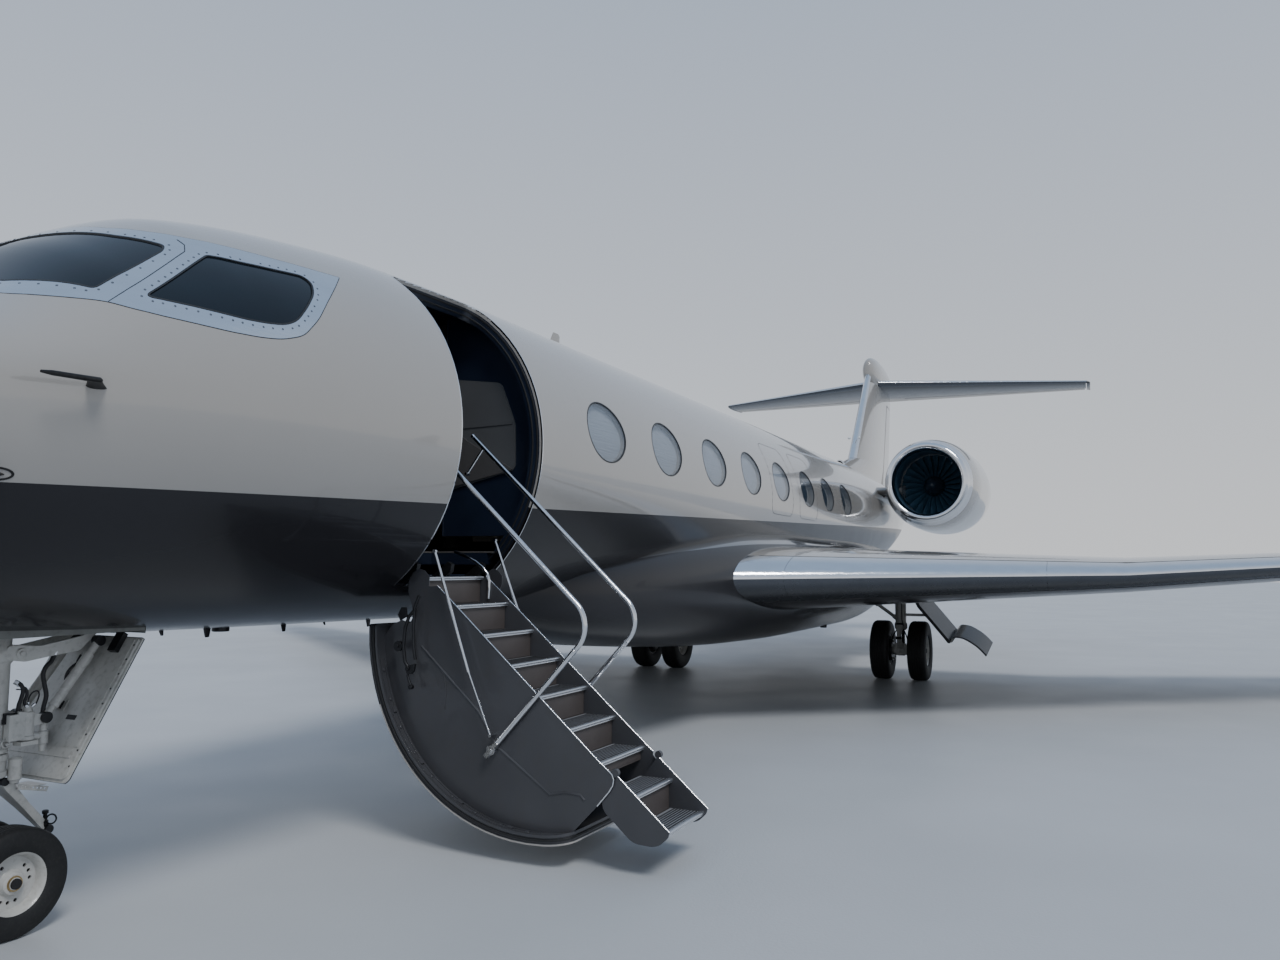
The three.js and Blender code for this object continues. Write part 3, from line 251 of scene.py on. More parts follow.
# Marks out a stretch of skin: stations along it and turns round it, with every outline scribed in
def mark_out(x0, x1, step, turns, loops=(), lines=(), low=KEEL, high=KEEL + 2 * pi):
    xs = np.linspace(x0, x1, max(2, round((x1 - x0) / step) + 1))
    ts = np.linspace(low, high, turns + 1)
    scribed, edges = [], []
    for loop in loops:
        n, k = len(loop), len(scribed)
        scribed += [tuple(p) for p in loop]
        edges += [(k + i, k + (i + 1) % n) for i in range(n)]
    for line in lines:
        k = len(scribed)
        scribed += [tuple(p) for p in line]
        edges += [(k + i, k + i + 1) for i in range(len(line) - 1)]
    near = KDTree(max(1, len(scribed)))
    for i, (x, t) in enumerate(scribed):
        near.insert((x, t * ROUND, 0), i)
    near.balance()
    room = 0.3 * min((x1 - x0) / (len(xs) - 1), ROUND * (ts[1] - ts[0]))
    points = list(scribed)
    for x in xs:
        for t in ts:
            if not scribed or near.find((x, t * ROUND, 0))[2] > room:
                points.append((x, t))
    placed, _, faces, *_ = delaunay_2d_cdt([Vector((x, t * ROUND)) for x, t in points], edges, [], 0, 1e-6)
    marks = np.array([(p.x, p.y / ROUND) for p in placed])
    faces = np.array([f for f in faces if len(f) == 3])
    # the two edges that meet along the keel share their marks
    firsts = {}
    same = np.arange(len(marks))
    for i, (x, t) in enumerate(marks):
        key = (round(x, 5), round((t - KEEL) % (2 * pi) % (2 * pi - 1e-6), 5))
        same[i] = firsts.setdefault(key, i)
    return marks, faces, same


def face_marks(marks, faces):
    return marks[faces].mean(axis=1)


# Bends marked-out sheet to the hull: an outer and an inner face, joined round every edge
def sheet_mesh(name, marks, faces, same, near, far, surface=on_hull, outward=hull_outward):
    faces = same[faces]
    faces = faces[(faces[:, 0] != faces[:, 1]) & (faces[:, 1] != faces[:, 2]) & (faces[:, 0] != faces[:, 2])]
    used, faces = np.unique(faces, return_inverse=True)
    faces = faces.reshape(-1, 3)
    marks = marks[used]
    x, t = marks.T
    outer, inner = surface(x, t, near), surface(x, t, far)
    normal = outward(x, t)
    a, b, c = (outer[faces[:, k]] for k in range(3))
    flip = (np.cross(b - a, c - a) * normal[faces[:, 0]]).sum(axis=1) < 0
    faces[flip] = faces[flip][:, ::-1]
    n = len(marks)
    sides = np.concatenate([faces[:, [0, 1]], faces[:, [1, 2]], faces[:, [2, 0]]])
    known = set(map(tuple, sides.tolist()))
    rim = [(i, j) for i, j in sides.tolist() if (j, i) not in known]
    polygons = faces.tolist() + (faces[:, ::-1] + n).tolist() + [[j, i, i + n, j + n] for i, j in rim]
    mesh = bpy.data.meshes.new(name)
    mesh.from_pydata(np.concatenate([outer, inner]).tolist(), [], polygons)
    mesh.polygons.foreach_set("use_smooth", [True] * len(polygons))
    split = normal[faces.ravel()].tolist() + (-normal[faces[:, ::-1].ravel()]).tolist()
    points = np.concatenate([outer, inner])
    for i, j in rim:
        wall = np.cross(points[i] - points[j], points[i + n] - points[j])
        wall /= max(np.linalg.norm(wall), 1e-12)
        split += [wall.tolist()] * 4
    mesh.normals_split_custom_set(split)
    return mesh


def fit(mesh, name, body, finishes, stands_for=()):
    part = bpy.data.objects.new(name, mesh)
    bpy.context.scene.collection.objects.link(part)
    for f in finishes:
        mesh.materials.append(f)
    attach(part, body)
    if stands_for:
        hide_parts(*stands_for)
    return part


upper_paint = finish("warm grey paint", UPPER_PAINT, 0.16, coat=0.9, mottle=0.02, mottle_size=1.4,
    gloss=0.04, grain=0.03, grain_size=0.006)
# The same near-black finish also paints shade on the undersides of the wings and tail.
lower_paint = finish("near-black paint and painted shade", LOWER_PAINT, 0.24, coat=0.18, mottle=0.08, mottle_size=0.9,
    gloss=0.05, grain=0.03, grain_size=0.006, sparkle=0.28)


def paint_height(x):
    return PAINT_LINE[1] + PAINT_LINE[2] * (PAINT_LINE[0] - x)


def paint_edge(x0, x1):
    x = np.linspace(x0, x1, round((x1 - x0) / 0.15) + 2)
    return np.stack([x, side_turn(x, paint_height(x))], 1)


def oval(x, z, wide, tall, count=44):
    return [(x + wide / 2 * cos(k * 2 * pi / count), z + tall / 2 * sin(k * 2 * pi / count))
        for k in range(count)]


# Rounds off an outline's corners and sets points along its straight runs
def softened(outline, radius, step=0.08):
    made = []
    n = len(outline)
    for i in range(n):
        before, here, after = (np.array(outline[(i + k) % n], float) for k in (-1, 0, 1))
        back, on = before - here, after - here
        r = min(radius[i] if isinstance(radius, (list, tuple)) else radius, 0.48 * np.linalg.norm(back),
            0.48 * np.linalg.norm(on))
        start = here + back / np.linalg.norm(back) * r
        end = here + on / np.linalg.norm(on) * r
        made += [tuple((1 - s) ** 2 * start + 2 * s * (1 - s) * here + s * s * end)
            for s in np.linspace(0, 1, 7)]
    spaced = []
    for p, q in zip(made, made[1:] + made[:1]):
        count = max(1, int(dist(p, q) / step))
        spaced += [tuple(np.array(p) + (np.array(q) - p) * k / count) for k in range(count)]
    return spaced


# Cabin windows: wide ovals, eight a side, and the airstair's doorway to port
WINDOWS = [7.535, 6.225, 4.895, 3.605, 2.335, 1.015, -0.205, -1.485]
WINDOW_Z = 2.99
WINDOW_SIZE = (0.71, 0.52)
DOORWAY = (8.655, 9.665, 1.7, 3.875)
window_loops = [port(oval(x, WINDOW_Z, *WINDOW_SIZE)) for x in WINDOWS]
doorway_outline = softened([(DOORWAY[0], DOORWAY[2]), (DOORWAY[1], DOORWAY[2]), (DOORWAY[1], DOORWAY[3]),
    (DOORWAY[0], DOORWAY[3])], [0.02, 0.02, 0.12, 0.12])
doorway_loop = port(doorway_outline)

# Cockpit windows: a windscreen and one side window to each side, in one bare polished frame.
# Outlines are set out on the skin as x and turn in degrees, 90 being the crown.
WINDSCREEN = [(12.36, 87.6), (12.239, 58.3), (12.023, 38.1), (11.574, 49.1), (11.535, 51.5), (11.653, 62.6),
    (11.8, 87.6)]
SIDE_WINDOW = [(11.843, 30.9), (11.373, 44.8), (11.2, 42.5), (10.993, 41.2), (10.783, 40.6), (10.748, 38.0),
    (10.79, 33.5), (10.902, 27.8), (11.017, 22.7), (11.109, 20.9), (11.242, 20.6), (11.361, 21.2),
    (11.487, 22.9), (11.603, 25.0), (11.725, 27.7)]
WINDOW_FRAME = [(12.46, 90), (12.316, 49.9), (12.184, 39.9), (12.107, 35.4), (12.03, 31.8), (11.929, 26.4),
    (11.82, 23.2), (11.708, 20.8), (11.586, 18.7), (11.463, 17.1), (11.308, 16.1), (11.159, 16.3),
    (11.001, 18.3), (10.847, 24.5), (10.715, 31.2), (10.429, 44.3), (10.589, 44.9), (10.732, 45.7),
    (10.91, 46.9), (11.088, 48.9), (11.248, 51.4), (11.372, 54.2), (11.505, 61.1), (11.6, 70.0), (11.66, 90)]


def degrees_round(outline, radius):
    marks = np.array(softened([(x, radians(t) * ROUND) for x, t in outline], radius, 0.05))
    return np.stack([marks[:, 0], marks[:, 1] / ROUND], 1)


windscreen_loop = degrees_round(WINDSCREEN, 0.03)
side_window_loop = degrees_round(SIDE_WINDOW, [0.05, 0.02, *[0.06] * 13])
half_frame = degrees_round(WINDOW_FRAME, [0.001, *[0.06] * 14, 0.004, *[0.03] * 8, 0.001])
half_frame = half_frame[half_frame[:, 1] < pi / 2 - 1e-4]
frame_loop = np.concatenate([[(12.46, pi / 2)], half_frame, [(11.66, pi / 2)], starboard(half_frame)])
glass_loops = [windscreen_loop, side_window_loop, starboard(windscreen_loop), starboard(side_window_loop)]
NOSE_WELL = [(11.15, -1.826), (12.15, -1.826), (12.15, -1.316), (11.15, -1.316)]
well_loop = np.array(softened(NOSE_WELL, 0.02))

SECTIONS = [
    # piece, node, x from, x to, step, turns, holes
    ("radome skin", "radome", 13.4, 15.205, 0.06, 96, []),
    ("forward skin", "forward_fuselage", 9.8, 13.4, 0.09, 96, [frame_loop, well_loop]),
    ("entry skin", "entry_fuselage", 7.95, 9.8, 0.1, 96, [doorway_loop]),
    ("cabin skin", "cabin_fuselage", -2.745, 7.95, 0.16, 88,
     window_loops + [starboard(w) for w in window_loops]),
    ("aft skin", "aft_fuselage", -13.245, -2.745, 0.16, 88, []),
]
for label, node, x0, x1, step, turns, holes in SECTIONS:
    edge = paint_edge(x0, x1)
    marks, faces, same = mark_out(x0, x1, step, turns, holes, [edge, starboard(edge)])
    middle = face_marks(marks, faces)
    solid = np.ones(len(faces), bool)
    for hole in holes:
        solid &= ~within(middle, hole)
    level = on_hull(*middle.T)[:, 2]
    below = level < paint_height(middle[:, 0])
    for coat, chosen, slot, paint in (("upper", ~below, "upper_paint", upper_paint),
            ("lower", below, "lower_paint", lower_paint)):
        name = f"{label} {coat}".replace(" ", "_")
        mesh = sheet_mesh(name, marks, faces[solid & chosen], same, 0.0, SKIN)
        fit(mesh, name, "airframe", [paint], (node,))


# Most fittings are built up as one part from turned, bent, ribbed and plate pieces, then eased at
# their edges. A face's paint is its place in the part's list of finishes.
class Part:
    def __init__(self):
        self.points, self.faces, self.paints = [], [], []

    def add(self, points, faces, paint=0):
        start = len(self.points)
        self.points += [tuple(map(float, p)) for p in points]
        self.faces += [[start + k for k in f] for f in faces]
        self.paints += [paint] * len(faces)
        return self

    def ribs(self, rings, paint=0, looped=False, capped=True):
        n, m = len(rings[0]), len(rings)
        faces = []
        for i in range(m if looped else m - 1):
            for j in range(n):
                k, q = (j + 1) % n, (i + 1) % m
                faces.append([i * n + j, i * n + k, q * n + k, q * n + j])
        if capped and not looped:
            faces += [list(range(n))[::-1], [(m - 1) * n + j for j in range(n)]]
        return self.add([p for ring in rings for p in ring], faces, paint)

    def turn(self, profile, at, axis, sides=32, paint=0, looped=False, squash=1.0):
        axis = Vector(axis).normalized()
        u = axis.orthogonal().normalized()
        v = axis.cross(u)
        angles = round_turns(sides)
        rings = [[Vector(at) + axis * a + u * (r * cos(w)) + v * (r * squash * sin(w)) for w in angles]
            for a, r in profile]
        return self.ribs(rings, paint, looped)

    def rod(self, start, end, radius, sides=20, paint=0, end_radius=None):
        start, end = Vector(start), Vector(end)
        return self.turn([(0, radius), ((end - start).length, radius if end_radius is None else end_radius)],
            start, end - start, sides, paint)

    def bend(self, path, radius, sides=14, paint=0):
        path = [Vector(p) for p in path]
        last = len(path) - 1
        rings, u = [], None
        for i, p in enumerate(path):
            ahead = (path[min(i + 1, last)] - path[max(i - 1, 0)]).normalized()
            u = ahead.orthogonal() if u is None else u - ahead * u.dot(ahead)
            u.normalize()
            v = ahead.cross(u)
            r = radius(i / last) if callable(radius) else radius
            rings.append([p + u * (r * cos(w)) + v * (r * sin(w)) for w in round_turns(sides)])
        return self.ribs(rings, paint)

    # a flat plate across one axis: 0 takes (y, z) outlines, 1 takes (x, z), 2 takes (x, y)
    def plate(self, outline, axis, low, high, paint=0, holes=()):
        loops = [list(outline)] + [list(h) for h in holes]
        flat, edges = [], []
        for loop in loops:
            k = len(flat)
            flat += loop
            edges += [(k + i, k + (i + 1) % len(loop)) for i in range(len(loop))]
        placed, _, faces, *_ = delaunay_2d_cdt([Vector(p) for p in flat], edges, [], 0, 1e-7)
        placed = np.array([tuple(p) for p in placed])
        faces = np.array(faces)
        middle = placed[faces].mean(axis=1)
        keep = within(middle, np.array(loops[0]))
        for hole in loops[1:]:
            keep &= ~within(middle, np.array(hole))
        faces = faces[keep]
        sides = np.concatenate([faces[:, [0, 1]], faces[:, [1, 2]], faces[:, [2, 0]]]).tolist()
        known = set(map(tuple, sides))
        rim = [(i, j) for i, j in sides if (j, i) not in known]
        n = len(placed)
        points = [tuple(np.insert(p, axis, level)) for level in (high, low) for p in placed]
        polygons = faces.tolist() + (faces[:, ::-1] + n).tolist() + [[j, i, i + n, j + n] for i, j in rim]
        return self.add(points, polygons, paint)

    def block(self, low, high, paint=0):
        (x0, y0, z0), (x1, y1, z1) = low, high
        return self.plate([(y0, z0), (y1, z0), (y1, z1), (y0, z1)], 0, x0, x1, paint)

    def copied(self, move):
        points = list(self.points)
        faces = [list(f) for f in self.faces]
        paints = list(self.paints)
        start = len(points)
        self.points += [tuple(move(p)) for p in points]
        self.faces += [[start + k for k in f] for f in faces]
        self.paints += paints
        return self

    def made(self, name, body, slot, finishes, stands_for=(), sharp=32, ease=0.0, merge=1e-5):
        mesh = bpy.data.meshes.new(name)
        mesh.from_pydata(self.points, [], self.faces)
        mesh.polygons.foreach_set("material_index", self.paints)
        work = bmesh.new()
        work.from_mesh(mesh)
        bmesh.ops.remove_doubles(work, verts=work.verts, dist=merge)
        bmesh.ops.recalc_face_normals(work, faces=work.faces)
        work.to_mesh(mesh)
        work.free()
        mesh.polygons.foreach_set("use_smooth", [True] * len(mesh.polygons))
        mesh.set_sharp_from_angle(angle=radians(sharp))
        part = fit(mesh, name, body, finishes, stands_for)
        if ease:
            eased = part.modifiers.new("eased edges", "BEVEL")
            eased.width = ease
            eased.segments = 2
            eased.limit_method = "ANGLE"
            eased.angle_limit = radians(35)
            eased.harden_normals = True
        return part


def mirror(p):
    return (p[0], -p[1], p[2])


# A narrow band laid along marks on the hull, standing a little proud of it or sunk into it
def band(part, marks, width, near, far, paint=0, looped=True, surface=on_hull):
    marks = np.array(marks, float)
    flat = marks * [1, ROUND]
    ahead = np.roll(flat, -1, axis=0) - np.roll(flat, 1, axis=0)
    if not looped:
        ahead[0], ahead[-1] = flat[1] - flat[0], flat[-1] - flat[-2]
    aside = np.stack([-ahead[:, 1], ahead[:, 0]], 1) / np.linalg.norm(ahead, axis=1)[:, None] * width / 2
    left, right = (flat + aside) / [1, ROUND], (flat - aside) / [1, ROUND]
    corners = [surface(*left.T, near), surface(*right.T, near), surface(*right.T, far),
        surface(*left.T, far)]
    part.ribs([[c[i] for c in corners] for i in range(len(marks))], paint, looped)


# Cabin windows: a stretched acrylic pane in a slim black gasket, a moulded sleeve behind it and, at
# the first five, a blind drawn down, its pale blue-white a painted reflection of the sky in those panes.
GASKET = 0.012
PANE = (0.007, 0.015)
REFLECTION_BLINDS = 5
pane_glass = finish("cabin pane", (0.09, 0.13, 0.18), 0.03, coat=1.0, mottle=0.1, mottle_size=0.5,
    gloss=0.02, alpha=0.3)
gasket_rubber = finish("black sealant", (0.012, 0.013, 0.015), 0.45, mottle=0.3, mottle_size=0.05, grain=0.3,
    grain_size=0.003)
sleeve_trim = finish("sleeve trim", (0.42, 0.4, 0.37), 0.5, mottle=0.05, mottle_size=0.2, grain=0.1,
    grain_size=0.002)
reflection_blind_cloth = finish("pleated blind, painted sky reflection", (0.66, 0.72, 0.8), 0.8, mottle=0.08, mottle_size=0.3, grain=0.9,
    grain_size=0.02, stretch=(0.05, 0.05, 1), sheen=0.3)
for side, turned in (("left", np.array), ("right", starboard)):
    gaskets, sleeves = Part(), Part()
    for k, loop in enumerate(window_loops):
        loop = turned(loop)
        x_mid = WINDOWS[k]
        band(gaskets, loop, GASKET, -0.0008, 0.01)
        rings = [on_hull(*loop.T, inset) for inset in (PANE[1], 0.09)]
        inner = np.stack([x_mid + (loop[:, 0] - x_mid) * 0.93,
            loop[:, 1].mean() + (loop[:, 1] - loop[:, 1].mean()) * 0.93], 1)
        rings.append(on_hull(*inner.T, 0.1))
        rings += [on_hull(*inner.T, 0.104), on_hull(*loop.T, 0.097), on_hull(*loop.T, SKIN - 0.006)]
        sleeves.ribs(rings, 0, looped=False, capped=False)
        marks, faces, same = mark_out(x_mid - 0.36, x_mid + 0.36, 0.06, 8, [loop], (),
            loop[:, 1].min() - 0.02, loop[:, 1].max() + 0.02)
        glass = faces[within(face_marks(marks, faces), loop)]
        name = f"cabin_pane_{side}_{k + 1}"
        fit(sheet_mesh(name, marks, glass, np.arange(len(marks)), *PANE), name, "airframe",
            [pane_glass], (f"cabin_window_liner_{side}",))
        # the drawn blind's pale blue-white stands in for sky reflected in the pane: painted reflection
        if k < REFLECTION_BLINDS:
            name = f"cabin_blind_{side}_{k + 1}"
            fit(sheet_mesh(name, marks, glass, np.arange(len(marks)), 0.055, 0.06), name, "airframe",
                [reflection_blind_cloth])
    gaskets.made(f"window_gaskets_{side}", "airframe", "glazing", [gasket_rubber])
    sleeves.made(f"window_sleeves_{side}", "airframe", "cabin_trim", [sleeve_trim], sharp=60)
    # the cabin's side lining, from the armrest ledge to the ceiling, with the sleeves standing through it
    loops = [turned(loop) for loop in window_loops]
    lows = side_turn(np.array([2.0]), np.array([2.42]))[0]
    highs = side_turn(np.array([2.0]), np.array([3.62]))[0]
    if side == "right":
        lows, highs = pi - highs, pi - lows
    marks, faces, same = mark_out(-2.14, 7.88, 0.2, 14, loops, (), lows, highs)
    middle = face_marks(marks, faces)
    keep = np.ones(len(faces), bool)
    for loop in loops:
        keep &= ~within(middle, loop)
    name = f"side_lining_{side}"
    fit(sheet_mesh(name, marks, faces[keep], np.arange(len(marks)), 0.1, 0.112), name, "airframe",
        [sleeve_trim])

# Emergency exits: two plug doors a side round the fifth and sixth windows, each seen as a fine
# rounded joint in its seal; and the joint where the radome meets the nose.
EXITS = [4, 5]
EXIT_SIZE = (0.98, 0.94)
exit_joints, ring_joints = Part(), Part()
for k in EXITS:
    x_mid = WINDOWS[k]
    outline = [(x_mid + sx * EXIT_SIZE[0] / 2, WINDOW_Z + 0.02 + sz * EXIT_SIZE[1] / 2)
        for sx, sz in ((-1, -1), (1, -1), (1, 1), (-1, 1))]
    joint = port(softened(outline, 0.16))
    for marks in (joint, starboard(joint)):
        band(exit_joints, marks, 0.006, -0.0006, 0.004)
turns = np.linspace(KEEL, KEEL + 2 * pi, 97)
band(ring_joints, np.stack([np.full(96, 13.4), turns[:96]], 1), 0.004, -0.0005, 0.003)
exit_joints.made("exit_joints", "airframe", "upper_paint", [gasket_rubber])
ring_joints.made("skin_joints", "airframe", "upper_paint", [gasket_rubber])

# Cockpit glazing: thick laminated panes clamped under a bare, polished alloy frame by rows of small
# screws, the frame bedded in dark sealant.
cockpit_glass = finish("cockpit glass", (0.006, 0.01, 0.015), 0.03, mottle=0.3, mottle_size=0.6, gloss=0.02,
    sparkle=0.35)
bare_alloy = finish("polished alloy", (0.8, 0.81, 0.83), 0.13, metal=1.0, mottle=0.03, mottle_size=0.25,
    gloss=0.06, grain=0.05, grain_size=0.05, stretch=(1, 1, 4))
screw_steel = finish("screw heads", (0.2, 0.21, 0.23), 0.35, metal=1.0, mottle=0.2, mottle_size=0.01)
marks, faces, same = mark_out(10.4, 12.6, 0.07, 64, [frame_loop, *glass_loops], (), 0.1, pi - 0.1)
middle = face_marks(marks, faces)
on_frame = within(middle, frame_loop)
for loop in glass_loops:
    on_frame &= ~within(middle, loop)
fit(sheet_mesh("cockpit_frame", marks, faces[on_frame], np.arange(len(marks)), -0.002, 0.03),
    "cockpit_frame", "airframe", [bare_alloy], ("cockpit_window_frames",))
for k, loop in enumerate(glass_loops):
    name = ("windscreen_left", "side_window_left", "windscreen_right", "side_window_right")[k]
    glass = faces[within(middle, loop)]
    fit(sheet_mesh(name, marks, glass, np.arange(len(marks)), 0.004, 0.026), name, "airframe",
        [cockpit_glass], ("cockpit_glazing",))
bedding, screws = Part(), Part()
band(bedding, frame_loop, 0.01, -0.0012, 0.006)
for loop in glass_loops:
    band(bedding, loop, 0.012, -0.0035, 0.01)
split = np.array([(12.013, radians(31.0)), (11.7, radians(40.5)), (11.47, radians(47.3)),
    (11.431, radians(50.5)), (11.431, radians(53.7))])
for marks in (split, starboard(split)):
    fine = np.concatenate([np.linspace(p, q, 8) for p, q in zip(marks, marks[1:])])
    fine = fine[np.concatenate([[True], np.linalg.norm(np.diff(fine, axis=0), axis=1) > 1e-6])]
    band(bedding, fine, 0.005, -0.003, 0.004, looped=False)


# Small parts set at an even pitch beside a loop
def beside(loop, offset, pitch):
    flat = np.array(loop) * [1, ROUND]
    ahead = np.roll(flat, -1, axis=0) - np.roll(flat, 1, axis=0)
    aside = np.stack([ahead[:, 1], -ahead[:, 0]], 1) / np.linalg.norm(ahead, axis=1)[:, None] * offset
    area = 0.5 * np.sum(flat[:, 0] * np.roll(flat[:, 1], -1) - np.roll(flat[:, 0], -1) * flat[:, 1])
    path = flat + (aside if area > 0 else -aside)
    run, kept = 0.0, [path[0]]
    for p, q in zip(path, np.roll(path, -1, axis=0)):
        run += np.linalg.norm(q - p)
        if run >= pitch:
            kept.append(q)
            run = 0.0
    return np.array(kept) / [1, ROUND]


for loop in glass_loops:
    for x, t in beside(loop, 0.035, 0.055):
        at = on_hull(np.array([x]), np.array([t]), -0.002)[0]
        out = hull_outward(np.array([x]), np.array([t]))[0]
        screws.turn([(-0.002, 0.0065), (0.0012, 0.006), (0.002, 0.0)], at, out, 8)
bedding.made("cockpit_sealant", "airframe", "glazing", [gasket_rubber])
screws.made("cockpit_screws", "airframe", "polished_metal", [screw_steel])

# Wing-to-body fairing: a moulded shell of rounded box section under the belly, wide enough to hide
# the wing's root and the folded main gear.
FAIRING = fair([
    # x, half width, bottom, top
    (8.155, 0.42, 1.435, 1.8), (6.955, 1.02, 1.14, 2.0), (5.255, 1.33, 0.96, 2.24),
    (3.255, 1.54, 0.85, 2.4), (1.255, 1.62, 0.815, 2.44), (-1.745, 1.62, 0.815, 2.44),
    (-4.245, 1.46, 0.96, 2.44), (-6.745, 1.0, 1.48, 2.44), (-8.245, 0.56, 1.96, 2.4)])
FAIRING_POWER = 0.62


def fairing_ring(x, sides=72):
    half, bottom, top = (float(v[0]) for v in FAIRING([x]))
    ring = []
    for k in range(sides):
        c, s = cos(2 * pi * k / sides), sin(2 * pi * k / sides)
        ring.append((x, half * copysign(abs(c) ** FAIRING_POWER, c),
            (top + bottom) / 2 + (top - bottom) / 2 * copysign(abs(s) ** FAIRING_POWER, s)))
    return ring


fairing = Part()
fairing.ribs([fairing_ring(x) for x in np.linspace(8.155, -8.245, 83)])
# The upper faces take a lighter, glossier copy of the dark lower paint: a painted sheen where the fairing's
# top catches the light.
painted_sheen_paint = finish("dark paint, painted sheen", (0.03, 0.032, 0.036), 0.1, coat=1.0, mottle=0.08, mottle_size=0.9,
    gloss=0.04, grain=0.03, grain_size=0.006, sparkle=1.0)
SHEEN_SHOULDER = 0.66
for k, face in enumerate(fairing.faces):
    x, y, z = np.mean([fairing.points[i] for i in face], axis=0)
    half, bottom, top = (float(v[0]) for v in FAIRING([x]))
    if (z - (top + bottom) / 2) / ((top - bottom) / 2) > SHEEN_SHOULDER:
        fairing.paints[k] = 1


# True where a point lies well within the fuselage
def inside_hull(p, room=0.04):
    keel = float(hull_lines([p[0]])[3][0])
    return p[2] > keel + room and abs(p[1]) < skin_spot(p[0], p[2])[0][1] - room


shown = [not all(inside_hull(fairing.points[i]) for i in face) for face in fairing.faces]
fairing.paints = [paint for paint, seen in zip(fairing.paints, shown) if seen]
fairing.faces = [face for face, seen in zip(fairing.faces, shown) if seen]
fairing.made("wing_fairing_shell", "airframe", "lower_paint", [lower_paint, painted_sheen_paint], ("wing_fairing",),
    sharp=60)

# Wings: machined aluminium skins over spars, with a bare polished leading edge, flaps on tracks,
# hinged ailerons and a blended winglet.
WING = [
    # y, leading edge x, leading edge z, chord, thickness, cant in degrees
    (1.2, 4.675, 1.7, 7.42, 0.115, 0), (5.5, 1.545, 1.765, 4.24, 0.11, 0),
    (14.3, -4.845, 2.3, 1.64, 0.1, 0), (14.64, -5.11, 2.345, 1.48, 0.095, 18),
    (14.91, -5.37, 2.49, 1.3, 0.09, 48), (15.045, -5.64, 2.76, 1.12, 0.09, 72),
    (15.15, -6.56, 3.83, 0.52, 0.08, 80)]
STRAIGHT = 3
EDGE_DEPTH = 0.065


def half_thickness(u):
    return 5 * (0.2969 * sqrt(u) - 0.126 * u - 0.3516 * u * u + 0.2843 * u ** 3 - 0.1015 * u ** 4)


def station(table, y):
    table = sorted(table)
    return [float(np.interp(y, [r[0] for r in table], [r[k] for r in table])) for k in range(len(table[0]))]


def winglet_rows(count):
    start = station(WING[:STRAIGHT], 13.7)
    rows = [start, *WING[STRAIGHT - 1:]]
    run = [0.0]
    for a, b in zip(rows, rows[1:]):
        run.append(run[-1] + dist(a[:3], b[:3]))
    curve = fair([(s, *row) for s, row in zip(run, rows)])
    return [tuple(float(v[0]) for v in curve([s])) for s in np.linspace(run[1], run[-1], count)]


# The outline of a section between two shares of its chord, closed across at each cut
def section(row, first, last, side=1, nose=0.0, count=22):
    y, x, z, chord, ratio, cant = row
    lean = radians(cant)
    shares = [first + (last - first) * (1 - cos(pi * k / (2 * count))) if first == 0
        else first + (last - first) * k / count for k in range(count + 1)]
    half = half_thickness(first) * ratio * chord if first else 0
    upper = [(u * chord, half_thickness(u) * ratio * chord) for u in shares]
    lower = [(a, -v) for a, v in upper[::-1]]
    outline = upper + (lower if first else lower[:-1])
    if nose and first:
        outline = outline[1:-1] + [(first * chord - half * nose * cos(w), half * sin(w))
            for w in np.linspace(-pi / 2, pi / 2, 9)]
    return [(x - a, side * (y - v * sin(lean)), z + v * cos(lean)) for a, v in outline]


# Painted shade: from below, the bare edges and the skins are darkened for the shade under them. The faces
# below a surface's chord plane, as far out as the winglet's bend, take the piece's second finish.
WINGLET_BEND = 14.35
shaded_edge_alloy = finish("edge alloy, painted shade", (0.105, 0.112, 0.125), 0.26, metal=1.0, mottle=0.06, mottle_size=0.3,
    gloss=0.06, grain=0.05, grain_size=0.05)


def painted_shade_below(part, table):
    for k, face in enumerate(part.faces):
        x, y, z = np.mean([part.points[i] for i in face], axis=0)
        if abs(y) < WINGLET_BEND and z < station(table, abs(y))[2] - 0.002:
            part.paints[k] = 1


def wing_rows(y0, y1, count):
    return [station(WING[:STRAIGHT], y) for y in np.linspace(y0, y1, count)]


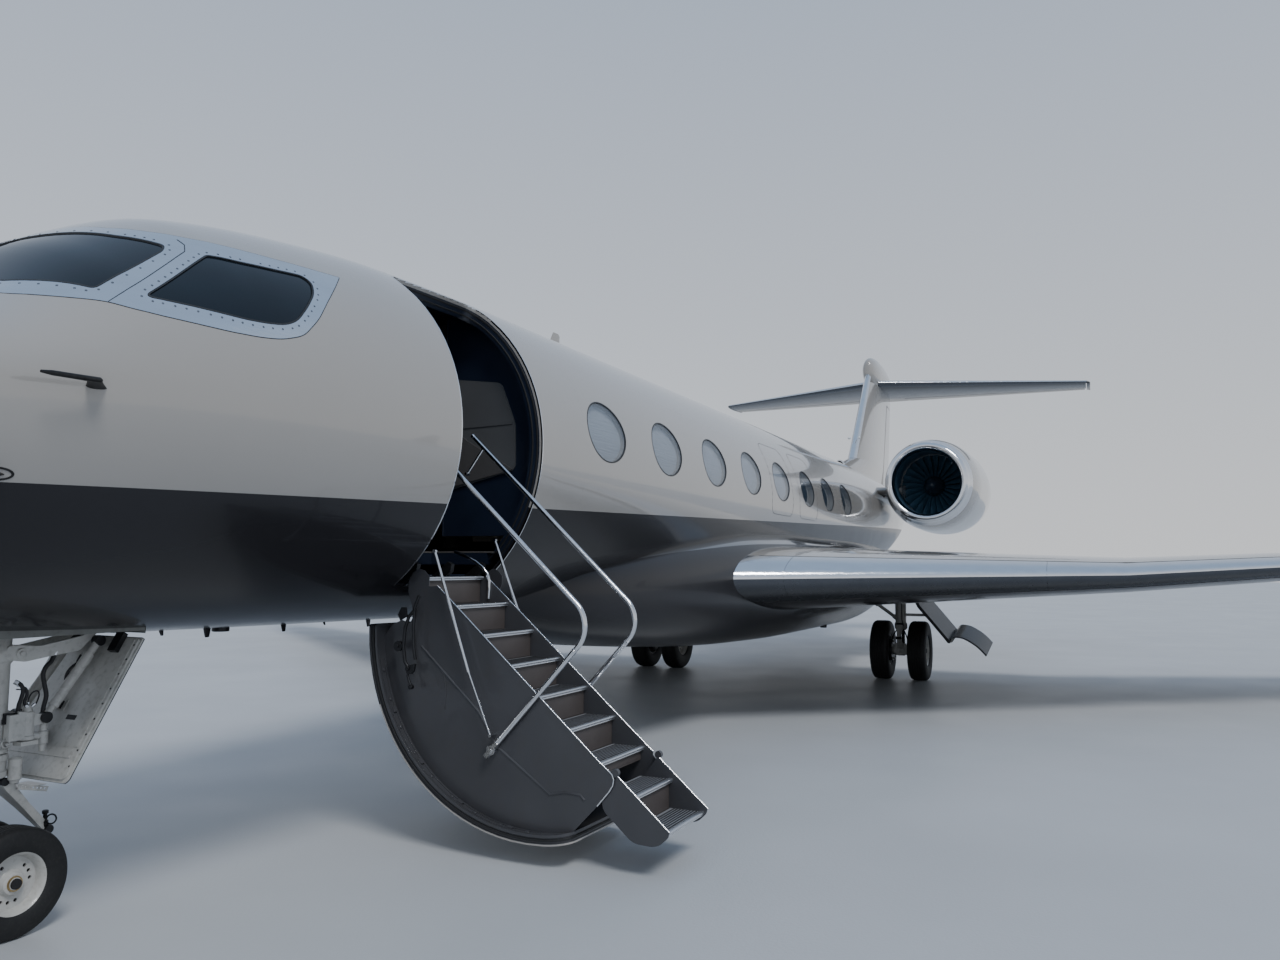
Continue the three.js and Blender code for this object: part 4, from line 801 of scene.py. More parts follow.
# span from, span to, share of the chord at which each starts; a trailing edge ends just short of it
FLAP = (1.3, 10.7, 0.74)
AILERON = (10.9, 13.7, 0.76)
TRAIL = 0.985
END_ROOM = 0.03
for side, sign in (("left", 1), ("right", -1)):
    tip = winglet_rows(26)
    whole = [*wing_rows(1.2, 5.5, 5), *wing_rows(5.7, 14.1, 12), *tip]
    edge = Part().ribs([section(row, 0, EDGE_DEPTH, sign, count=14) for row in whole])
    # below the chord plane the bare edge takes the dark alloy: painted shade
    painted_shade_below(edge, WING[:STRAIGHT])
    edge.made(f"wing_edge_{side}", "airframe", "polished_metal", [bare_alloy, shaded_edge_alloy], (f"wing_{side}",),
        sharp=50)
    fixed = Part()
    spans = [(1.2, FLAP[1] + 0.02, FLAP[2] - 0.004), (FLAP[1] + 0.02, AILERON[0] - END_ROOM, TRAIL),
        (AILERON[0] - END_ROOM, AILERON[1] + END_ROOM, AILERON[2] - 0.03)]
    for y0, y1, cut in spans:
        inner = wing_rows(y0, y1, 3) if y1 < 5.5 or y0 > 5.5 else [*wing_rows(y0, 5.5, 3),
            *wing_rows(5.7, y1, 5)]
        fixed.ribs([section(row, EDGE_DEPTH, cut, sign) for row in inner])
    fixed.ribs([section(row, EDGE_DEPTH, TRAIL, sign) for row in [*wing_rows(AILERON[1] + END_ROOM, 14.2, 2),
        *tip]])
    # below the chord plane the skins, here and on the flaps and ailerons, take the dark lower paint: painted
    # shade
    painted_shade_below(fixed, WING[:STRAIGHT])
    fixed.made(f"wing_box_{side}", "airframe", "upper_paint", [upper_paint, lower_paint], (f"wing_{side}",),
        sharp=40)
    flap = Part()
    for y0, y1 in ((1.55, 5.46), (5.52, FLAP[1])):
        flap.ribs([section(row, FLAP[2] + 0.012, TRAIL, sign, nose=0.5) for row in wing_rows(y0, y1, 3)])
    painted_shade_below(flap, WING[:STRAIGHT])
    flap.made(f"flap_panels_{side}", "airframe", "upper_paint", [upper_paint, lower_paint],
        (f"flap_{side}",), sharp=40)
    aileron = Part()
    aileron.ribs([section(row, AILERON[2], TRAIL, sign, nose=1.0) for row in wing_rows(AILERON[0],
        AILERON[1], 4)])
    painted_shade_below(aileron, WING[:STRAIGHT])
    aileron.made(f"aileron_panel_{side}", f"aileron_{side}", "upper_paint", [upper_paint, lower_paint],
        (f"aileron_{side}",), sharp=40)

# Tail: a swept fin with a bare leading edge, a stabilizer across its top in a long rounded fairing,
# and elevators and a rudder hinged behind their spars. All are sheet aluminium on ribs.
FIN = [
    # z, leading edge x, trailing edge x, thickness
    (3.65, -5.9, -12.44, 0.42), (4.08, -6.38, -12.53, 0.42), (4.45, -7.92, -12.62, 0.43),
    (6.9, -10.049, -13.208, 0.305)]
RUDDER = (4.06, 6.3, 0.73)
STABILIZER = [(0, -10.495, 6.7, 3.2, 0.09, 0), (5.24, -13.865, 6.94, 1.34, 0.09, 0)]
ELEVATOR = (0.48, 5.1, 0.7)
DOME = {"x": -10.9, "z": 6.96, "front": 0.9, "rear": 2.5, "half": 0.215, "tall": 0.43}


# A fin section lies level: the wing's section with span taken up the fin
def fin_section(z, first, last, nose=0.0, straight=False):
    table = FIN[2:] if straight else FIN
    _, front, back, thick = station(table, z) if z >= table[0][0] else [z,
        *[a + (b - a) * (z - table[0][0]) / (table[1][0] - table[0][0]) for a, b in zip(table[0][1:],
        table[1][1:])]]
    chord = front - back
    ring = section((0, front, 0, chord, thick / chord, 0), first, last, 1, nose)
    return [(x, v, z) for x, _, v in ring]


fin_edge, fin_box, rudder = Part(), Part(), Part()
heights = [3.65, 4.0, 4.08, 4.2, 4.35, 4.45, 4.9, 5.6, 6.2]
FIN_TOP = 6.62
fin_edge.ribs([fin_section(z, 0, 0.035) for z in [*heights[5:], 6.6, 6.9]])
fin_edge.made("fin_edge", "airframe", "polished_metal", [bare_alloy], ("fin",), sharp=50)
foot = [z for z in heights if z < RUDDER[0] - END_ROOM] + [RUDDER[0] - END_ROOM]
fin_box.ribs([fin_section(z, 0.0, TRAIL) for z in foot])
low_rings = []
for z in [RUDDER[0] - END_ROOM, *heights[2:6]]:
    spar = max(p[0] for p in fin_section(z, RUDDER[2] - 0.035, TRAIL, 0.0, True))
    whole = [p[0] for p in fin_section(z, 0.0, 1.0)]
    low_rings.append(fin_section(z, 0.0, (max(whole) - spar) / (max(whole) - min(whole))))
fin_box.ribs(low_rings)
fin_box.ribs([fin_section(z, 0.035, RUDDER[2] - 0.035) for z in [*heights[5:], RUDDER[1] + END_ROOM]])
fin_box.ribs([fin_section(z, 0.035, TRAIL) for z in (RUDDER[1] + END_ROOM, FIN_TOP)])
fin_box.made("fin_box", "airframe", "upper_paint", [upper_paint], ("fin",), sharp=40)
rudder.ribs([fin_section(z, RUDDER[2], TRAIL, 1.0, True) for z in np.linspace(RUDDER[0], RUDDER[1], 4)])
rudder.made("rudder_panel", "rudder", "upper_paint", [upper_paint], ("rudder",), sharp=40)
stabilizer_edge, stabilizer_box = Part(), Part()
for sign in (1, -1):
    stabilizer_edge.ribs([section(station(STABILIZER, y), 0, 0.06, sign, count=12) for y in (0.02, 5.15)])
    stabilizer_box.ribs([section(station(STABILIZER, y), 0.06, TRAIL, sign)
        for y in (0, ELEVATOR[0] - END_ROOM)])
    stabilizer_box.ribs([section(station(STABILIZER, y), 0.06, ELEVATOR[2] - 0.03, sign)
        for y in (ELEVATOR[0] - END_ROOM, ELEVATOR[1] + END_ROOM)])
    tip_rows = []
    for k in range(9):
        w = pi / 2 * k / 8
        y, x, z, chord, ratio, _ = station(STABILIZER, 5.15)
        y = 5.15 + 0.09 * sin(w)
        shrink = max(0.02, cos(w) ** 0.5)
        tip_rows.append((y, x - 0.09 * sin(w) - chord * (1 - shrink) * 0.12, z - 0.006 * sin(w),
            chord * (1 - (1 - shrink) * 0.12), ratio * shrink, 0))
    stabilizer_box.ribs([section(row, 0, TRAIL, sign) for row in tip_rows])
    side = "left" if sign > 0 else "right"
    elevator = Part().ribs([section(station(STABILIZER, y), ELEVATOR[2], TRAIL, sign, nose=1.0)
        for y in np.linspace(ELEVATOR[0], ELEVATOR[1], 4)])
    # below the chord plane the elevator takes the dark lower paint: painted shade
    painted_shade_below(elevator, STABILIZER)
    elevator.made(f"elevator_panel_{side}", f"elevator_{side}", "upper_paint", [upper_paint, lower_paint],
        (f"elevator_{side}",), sharp=40)
# below the chord plane the stabilizer's edge and box are darkened: painted shade
painted_shade_below(stabilizer_edge, STABILIZER)
stabilizer_edge.made("stabilizer_edge", "airframe", "polished_metal", [bare_alloy, shaded_edge_alloy],
    ("stabilizer",), sharp=50)
painted_shade_below(stabilizer_box, STABILIZER)
stabilizer_box.made("stabilizer_box", "airframe", "upper_paint", [upper_paint, lower_paint], ("stabilizer",),
    sharp=40)
dome = Part()
rings = []
for k in range(1, 40):
    w = pi * k / 40
    reach, power = (DOME["rear"], 1.6) if k < 20 else (DOME["front"], 0.55)
    x, r = DOME["x"] - reach * cos(w), sin(w) ** power
    rings.append([(x, r * DOME["half"] * cos(a), DOME["z"] + r * DOME["tall"] * sin(a))
        for a in round_turns(36)])
dome.ribs(rings)
dome.made("fin_top_dome", "airframe", "upper_paint", [upper_paint], ("stabilizer",), sharp=60)

# Engines: a smooth nacelle with a polished inlet lip, a wide fan behind it, and at the back a bare
# metal nozzle round the core's cone.
ENGINE = Vector((-4.445, 2.23, 3.52))
OUTSIDE = fair([(0.14, 0.79), (0.35, 0.855), (1.0, 0.93), (2.2, 0.955), (3.4, 0.9), (4.2, 0.79),
    (4.9, 0.665)])
INSIDE = fair([(0.14, 0.632), (0.5, 0.622), (1.1, 0.655), (2.0, 0.7), (2.8, 0.72), (4.9, 0.648)])
LIP = (0.14, 0.711, 0.079)
FAN = {"at": 1.08, "radius": 0.638, "hub": 0.2, "blades": 24, "depth": 0.17}
duct_grey = finish("duct lining", (0.022, 0.06, 0.1), 0.5, metal=0.2, mottle=0.2, mottle_size=0.1, grain=0.2,
    grain_size=0.004)
blade_metal = finish("fan blades", (0.05, 0.12, 0.185), 0.4, metal=0.5, mottle=0.2, mottle_size=0.2)
hot_metal = finish("heat-stained nozzle", (0.3, 0.27, 0.25), 0.38, metal=0.95, mottle=0.25, mottle_size=0.25,
    gloss=0.12, stretch=(1, 4, 4), dirt=(0.05, 0.045, 0.04))
spinner_paint = finish("spinner paint", (0.02, 0.03, 0.045), 0.3, coat=0.4, mottle=0.1, mottle_size=0.1)
for side, sign in (("left", 1), ("right", -1)):
    centre = Vector((ENGINE.x, sign * ENGINE.y, ENGINE.z))
    back = (-1, 0, 0)

    def outer(a, b, n):
        return [(s, float(OUTSIDE([s])[0][0])) for s in np.linspace(a, b, n)]

    def inner(a, b, n):
        return [(s, float(INSIDE([s])[0][0])) for s in np.linspace(a, b, n)]
    lip = [(LIP[0] - LIP[0] * cos(w), LIP[1] + LIP[2] * sin(w)) for w in np.linspace(-pi / 2, pi / 2, 21)]
    Part().turn([*inner(0.24, 0.15, 3), *lip, *outer(0.17, 0.3, 4), (0.3, 0.7)], centre, back, 96,
        looped=True).made(f"inlet_lip_{side}", "airframe", "polished_metal", [bare_alloy],
        (f"nacelle_{side}",), sharp=50)
    Part().turn([*outer(0.302, 3.96, 34), *inner(3.96, 3.4, 3)], centre, back, 96,
        looped=True).made(f"nacelle_shell_{side}", "airframe", "upper_paint", [upper_paint],
        (f"nacelle_{side}",), sharp=50)
    Part().turn([*inner(0.242, 3.95, 20), *[(s, r + 0.02) for s, r in inner(3.95, 0.3, 8)]], centre, back,
        72, looped=True).made(f"inlet_duct_{side}", "airframe", "engine_metal", [duct_grey],
        (f"nacelle_{side}",), sharp=50)
    Part().turn([*outer(3.964, 4.9, 12), *inner(4.9, 3.964, 8)], centre, back, 96,
        looped=True).made(f"nozzle_{side}", "airframe", "engine_metal", [hot_metal], (f"nacelle_{side}",),
        sharp=50)
    core = Part()
    core.turn([(1.42, 0.0), (1.42, 0.2), (1.62, 0.36), (2.12, 0.42), (3.6, 0.42), (4.0, 0.4), (4.3, 0.36),
        (4.5, 0.33), (4.5, 0.29)], centre, back, 48)
    core.turn([(4.2, 0.27), (4.5, 0.24), (4.8, 0.15), (5.0, 0.07), (5.12, 0.01), (5.15, 0.0)], centre, back,
        40)
    for k in range(16):
        w = 2 * pi * k / 16
        out = Vector((0, cos(w), sin(w)))
        across = Vector((0, -sin(w), cos(w)))
        rings = []
        for r, lean in ((0.3, 0.3), (0.66, 0.1)):
            ring = []
            for a, v in ((0, 0.0), (0.05, 0.012), (0.16, 0.01), (0.24, 0.0), (0.16, -0.006), (0.05, -0.006)):
                ring.append(centre + Vector((-1.66 - a, 0, 0)) + out * r + across * (v + lean * a))
            rings.append(ring)
        core.ribs(rings)
    core.made(f"engine_core_{side}_detail", "airframe", "engine_metal", [hot_metal],
        (f"engine_core_{side}",), sharp=40)
    fan = Part()
    hub = FAN["at"]
    fan.turn([(hub - 0.33, 0.0), (hub - 0.325, 0.02), (hub - 0.3, 0.05), (hub - 0.22, 0.105),
        (hub - 0.12, 0.155), (hub - 0.03, 0.19), (hub, FAN["hub"]), (hub + FAN["depth"], FAN["hub"]),
        (hub + FAN["depth"], 0.06), (hub + 0.39, 0.06), (hub + 0.39, 0.0)], centre, back, 40, paint=1)
    for k in range(FAN["blades"]):
        w = 2 * pi * k / FAN["blades"]
        rings = []
        for r, lean, chord, sweep in ((0.19, 0.55, 0.13, 0.0), (0.32, 0.72, 0.17, 0.02),
                (0.48, 0.92, 0.2, 0.01), (FAN["radius"], 1.08, 0.19, -0.03)):
            out = Vector((0, cos(w), sin(w)))
            across = Vector((0, -sin(w), cos(w)))
            ring = []
            for a, v in ((-0.5, 0.0), (-0.25, 0.022), (0.1, 0.026), (0.5, 0.0), (0.1, -0.006),
                    (-0.25, -0.008)):
                along = a * cos(lean) * chord - v * sin(lean) * 0.35
                swing = a * sin(lean) * chord + v * cos(lean) * 0.35
                ring.append(centre + Vector((-(hub + 0.085 + along + sweep), 0,
                    0)) + out * r + across * (swing * sign))
            rings.append(ring)
        fan.ribs(rings)
    fan.made(f"fan_{side}_detail", f"fan_{side}", "engine_metal", [blade_metal, spinner_paint],
        (f"fan_{side}",), sharp=40)
    pylon = Part()
    rings = []
    for y, front, thick in ((0.8, -4.95, 0.3), (1.05, -5.05, 0.26), (1.3, -5.1, 0.25), (1.5, -5.1, 0.26),
            (1.66, -5.02, 0.3)):
        ring = section((0, front, 0, front + 8.7, thick / (front + 8.7), 0), 0, TRAIL)
        rings.append([(x, sign * y, 3.42 + v) for x, _, v in ring])
    pylon.ribs(rings)
    pylon.made(f"pylon_{side}_skin", "airframe", "upper_paint", [upper_paint], (f"pylon_{side}",), sharp=40)

# Doorway: the skin's edge is a bare bright land, inside it a deep jamb with a black bulb seal round
# it, all fixed to the frames either side of the cut-out.
# This navy also colours the floor panels, dark at the doorway's threshold as painted shade.
navy_trim_and_shade = finish("navy trim and painted shade", (0.01, 0.016, 0.032), 0.35, coat=0.2, mottle=0.15, mottle_size=0.3,
    grain=0.1, grain_size=0.003)
seal_rubber = finish("bulb seal", (0.01, 0.01, 0.011), 0.6, mottle=0.3, mottle_size=0.02, grain=0.4,
    grain_size=0.003)


def grown(loop, by):
    flat = np.array(loop) * [1, ROUND]
    ahead = np.roll(flat, -1, axis=0) - np.roll(flat, 1, axis=0)
    aside = np.stack([ahead[:, 1], -ahead[:, 0]], 1) / np.linalg.norm(ahead, axis=1)[:, None] * by
    area = np.sum(flat[:, 0] * np.roll(flat[:, 1], -1) - np.roll(flat[:, 0], -1) * flat[:, 1])
    return (flat + (aside if area > 0 else -aside)) / [1, ROUND]


SILL = 1.83
land, jamb, seals = Part(), Part(), Part()
band(land, grown(doorway_loop, 0.005), 0.01, -0.0015, 0.012)
above = np.roll(on_hull(*doorway_loop.T)[:, 2] > SILL, 1)
start = int(np.argmax(above & ~np.roll(above, 1)))


# The doorway's outline above the sill, from one jamb's foot round to the other's
def arch(by):
    return np.roll(grown(doorway_loop, by), 1 - start, axis=0)[:int(above.sum())]


band(jamb, arch(0.027), 0.05, SKIN - 0.002, 0.115, looped=False)
band(jamb, arch(0.012), 0.022, 0.012, SKIN - 0.002, looped=False)
band(seals, arch(-0.001), 0.008, 0.038, 0.052, looped=False)
band(seals, arch(-0.002), 0.01, 0.08, 0.092, looped=False)
land.made("doorway_land", "airframe", "polished_metal", [bare_alloy], sharp=60)
jamb.made("doorway_jamb", "airframe", "cabin_trim", [navy_trim_and_shade], sharp=60)
seals.made("doorway_seals", "airframe", "tyre_rubber", [seal_rubber], sharp=60, ease=0.003)

# Entry: lacquered walls and ceiling on the frames, and beside the aisle a partition with a framed
# panel, grey laminate above and dark leather below.
panel_grey = finish("partition panel", (0.085, 0.088, 0.092), 0.45, mottle=0.05, mottle_size=0.3, grain=0.1,
    grain_size=0.003)
panel_brown = finish("partition leather", (0.066, 0.064, 0.064), 0.6, mottle=0.08, mottle_size=0.2,
    grain=0.4, grain_size=0.004)
WALL_INSET = (0.117, 0.128)
low, high = radians(-28), radians(208)
opening = grown(doorway_loop, 0.05)
marks, faces, same = mark_out(8.07, 9.82, 0.16, 34, [opening], (), low, high)
walls = faces[~within(face_marks(marks, faces), opening)]
fit(sheet_mesh("entry_walls", marks, walls, np.arange(len(marks)), *WALL_INSET), "entry_walls", "airframe",
    [navy_trim_and_shade])


# The cabin's cross section at a station, between two heights, drawn up one side and down the other
def cross_section(x, inset, floor, count=40):
    low = float(side_turn(np.array([x]), np.array([floor]))[0]) + inset * 0.25
    turns = np.linspace(low, pi - low, count)
    return [(p[1], p[2]) for p in on_hull(np.full(count, x), turns, inset)]


PARTITION = (8.5, 8.53)
FLOOR = 1.95
AISLE = 0.385
side = [p for p in cross_section(PARTITION[0], 0.13, FLOOR + 0.014) if p[0] > AISLE]
partition = Part().plate([*side, (AISLE, side[-1][1]), (AISLE, side[0][1])], 0, *PARTITION)
partition.plate([(AISLE - 0.012, side[0][1]), (AISLE, side[0][1]), (AISLE, side[-1][1]),
    (AISLE - 0.012, side[-1][1])], 0, PARTITION[0] - 0.004, PARTITION[1] + 0.004)
partition.made("entry_partition", "airframe", "cabin_trim", [navy_trim_and_shade], ease=0.003)
edge = [p for p in cross_section(PARTITION[0], 0.3, 2.44, 60) if p[0] > AISLE + 0.05 and p[1] < 3.34]
frame_line = softened([(AISLE + 0.05, 2.44), *edge[::6], (AISLE + 0.05, 3.34)], 0.05, 0.03)
upper = softened([(AISLE + 0.075, 2.93), *[p for p in edge if p[1] > 2.93][::6], (AISLE + 0.075, 3.315)],
    0.03, 0.03)
lower = softened([(AISLE + 0.075, 2.465), *[p for p in edge if p[1] < 2.92][::6], (AISLE + 0.075, 2.92)],
    0.03, 0.03)
face = PARTITION[1]
partition_panel = Part().plate(frame_line, 0, face, face + 0.01)
partition_panel.plate([(y - 0.012 if y > 0.6 else y, z) for y, z in upper], 0, face + 0.01, face + 0.016)
partition_panel.plate([(y - 0.012 if y > 0.6 else y, z) for y, z in lower], 0, face + 0.01, face + 0.022, 1)
partition_panel.made("partition_panel", "airframe", "cabin_trim", [panel_grey, panel_brown], ease=0.004)

# Cabin floor: honeycomb panels on the floor beams with a low-pile carpet, cut back at the doorway
# for the folded stair; and the bulkheads that stand on it.
carpet_pile = finish("carpet pile", (0.075, 0.07, 0.066), 0.95, mottle=0.25, mottle_size=0.03, grain=1.0,
    grain_size=0.004, sheen=0.3)
panel_trim = finish("bulkhead trim", (0.3, 0.27, 0.23), 0.5, mottle=0.06, mottle_size=0.4, grain=0.1,
    grain_size=0.002)
FLOOR_RUN = (-2.645, 12.37)
TRENCH = (8.64, 9.68, 0.355)
ROD_SLOTS = [(9.6, 9.65, 0.17), (8.81, 8.862, 0.03)]


def floor_edge(x, level, inset=0.1):
    half, _, waist, keel = (float(v[0]) for v in hull_lines([x]))
    return (half - inset) * sqrt(max(0.0, 1 - ((waist - level) / (waist - keel - inset)) ** 2))


def floor_outline(level, x0, x1, trim=0.0):
    out = [(x, -floor_edge(x, level) + trim) for x in np.linspace(x0, x1, 46)]
    notched = []
    for x in np.linspace(x1, x0, 46):
        if not TRENCH[0] < x < TRENCH[1]:
            notched.append((x, floor_edge(x, level) - trim))
            continue
        if notched[-1][0] > TRENCH[1]:
            y = floor_edge(TRENCH[1], level) - trim
            cut = [(TRENCH[1], y), (TRENCH[1], TRENCH[2])]
            for a, b, depth in ROD_SLOTS:
                cut += [(b, TRENCH[2]), (b, depth), (a, depth), (a, TRENCH[2])]
            cut += [(TRENCH[0], TRENCH[2]), (TRENCH[0], floor_edge(TRENCH[0], level) - trim)]
            notched += cut
    return out + notched


# the floor panels take the navy, dark at the doorway's threshold as painted shade
deck = Part().plate(floor_outline(1.86, *FLOOR_RUN), 2, 1.85, 1.938)
deck.made("floor_panels", "airframe", "cabin_trim", [navy_trim_and_shade], ("cabin_floor",))
carpet = Part().plate(floor_outline(1.95, FLOOR_RUN[0] + 0.05, FLOOR_RUN[1] - 0.05, 0.012), 2, 1.939, FLOOR)
carpet.made("floor_carpet", "airframe", "carpet", [carpet_pile], ("cabin_floor",), ease=0.003)
PASSAGE = (0.34, 3.75)
for k, (x, through, paint) in enumerate(((9.83, True, navy_trim_and_shade), (8.01, True, panel_trim),
        (-2.645, False, panel_trim))):
    section_line = cross_section(x + 0.025, 0.105, FLOOR + 0.003)
    if through:
        foot = section_line[0][1]
        gap = softened([(PASSAGE[0], foot - 0.5), (PASSAGE[0], PASSAGE[1]), (-PASSAGE[0], PASSAGE[1]),
            (-PASSAGE[0], foot - 0.5)], 0.08)
        head_line = [p for p in gap if p[1] > foot + 0.001]
        head_line.sort(key=lambda p: atan2(p[1] - foot, p[0]))
        section_line += [(-PASSAGE[0], foot), *head_line[::-1], (PASSAGE[0], foot)]
    wall = Part().plate(section_line, 0, x, x + 0.05)
    wall.made(f"bulkhead_{k + 1}", "airframe", "cabin_trim", [paint], ("cabin_floor",), ease=0.004)
low = float(side_turn(np.array([2.0]), np.array([3.6]))[0])
marks, faces, same = mark_out(-2.58, 8.0, 0.3, 14, (), (), low, pi - low)
fit(sheet_mesh("headliner", marks, faces, np.arange(len(marks)), 0.113, 0.12), "headliner", "airframe",
    [sleeve_trim])

# Airstair door: a deep pan pressed to the fuselage's curve, hinged along its lower edge. Its skin is
# painted with the fuselage; its rim is a channel with a seal in it, and a web stands in it either side
# of the stairs.
HINGE = (0.705, 1.69)
SWING = radians(134)
DOOR_ROOM = 0.008
DOOR_DEPTH = 0.06
DOOR_TOP = 3.812
stair_grey = finish("stair paint", (0.048, 0.049, 0.055), 0.4, coat=0.2, mottle=0.1, mottle_size=0.35,
    gloss=0.08, grain=0.08, grain_size=0.004, dirt=(0.045, 0.043, 0.044))


def opened(points):
    points = np.asarray(points, float)
    y, z = points[..., 1] - HINGE[0], points[..., 2] - HINGE[1]
    c, s = cos(SWING), sin(SWING)
    return np.stack([points[..., 0], HINGE[0] + y * c + z * s, HINGE[1] - y * s + z * c], -1)


def on_door(x, turn, inset=0.0):
    return opened(on_hull(x, turn, inset))


def door_outward(x, turn):
    out = hull_outward(x, turn)
    c, s = cos(SWING), sin(SWING)
    return np.stack([out[:, 0], out[:, 1] * c + out[:, 2] * s, -out[:, 1] * s + out[:, 2] * c], 1)


door_outline = softened([(DOORWAY[0] + DOOR_ROOM, 1.8), (DOORWAY[1] - DOOR_ROOM, 1.8),
    (DOORWAY[1] - DOOR_ROOM, DOOR_TOP), (DOORWAY[0] + DOOR_ROOM, DOOR_TOP)], [0.02, 0.02, 0.11, 0.11])
door_loop = port(door_outline)
edge = paint_edge(DOORWAY[0] - 0.1, DOORWAY[1] + 0.1)
marks, faces, same = mark_out(DOORWAY[0] - 0.05, DOORWAY[1] + 0.05, 0.07, 40, [door_loop], [edge],
    door_loop[:, 1].min() - 0.05, door_loop[:, 1].max() + 0.05)
middle = face_marks(marks, faces)
on_leaf = within(middle, door_loop)
below = on_hull(*middle.T)[:, 2] < paint_height(middle[:, 0])
for coat, chosen, slot, paint in (("upper", ~below, "upper_paint", upper_paint),
        ("lower", below, "lower_paint", lower_paint)):
    name = f"door_skin_{coat}"
    fit(sheet_mesh(name, marks, faces[on_leaf & chosen], np.arange(len(marks)), 0.0, 0.01, on_door,
        door_outward), name, "airstair", [paint], ("airstair_door",))
pan_loop = grown(door_loop, -0.006)
marks, faces, same = mark_out(DOORWAY[0] - 0.05, DOORWAY[1] + 0.05, 0.07, 40, [pan_loop], [],
    door_loop[:, 1].min() - 0.05, door_loop[:, 1].max() + 0.05)
leaf = faces[within(face_marks(marks, faces), pan_loop)]
fit(sheet_mesh("door_pan", marks, leaf, np.arange(len(marks)), DOOR_DEPTH - 0.008, DOOR_DEPTH, on_door,
    door_outward), "door_pan", "airstair", [stair_grey], ("airstair_door",))
rim, rim_seal = Part(), Part()
band(rim, grown(door_loop, -0.01), 0.004, 0.01, DOOR_DEPTH - 0.006, surface=on_door)
band(rim, grown(door_loop, -0.006), 0.012, 0.01, 0.0135, surface=on_door)
band(rim, grown(door_loop, -0.011), 0.02, DOOR_DEPTH - 0.012, DOOR_DEPTH + 0.004, surface=on_door)
band(rim_seal, grown(door_loop, -0.003), 0.011, 0.026, 0.04, surface=on_door)

# the pressed bead along the pan's forward edge, and the screws and catch plates set in it
FORWARD = DOORWAY[1] - DOOR_ROOM


def turn_of(z, x=FORWARD):
    return float(side_turn(np.array([x]), np.array([z]))[0])


run = np.linspace(turn_of(1.98), turn_of(3.66), 40)
for x in (9.585, 9.628):
    band(rim, np.stack([np.full(40, x), run], 1), 0.009, DOOR_DEPTH - 0.001, DOOR_DEPTH + 0.006,
        looped=False, surface=on_door)
for k, t in enumerate(np.linspace(turn_of(2.05), turn_of(3.6), 9)):
    x, turn = np.array([9.607]), np.array([t])
    at, out = on_door(x, turn, DOOR_DEPTH)[0], door_outward(x, turn)[0]
    rim.turn([(0.0, 0.012), (0.006, 0.012), (0.009, 0.006), (0.009, 0.0)], at, -out, 14)
    if k % 2:
        band(rim, np.stack([np.full(6, 9.607), np.linspace(t + 0.04, t + 0.075, 6)], 1), 0.03, DOOR_DEPTH,
            DOOR_DEPTH + 0.012, looped=False, surface=on_door)
rim.made("door_rim", "airstair", "step_metal", [stair_grey], ("airstair_door",), sharp=45, ease=0.0015)
rim_seal.made("door_seal", "airstair", "tyre_rubber", [seal_rubber], sharp=60, ease=0.003)

# Side webs: flat alloy plates from the pan up beside the stairs, the forward one stiffened by a pressed
# diagonal bead and capped by a bright edge strip, the aft one lower.
STAIR_SLOPE = atan2(186.6, 218.3)
STRINGER = 0.275


def stair_point(s, n):
    c, v = cos(STAIR_SLOPE), sin(STAIR_SLOPE)
    return (HINGE[0] + s * c + n * v, HINGE[1] - s * v + n * c)


def pan_arc(x, inset, z0, z1, count=36):
    turns = np.linspace(turn_of(z0, x), turn_of(z1, x), count)
    return [(p[1], p[2]) for p in on_door(np.full(count, x), turns, inset)]


def stair_edge(drop=0.0):
    return [stair_point(s, STRINGER - drop) for s in np.linspace(1.9, 0.3, 12)]


def web(span, crown, corner=(), drop=0.0):
    inner = pan_arc(sum(span) / 2, DOOR_DEPTH, 1.86, crown)
    return [*inner, *corner, *stair_edge(drop), (1.038, 1.7), (1.04, 1.764), (1.0, 1.806), (0.955, 1.818),
        (0.9, 1.79), (0.87, 1.73), (0.868, 1.66), (0.905, 1.56), (0.915, 1.5), (0.89, 1.45), (0.82, 1.47),
        (0.745, 1.44)]


FORWARD_WEB = (9.559, 9.566)
AFT_WEB = (8.666, 8.673)
STRIP = 0.0042
ROUNDED = [(2.325, 0.393), (2.405, 0.485), (2.43, 0.525), (2.436, 0.56), (2.424, 0.59)]
webs, strips = Part(), Part()
webs.plate(web(FORWARD_WEB, 3.806, ROUNDED), 0, *FORWARD_WEB)
strips.bend([(FORWARD_WEB[1], y, z) for y, z in [*ROUNDED, *stair_edge()]], STRIP, 8)
webs.plate(web(AFT_WEB, 3.69, drop=0.22), 0, *AFT_WEB)
webs.bend([(9.561, *p) for p in ((0.99, 1.3), (1.459, 0.896), (1.604, 0.689), (1.996, 0.428), (2.1, 0.452),
    (2.21, 0.447), (2.238, 0.418))], 0.011, 8)
webs.bend([(9.567, *p) for p in ((1.12, 1.19), (1.18, 1.12), (1.2, 1.02), (1.19, 0.9))], 0.003, 6)
webs.made("door_webs", "airstair", "step_metal", [stair_grey], ("airstair_door",), sharp=40)
strips.made("stringer_strips", "airstair", "polished_metal", [bare_alloy], ("airstair_door",), sharp=60)

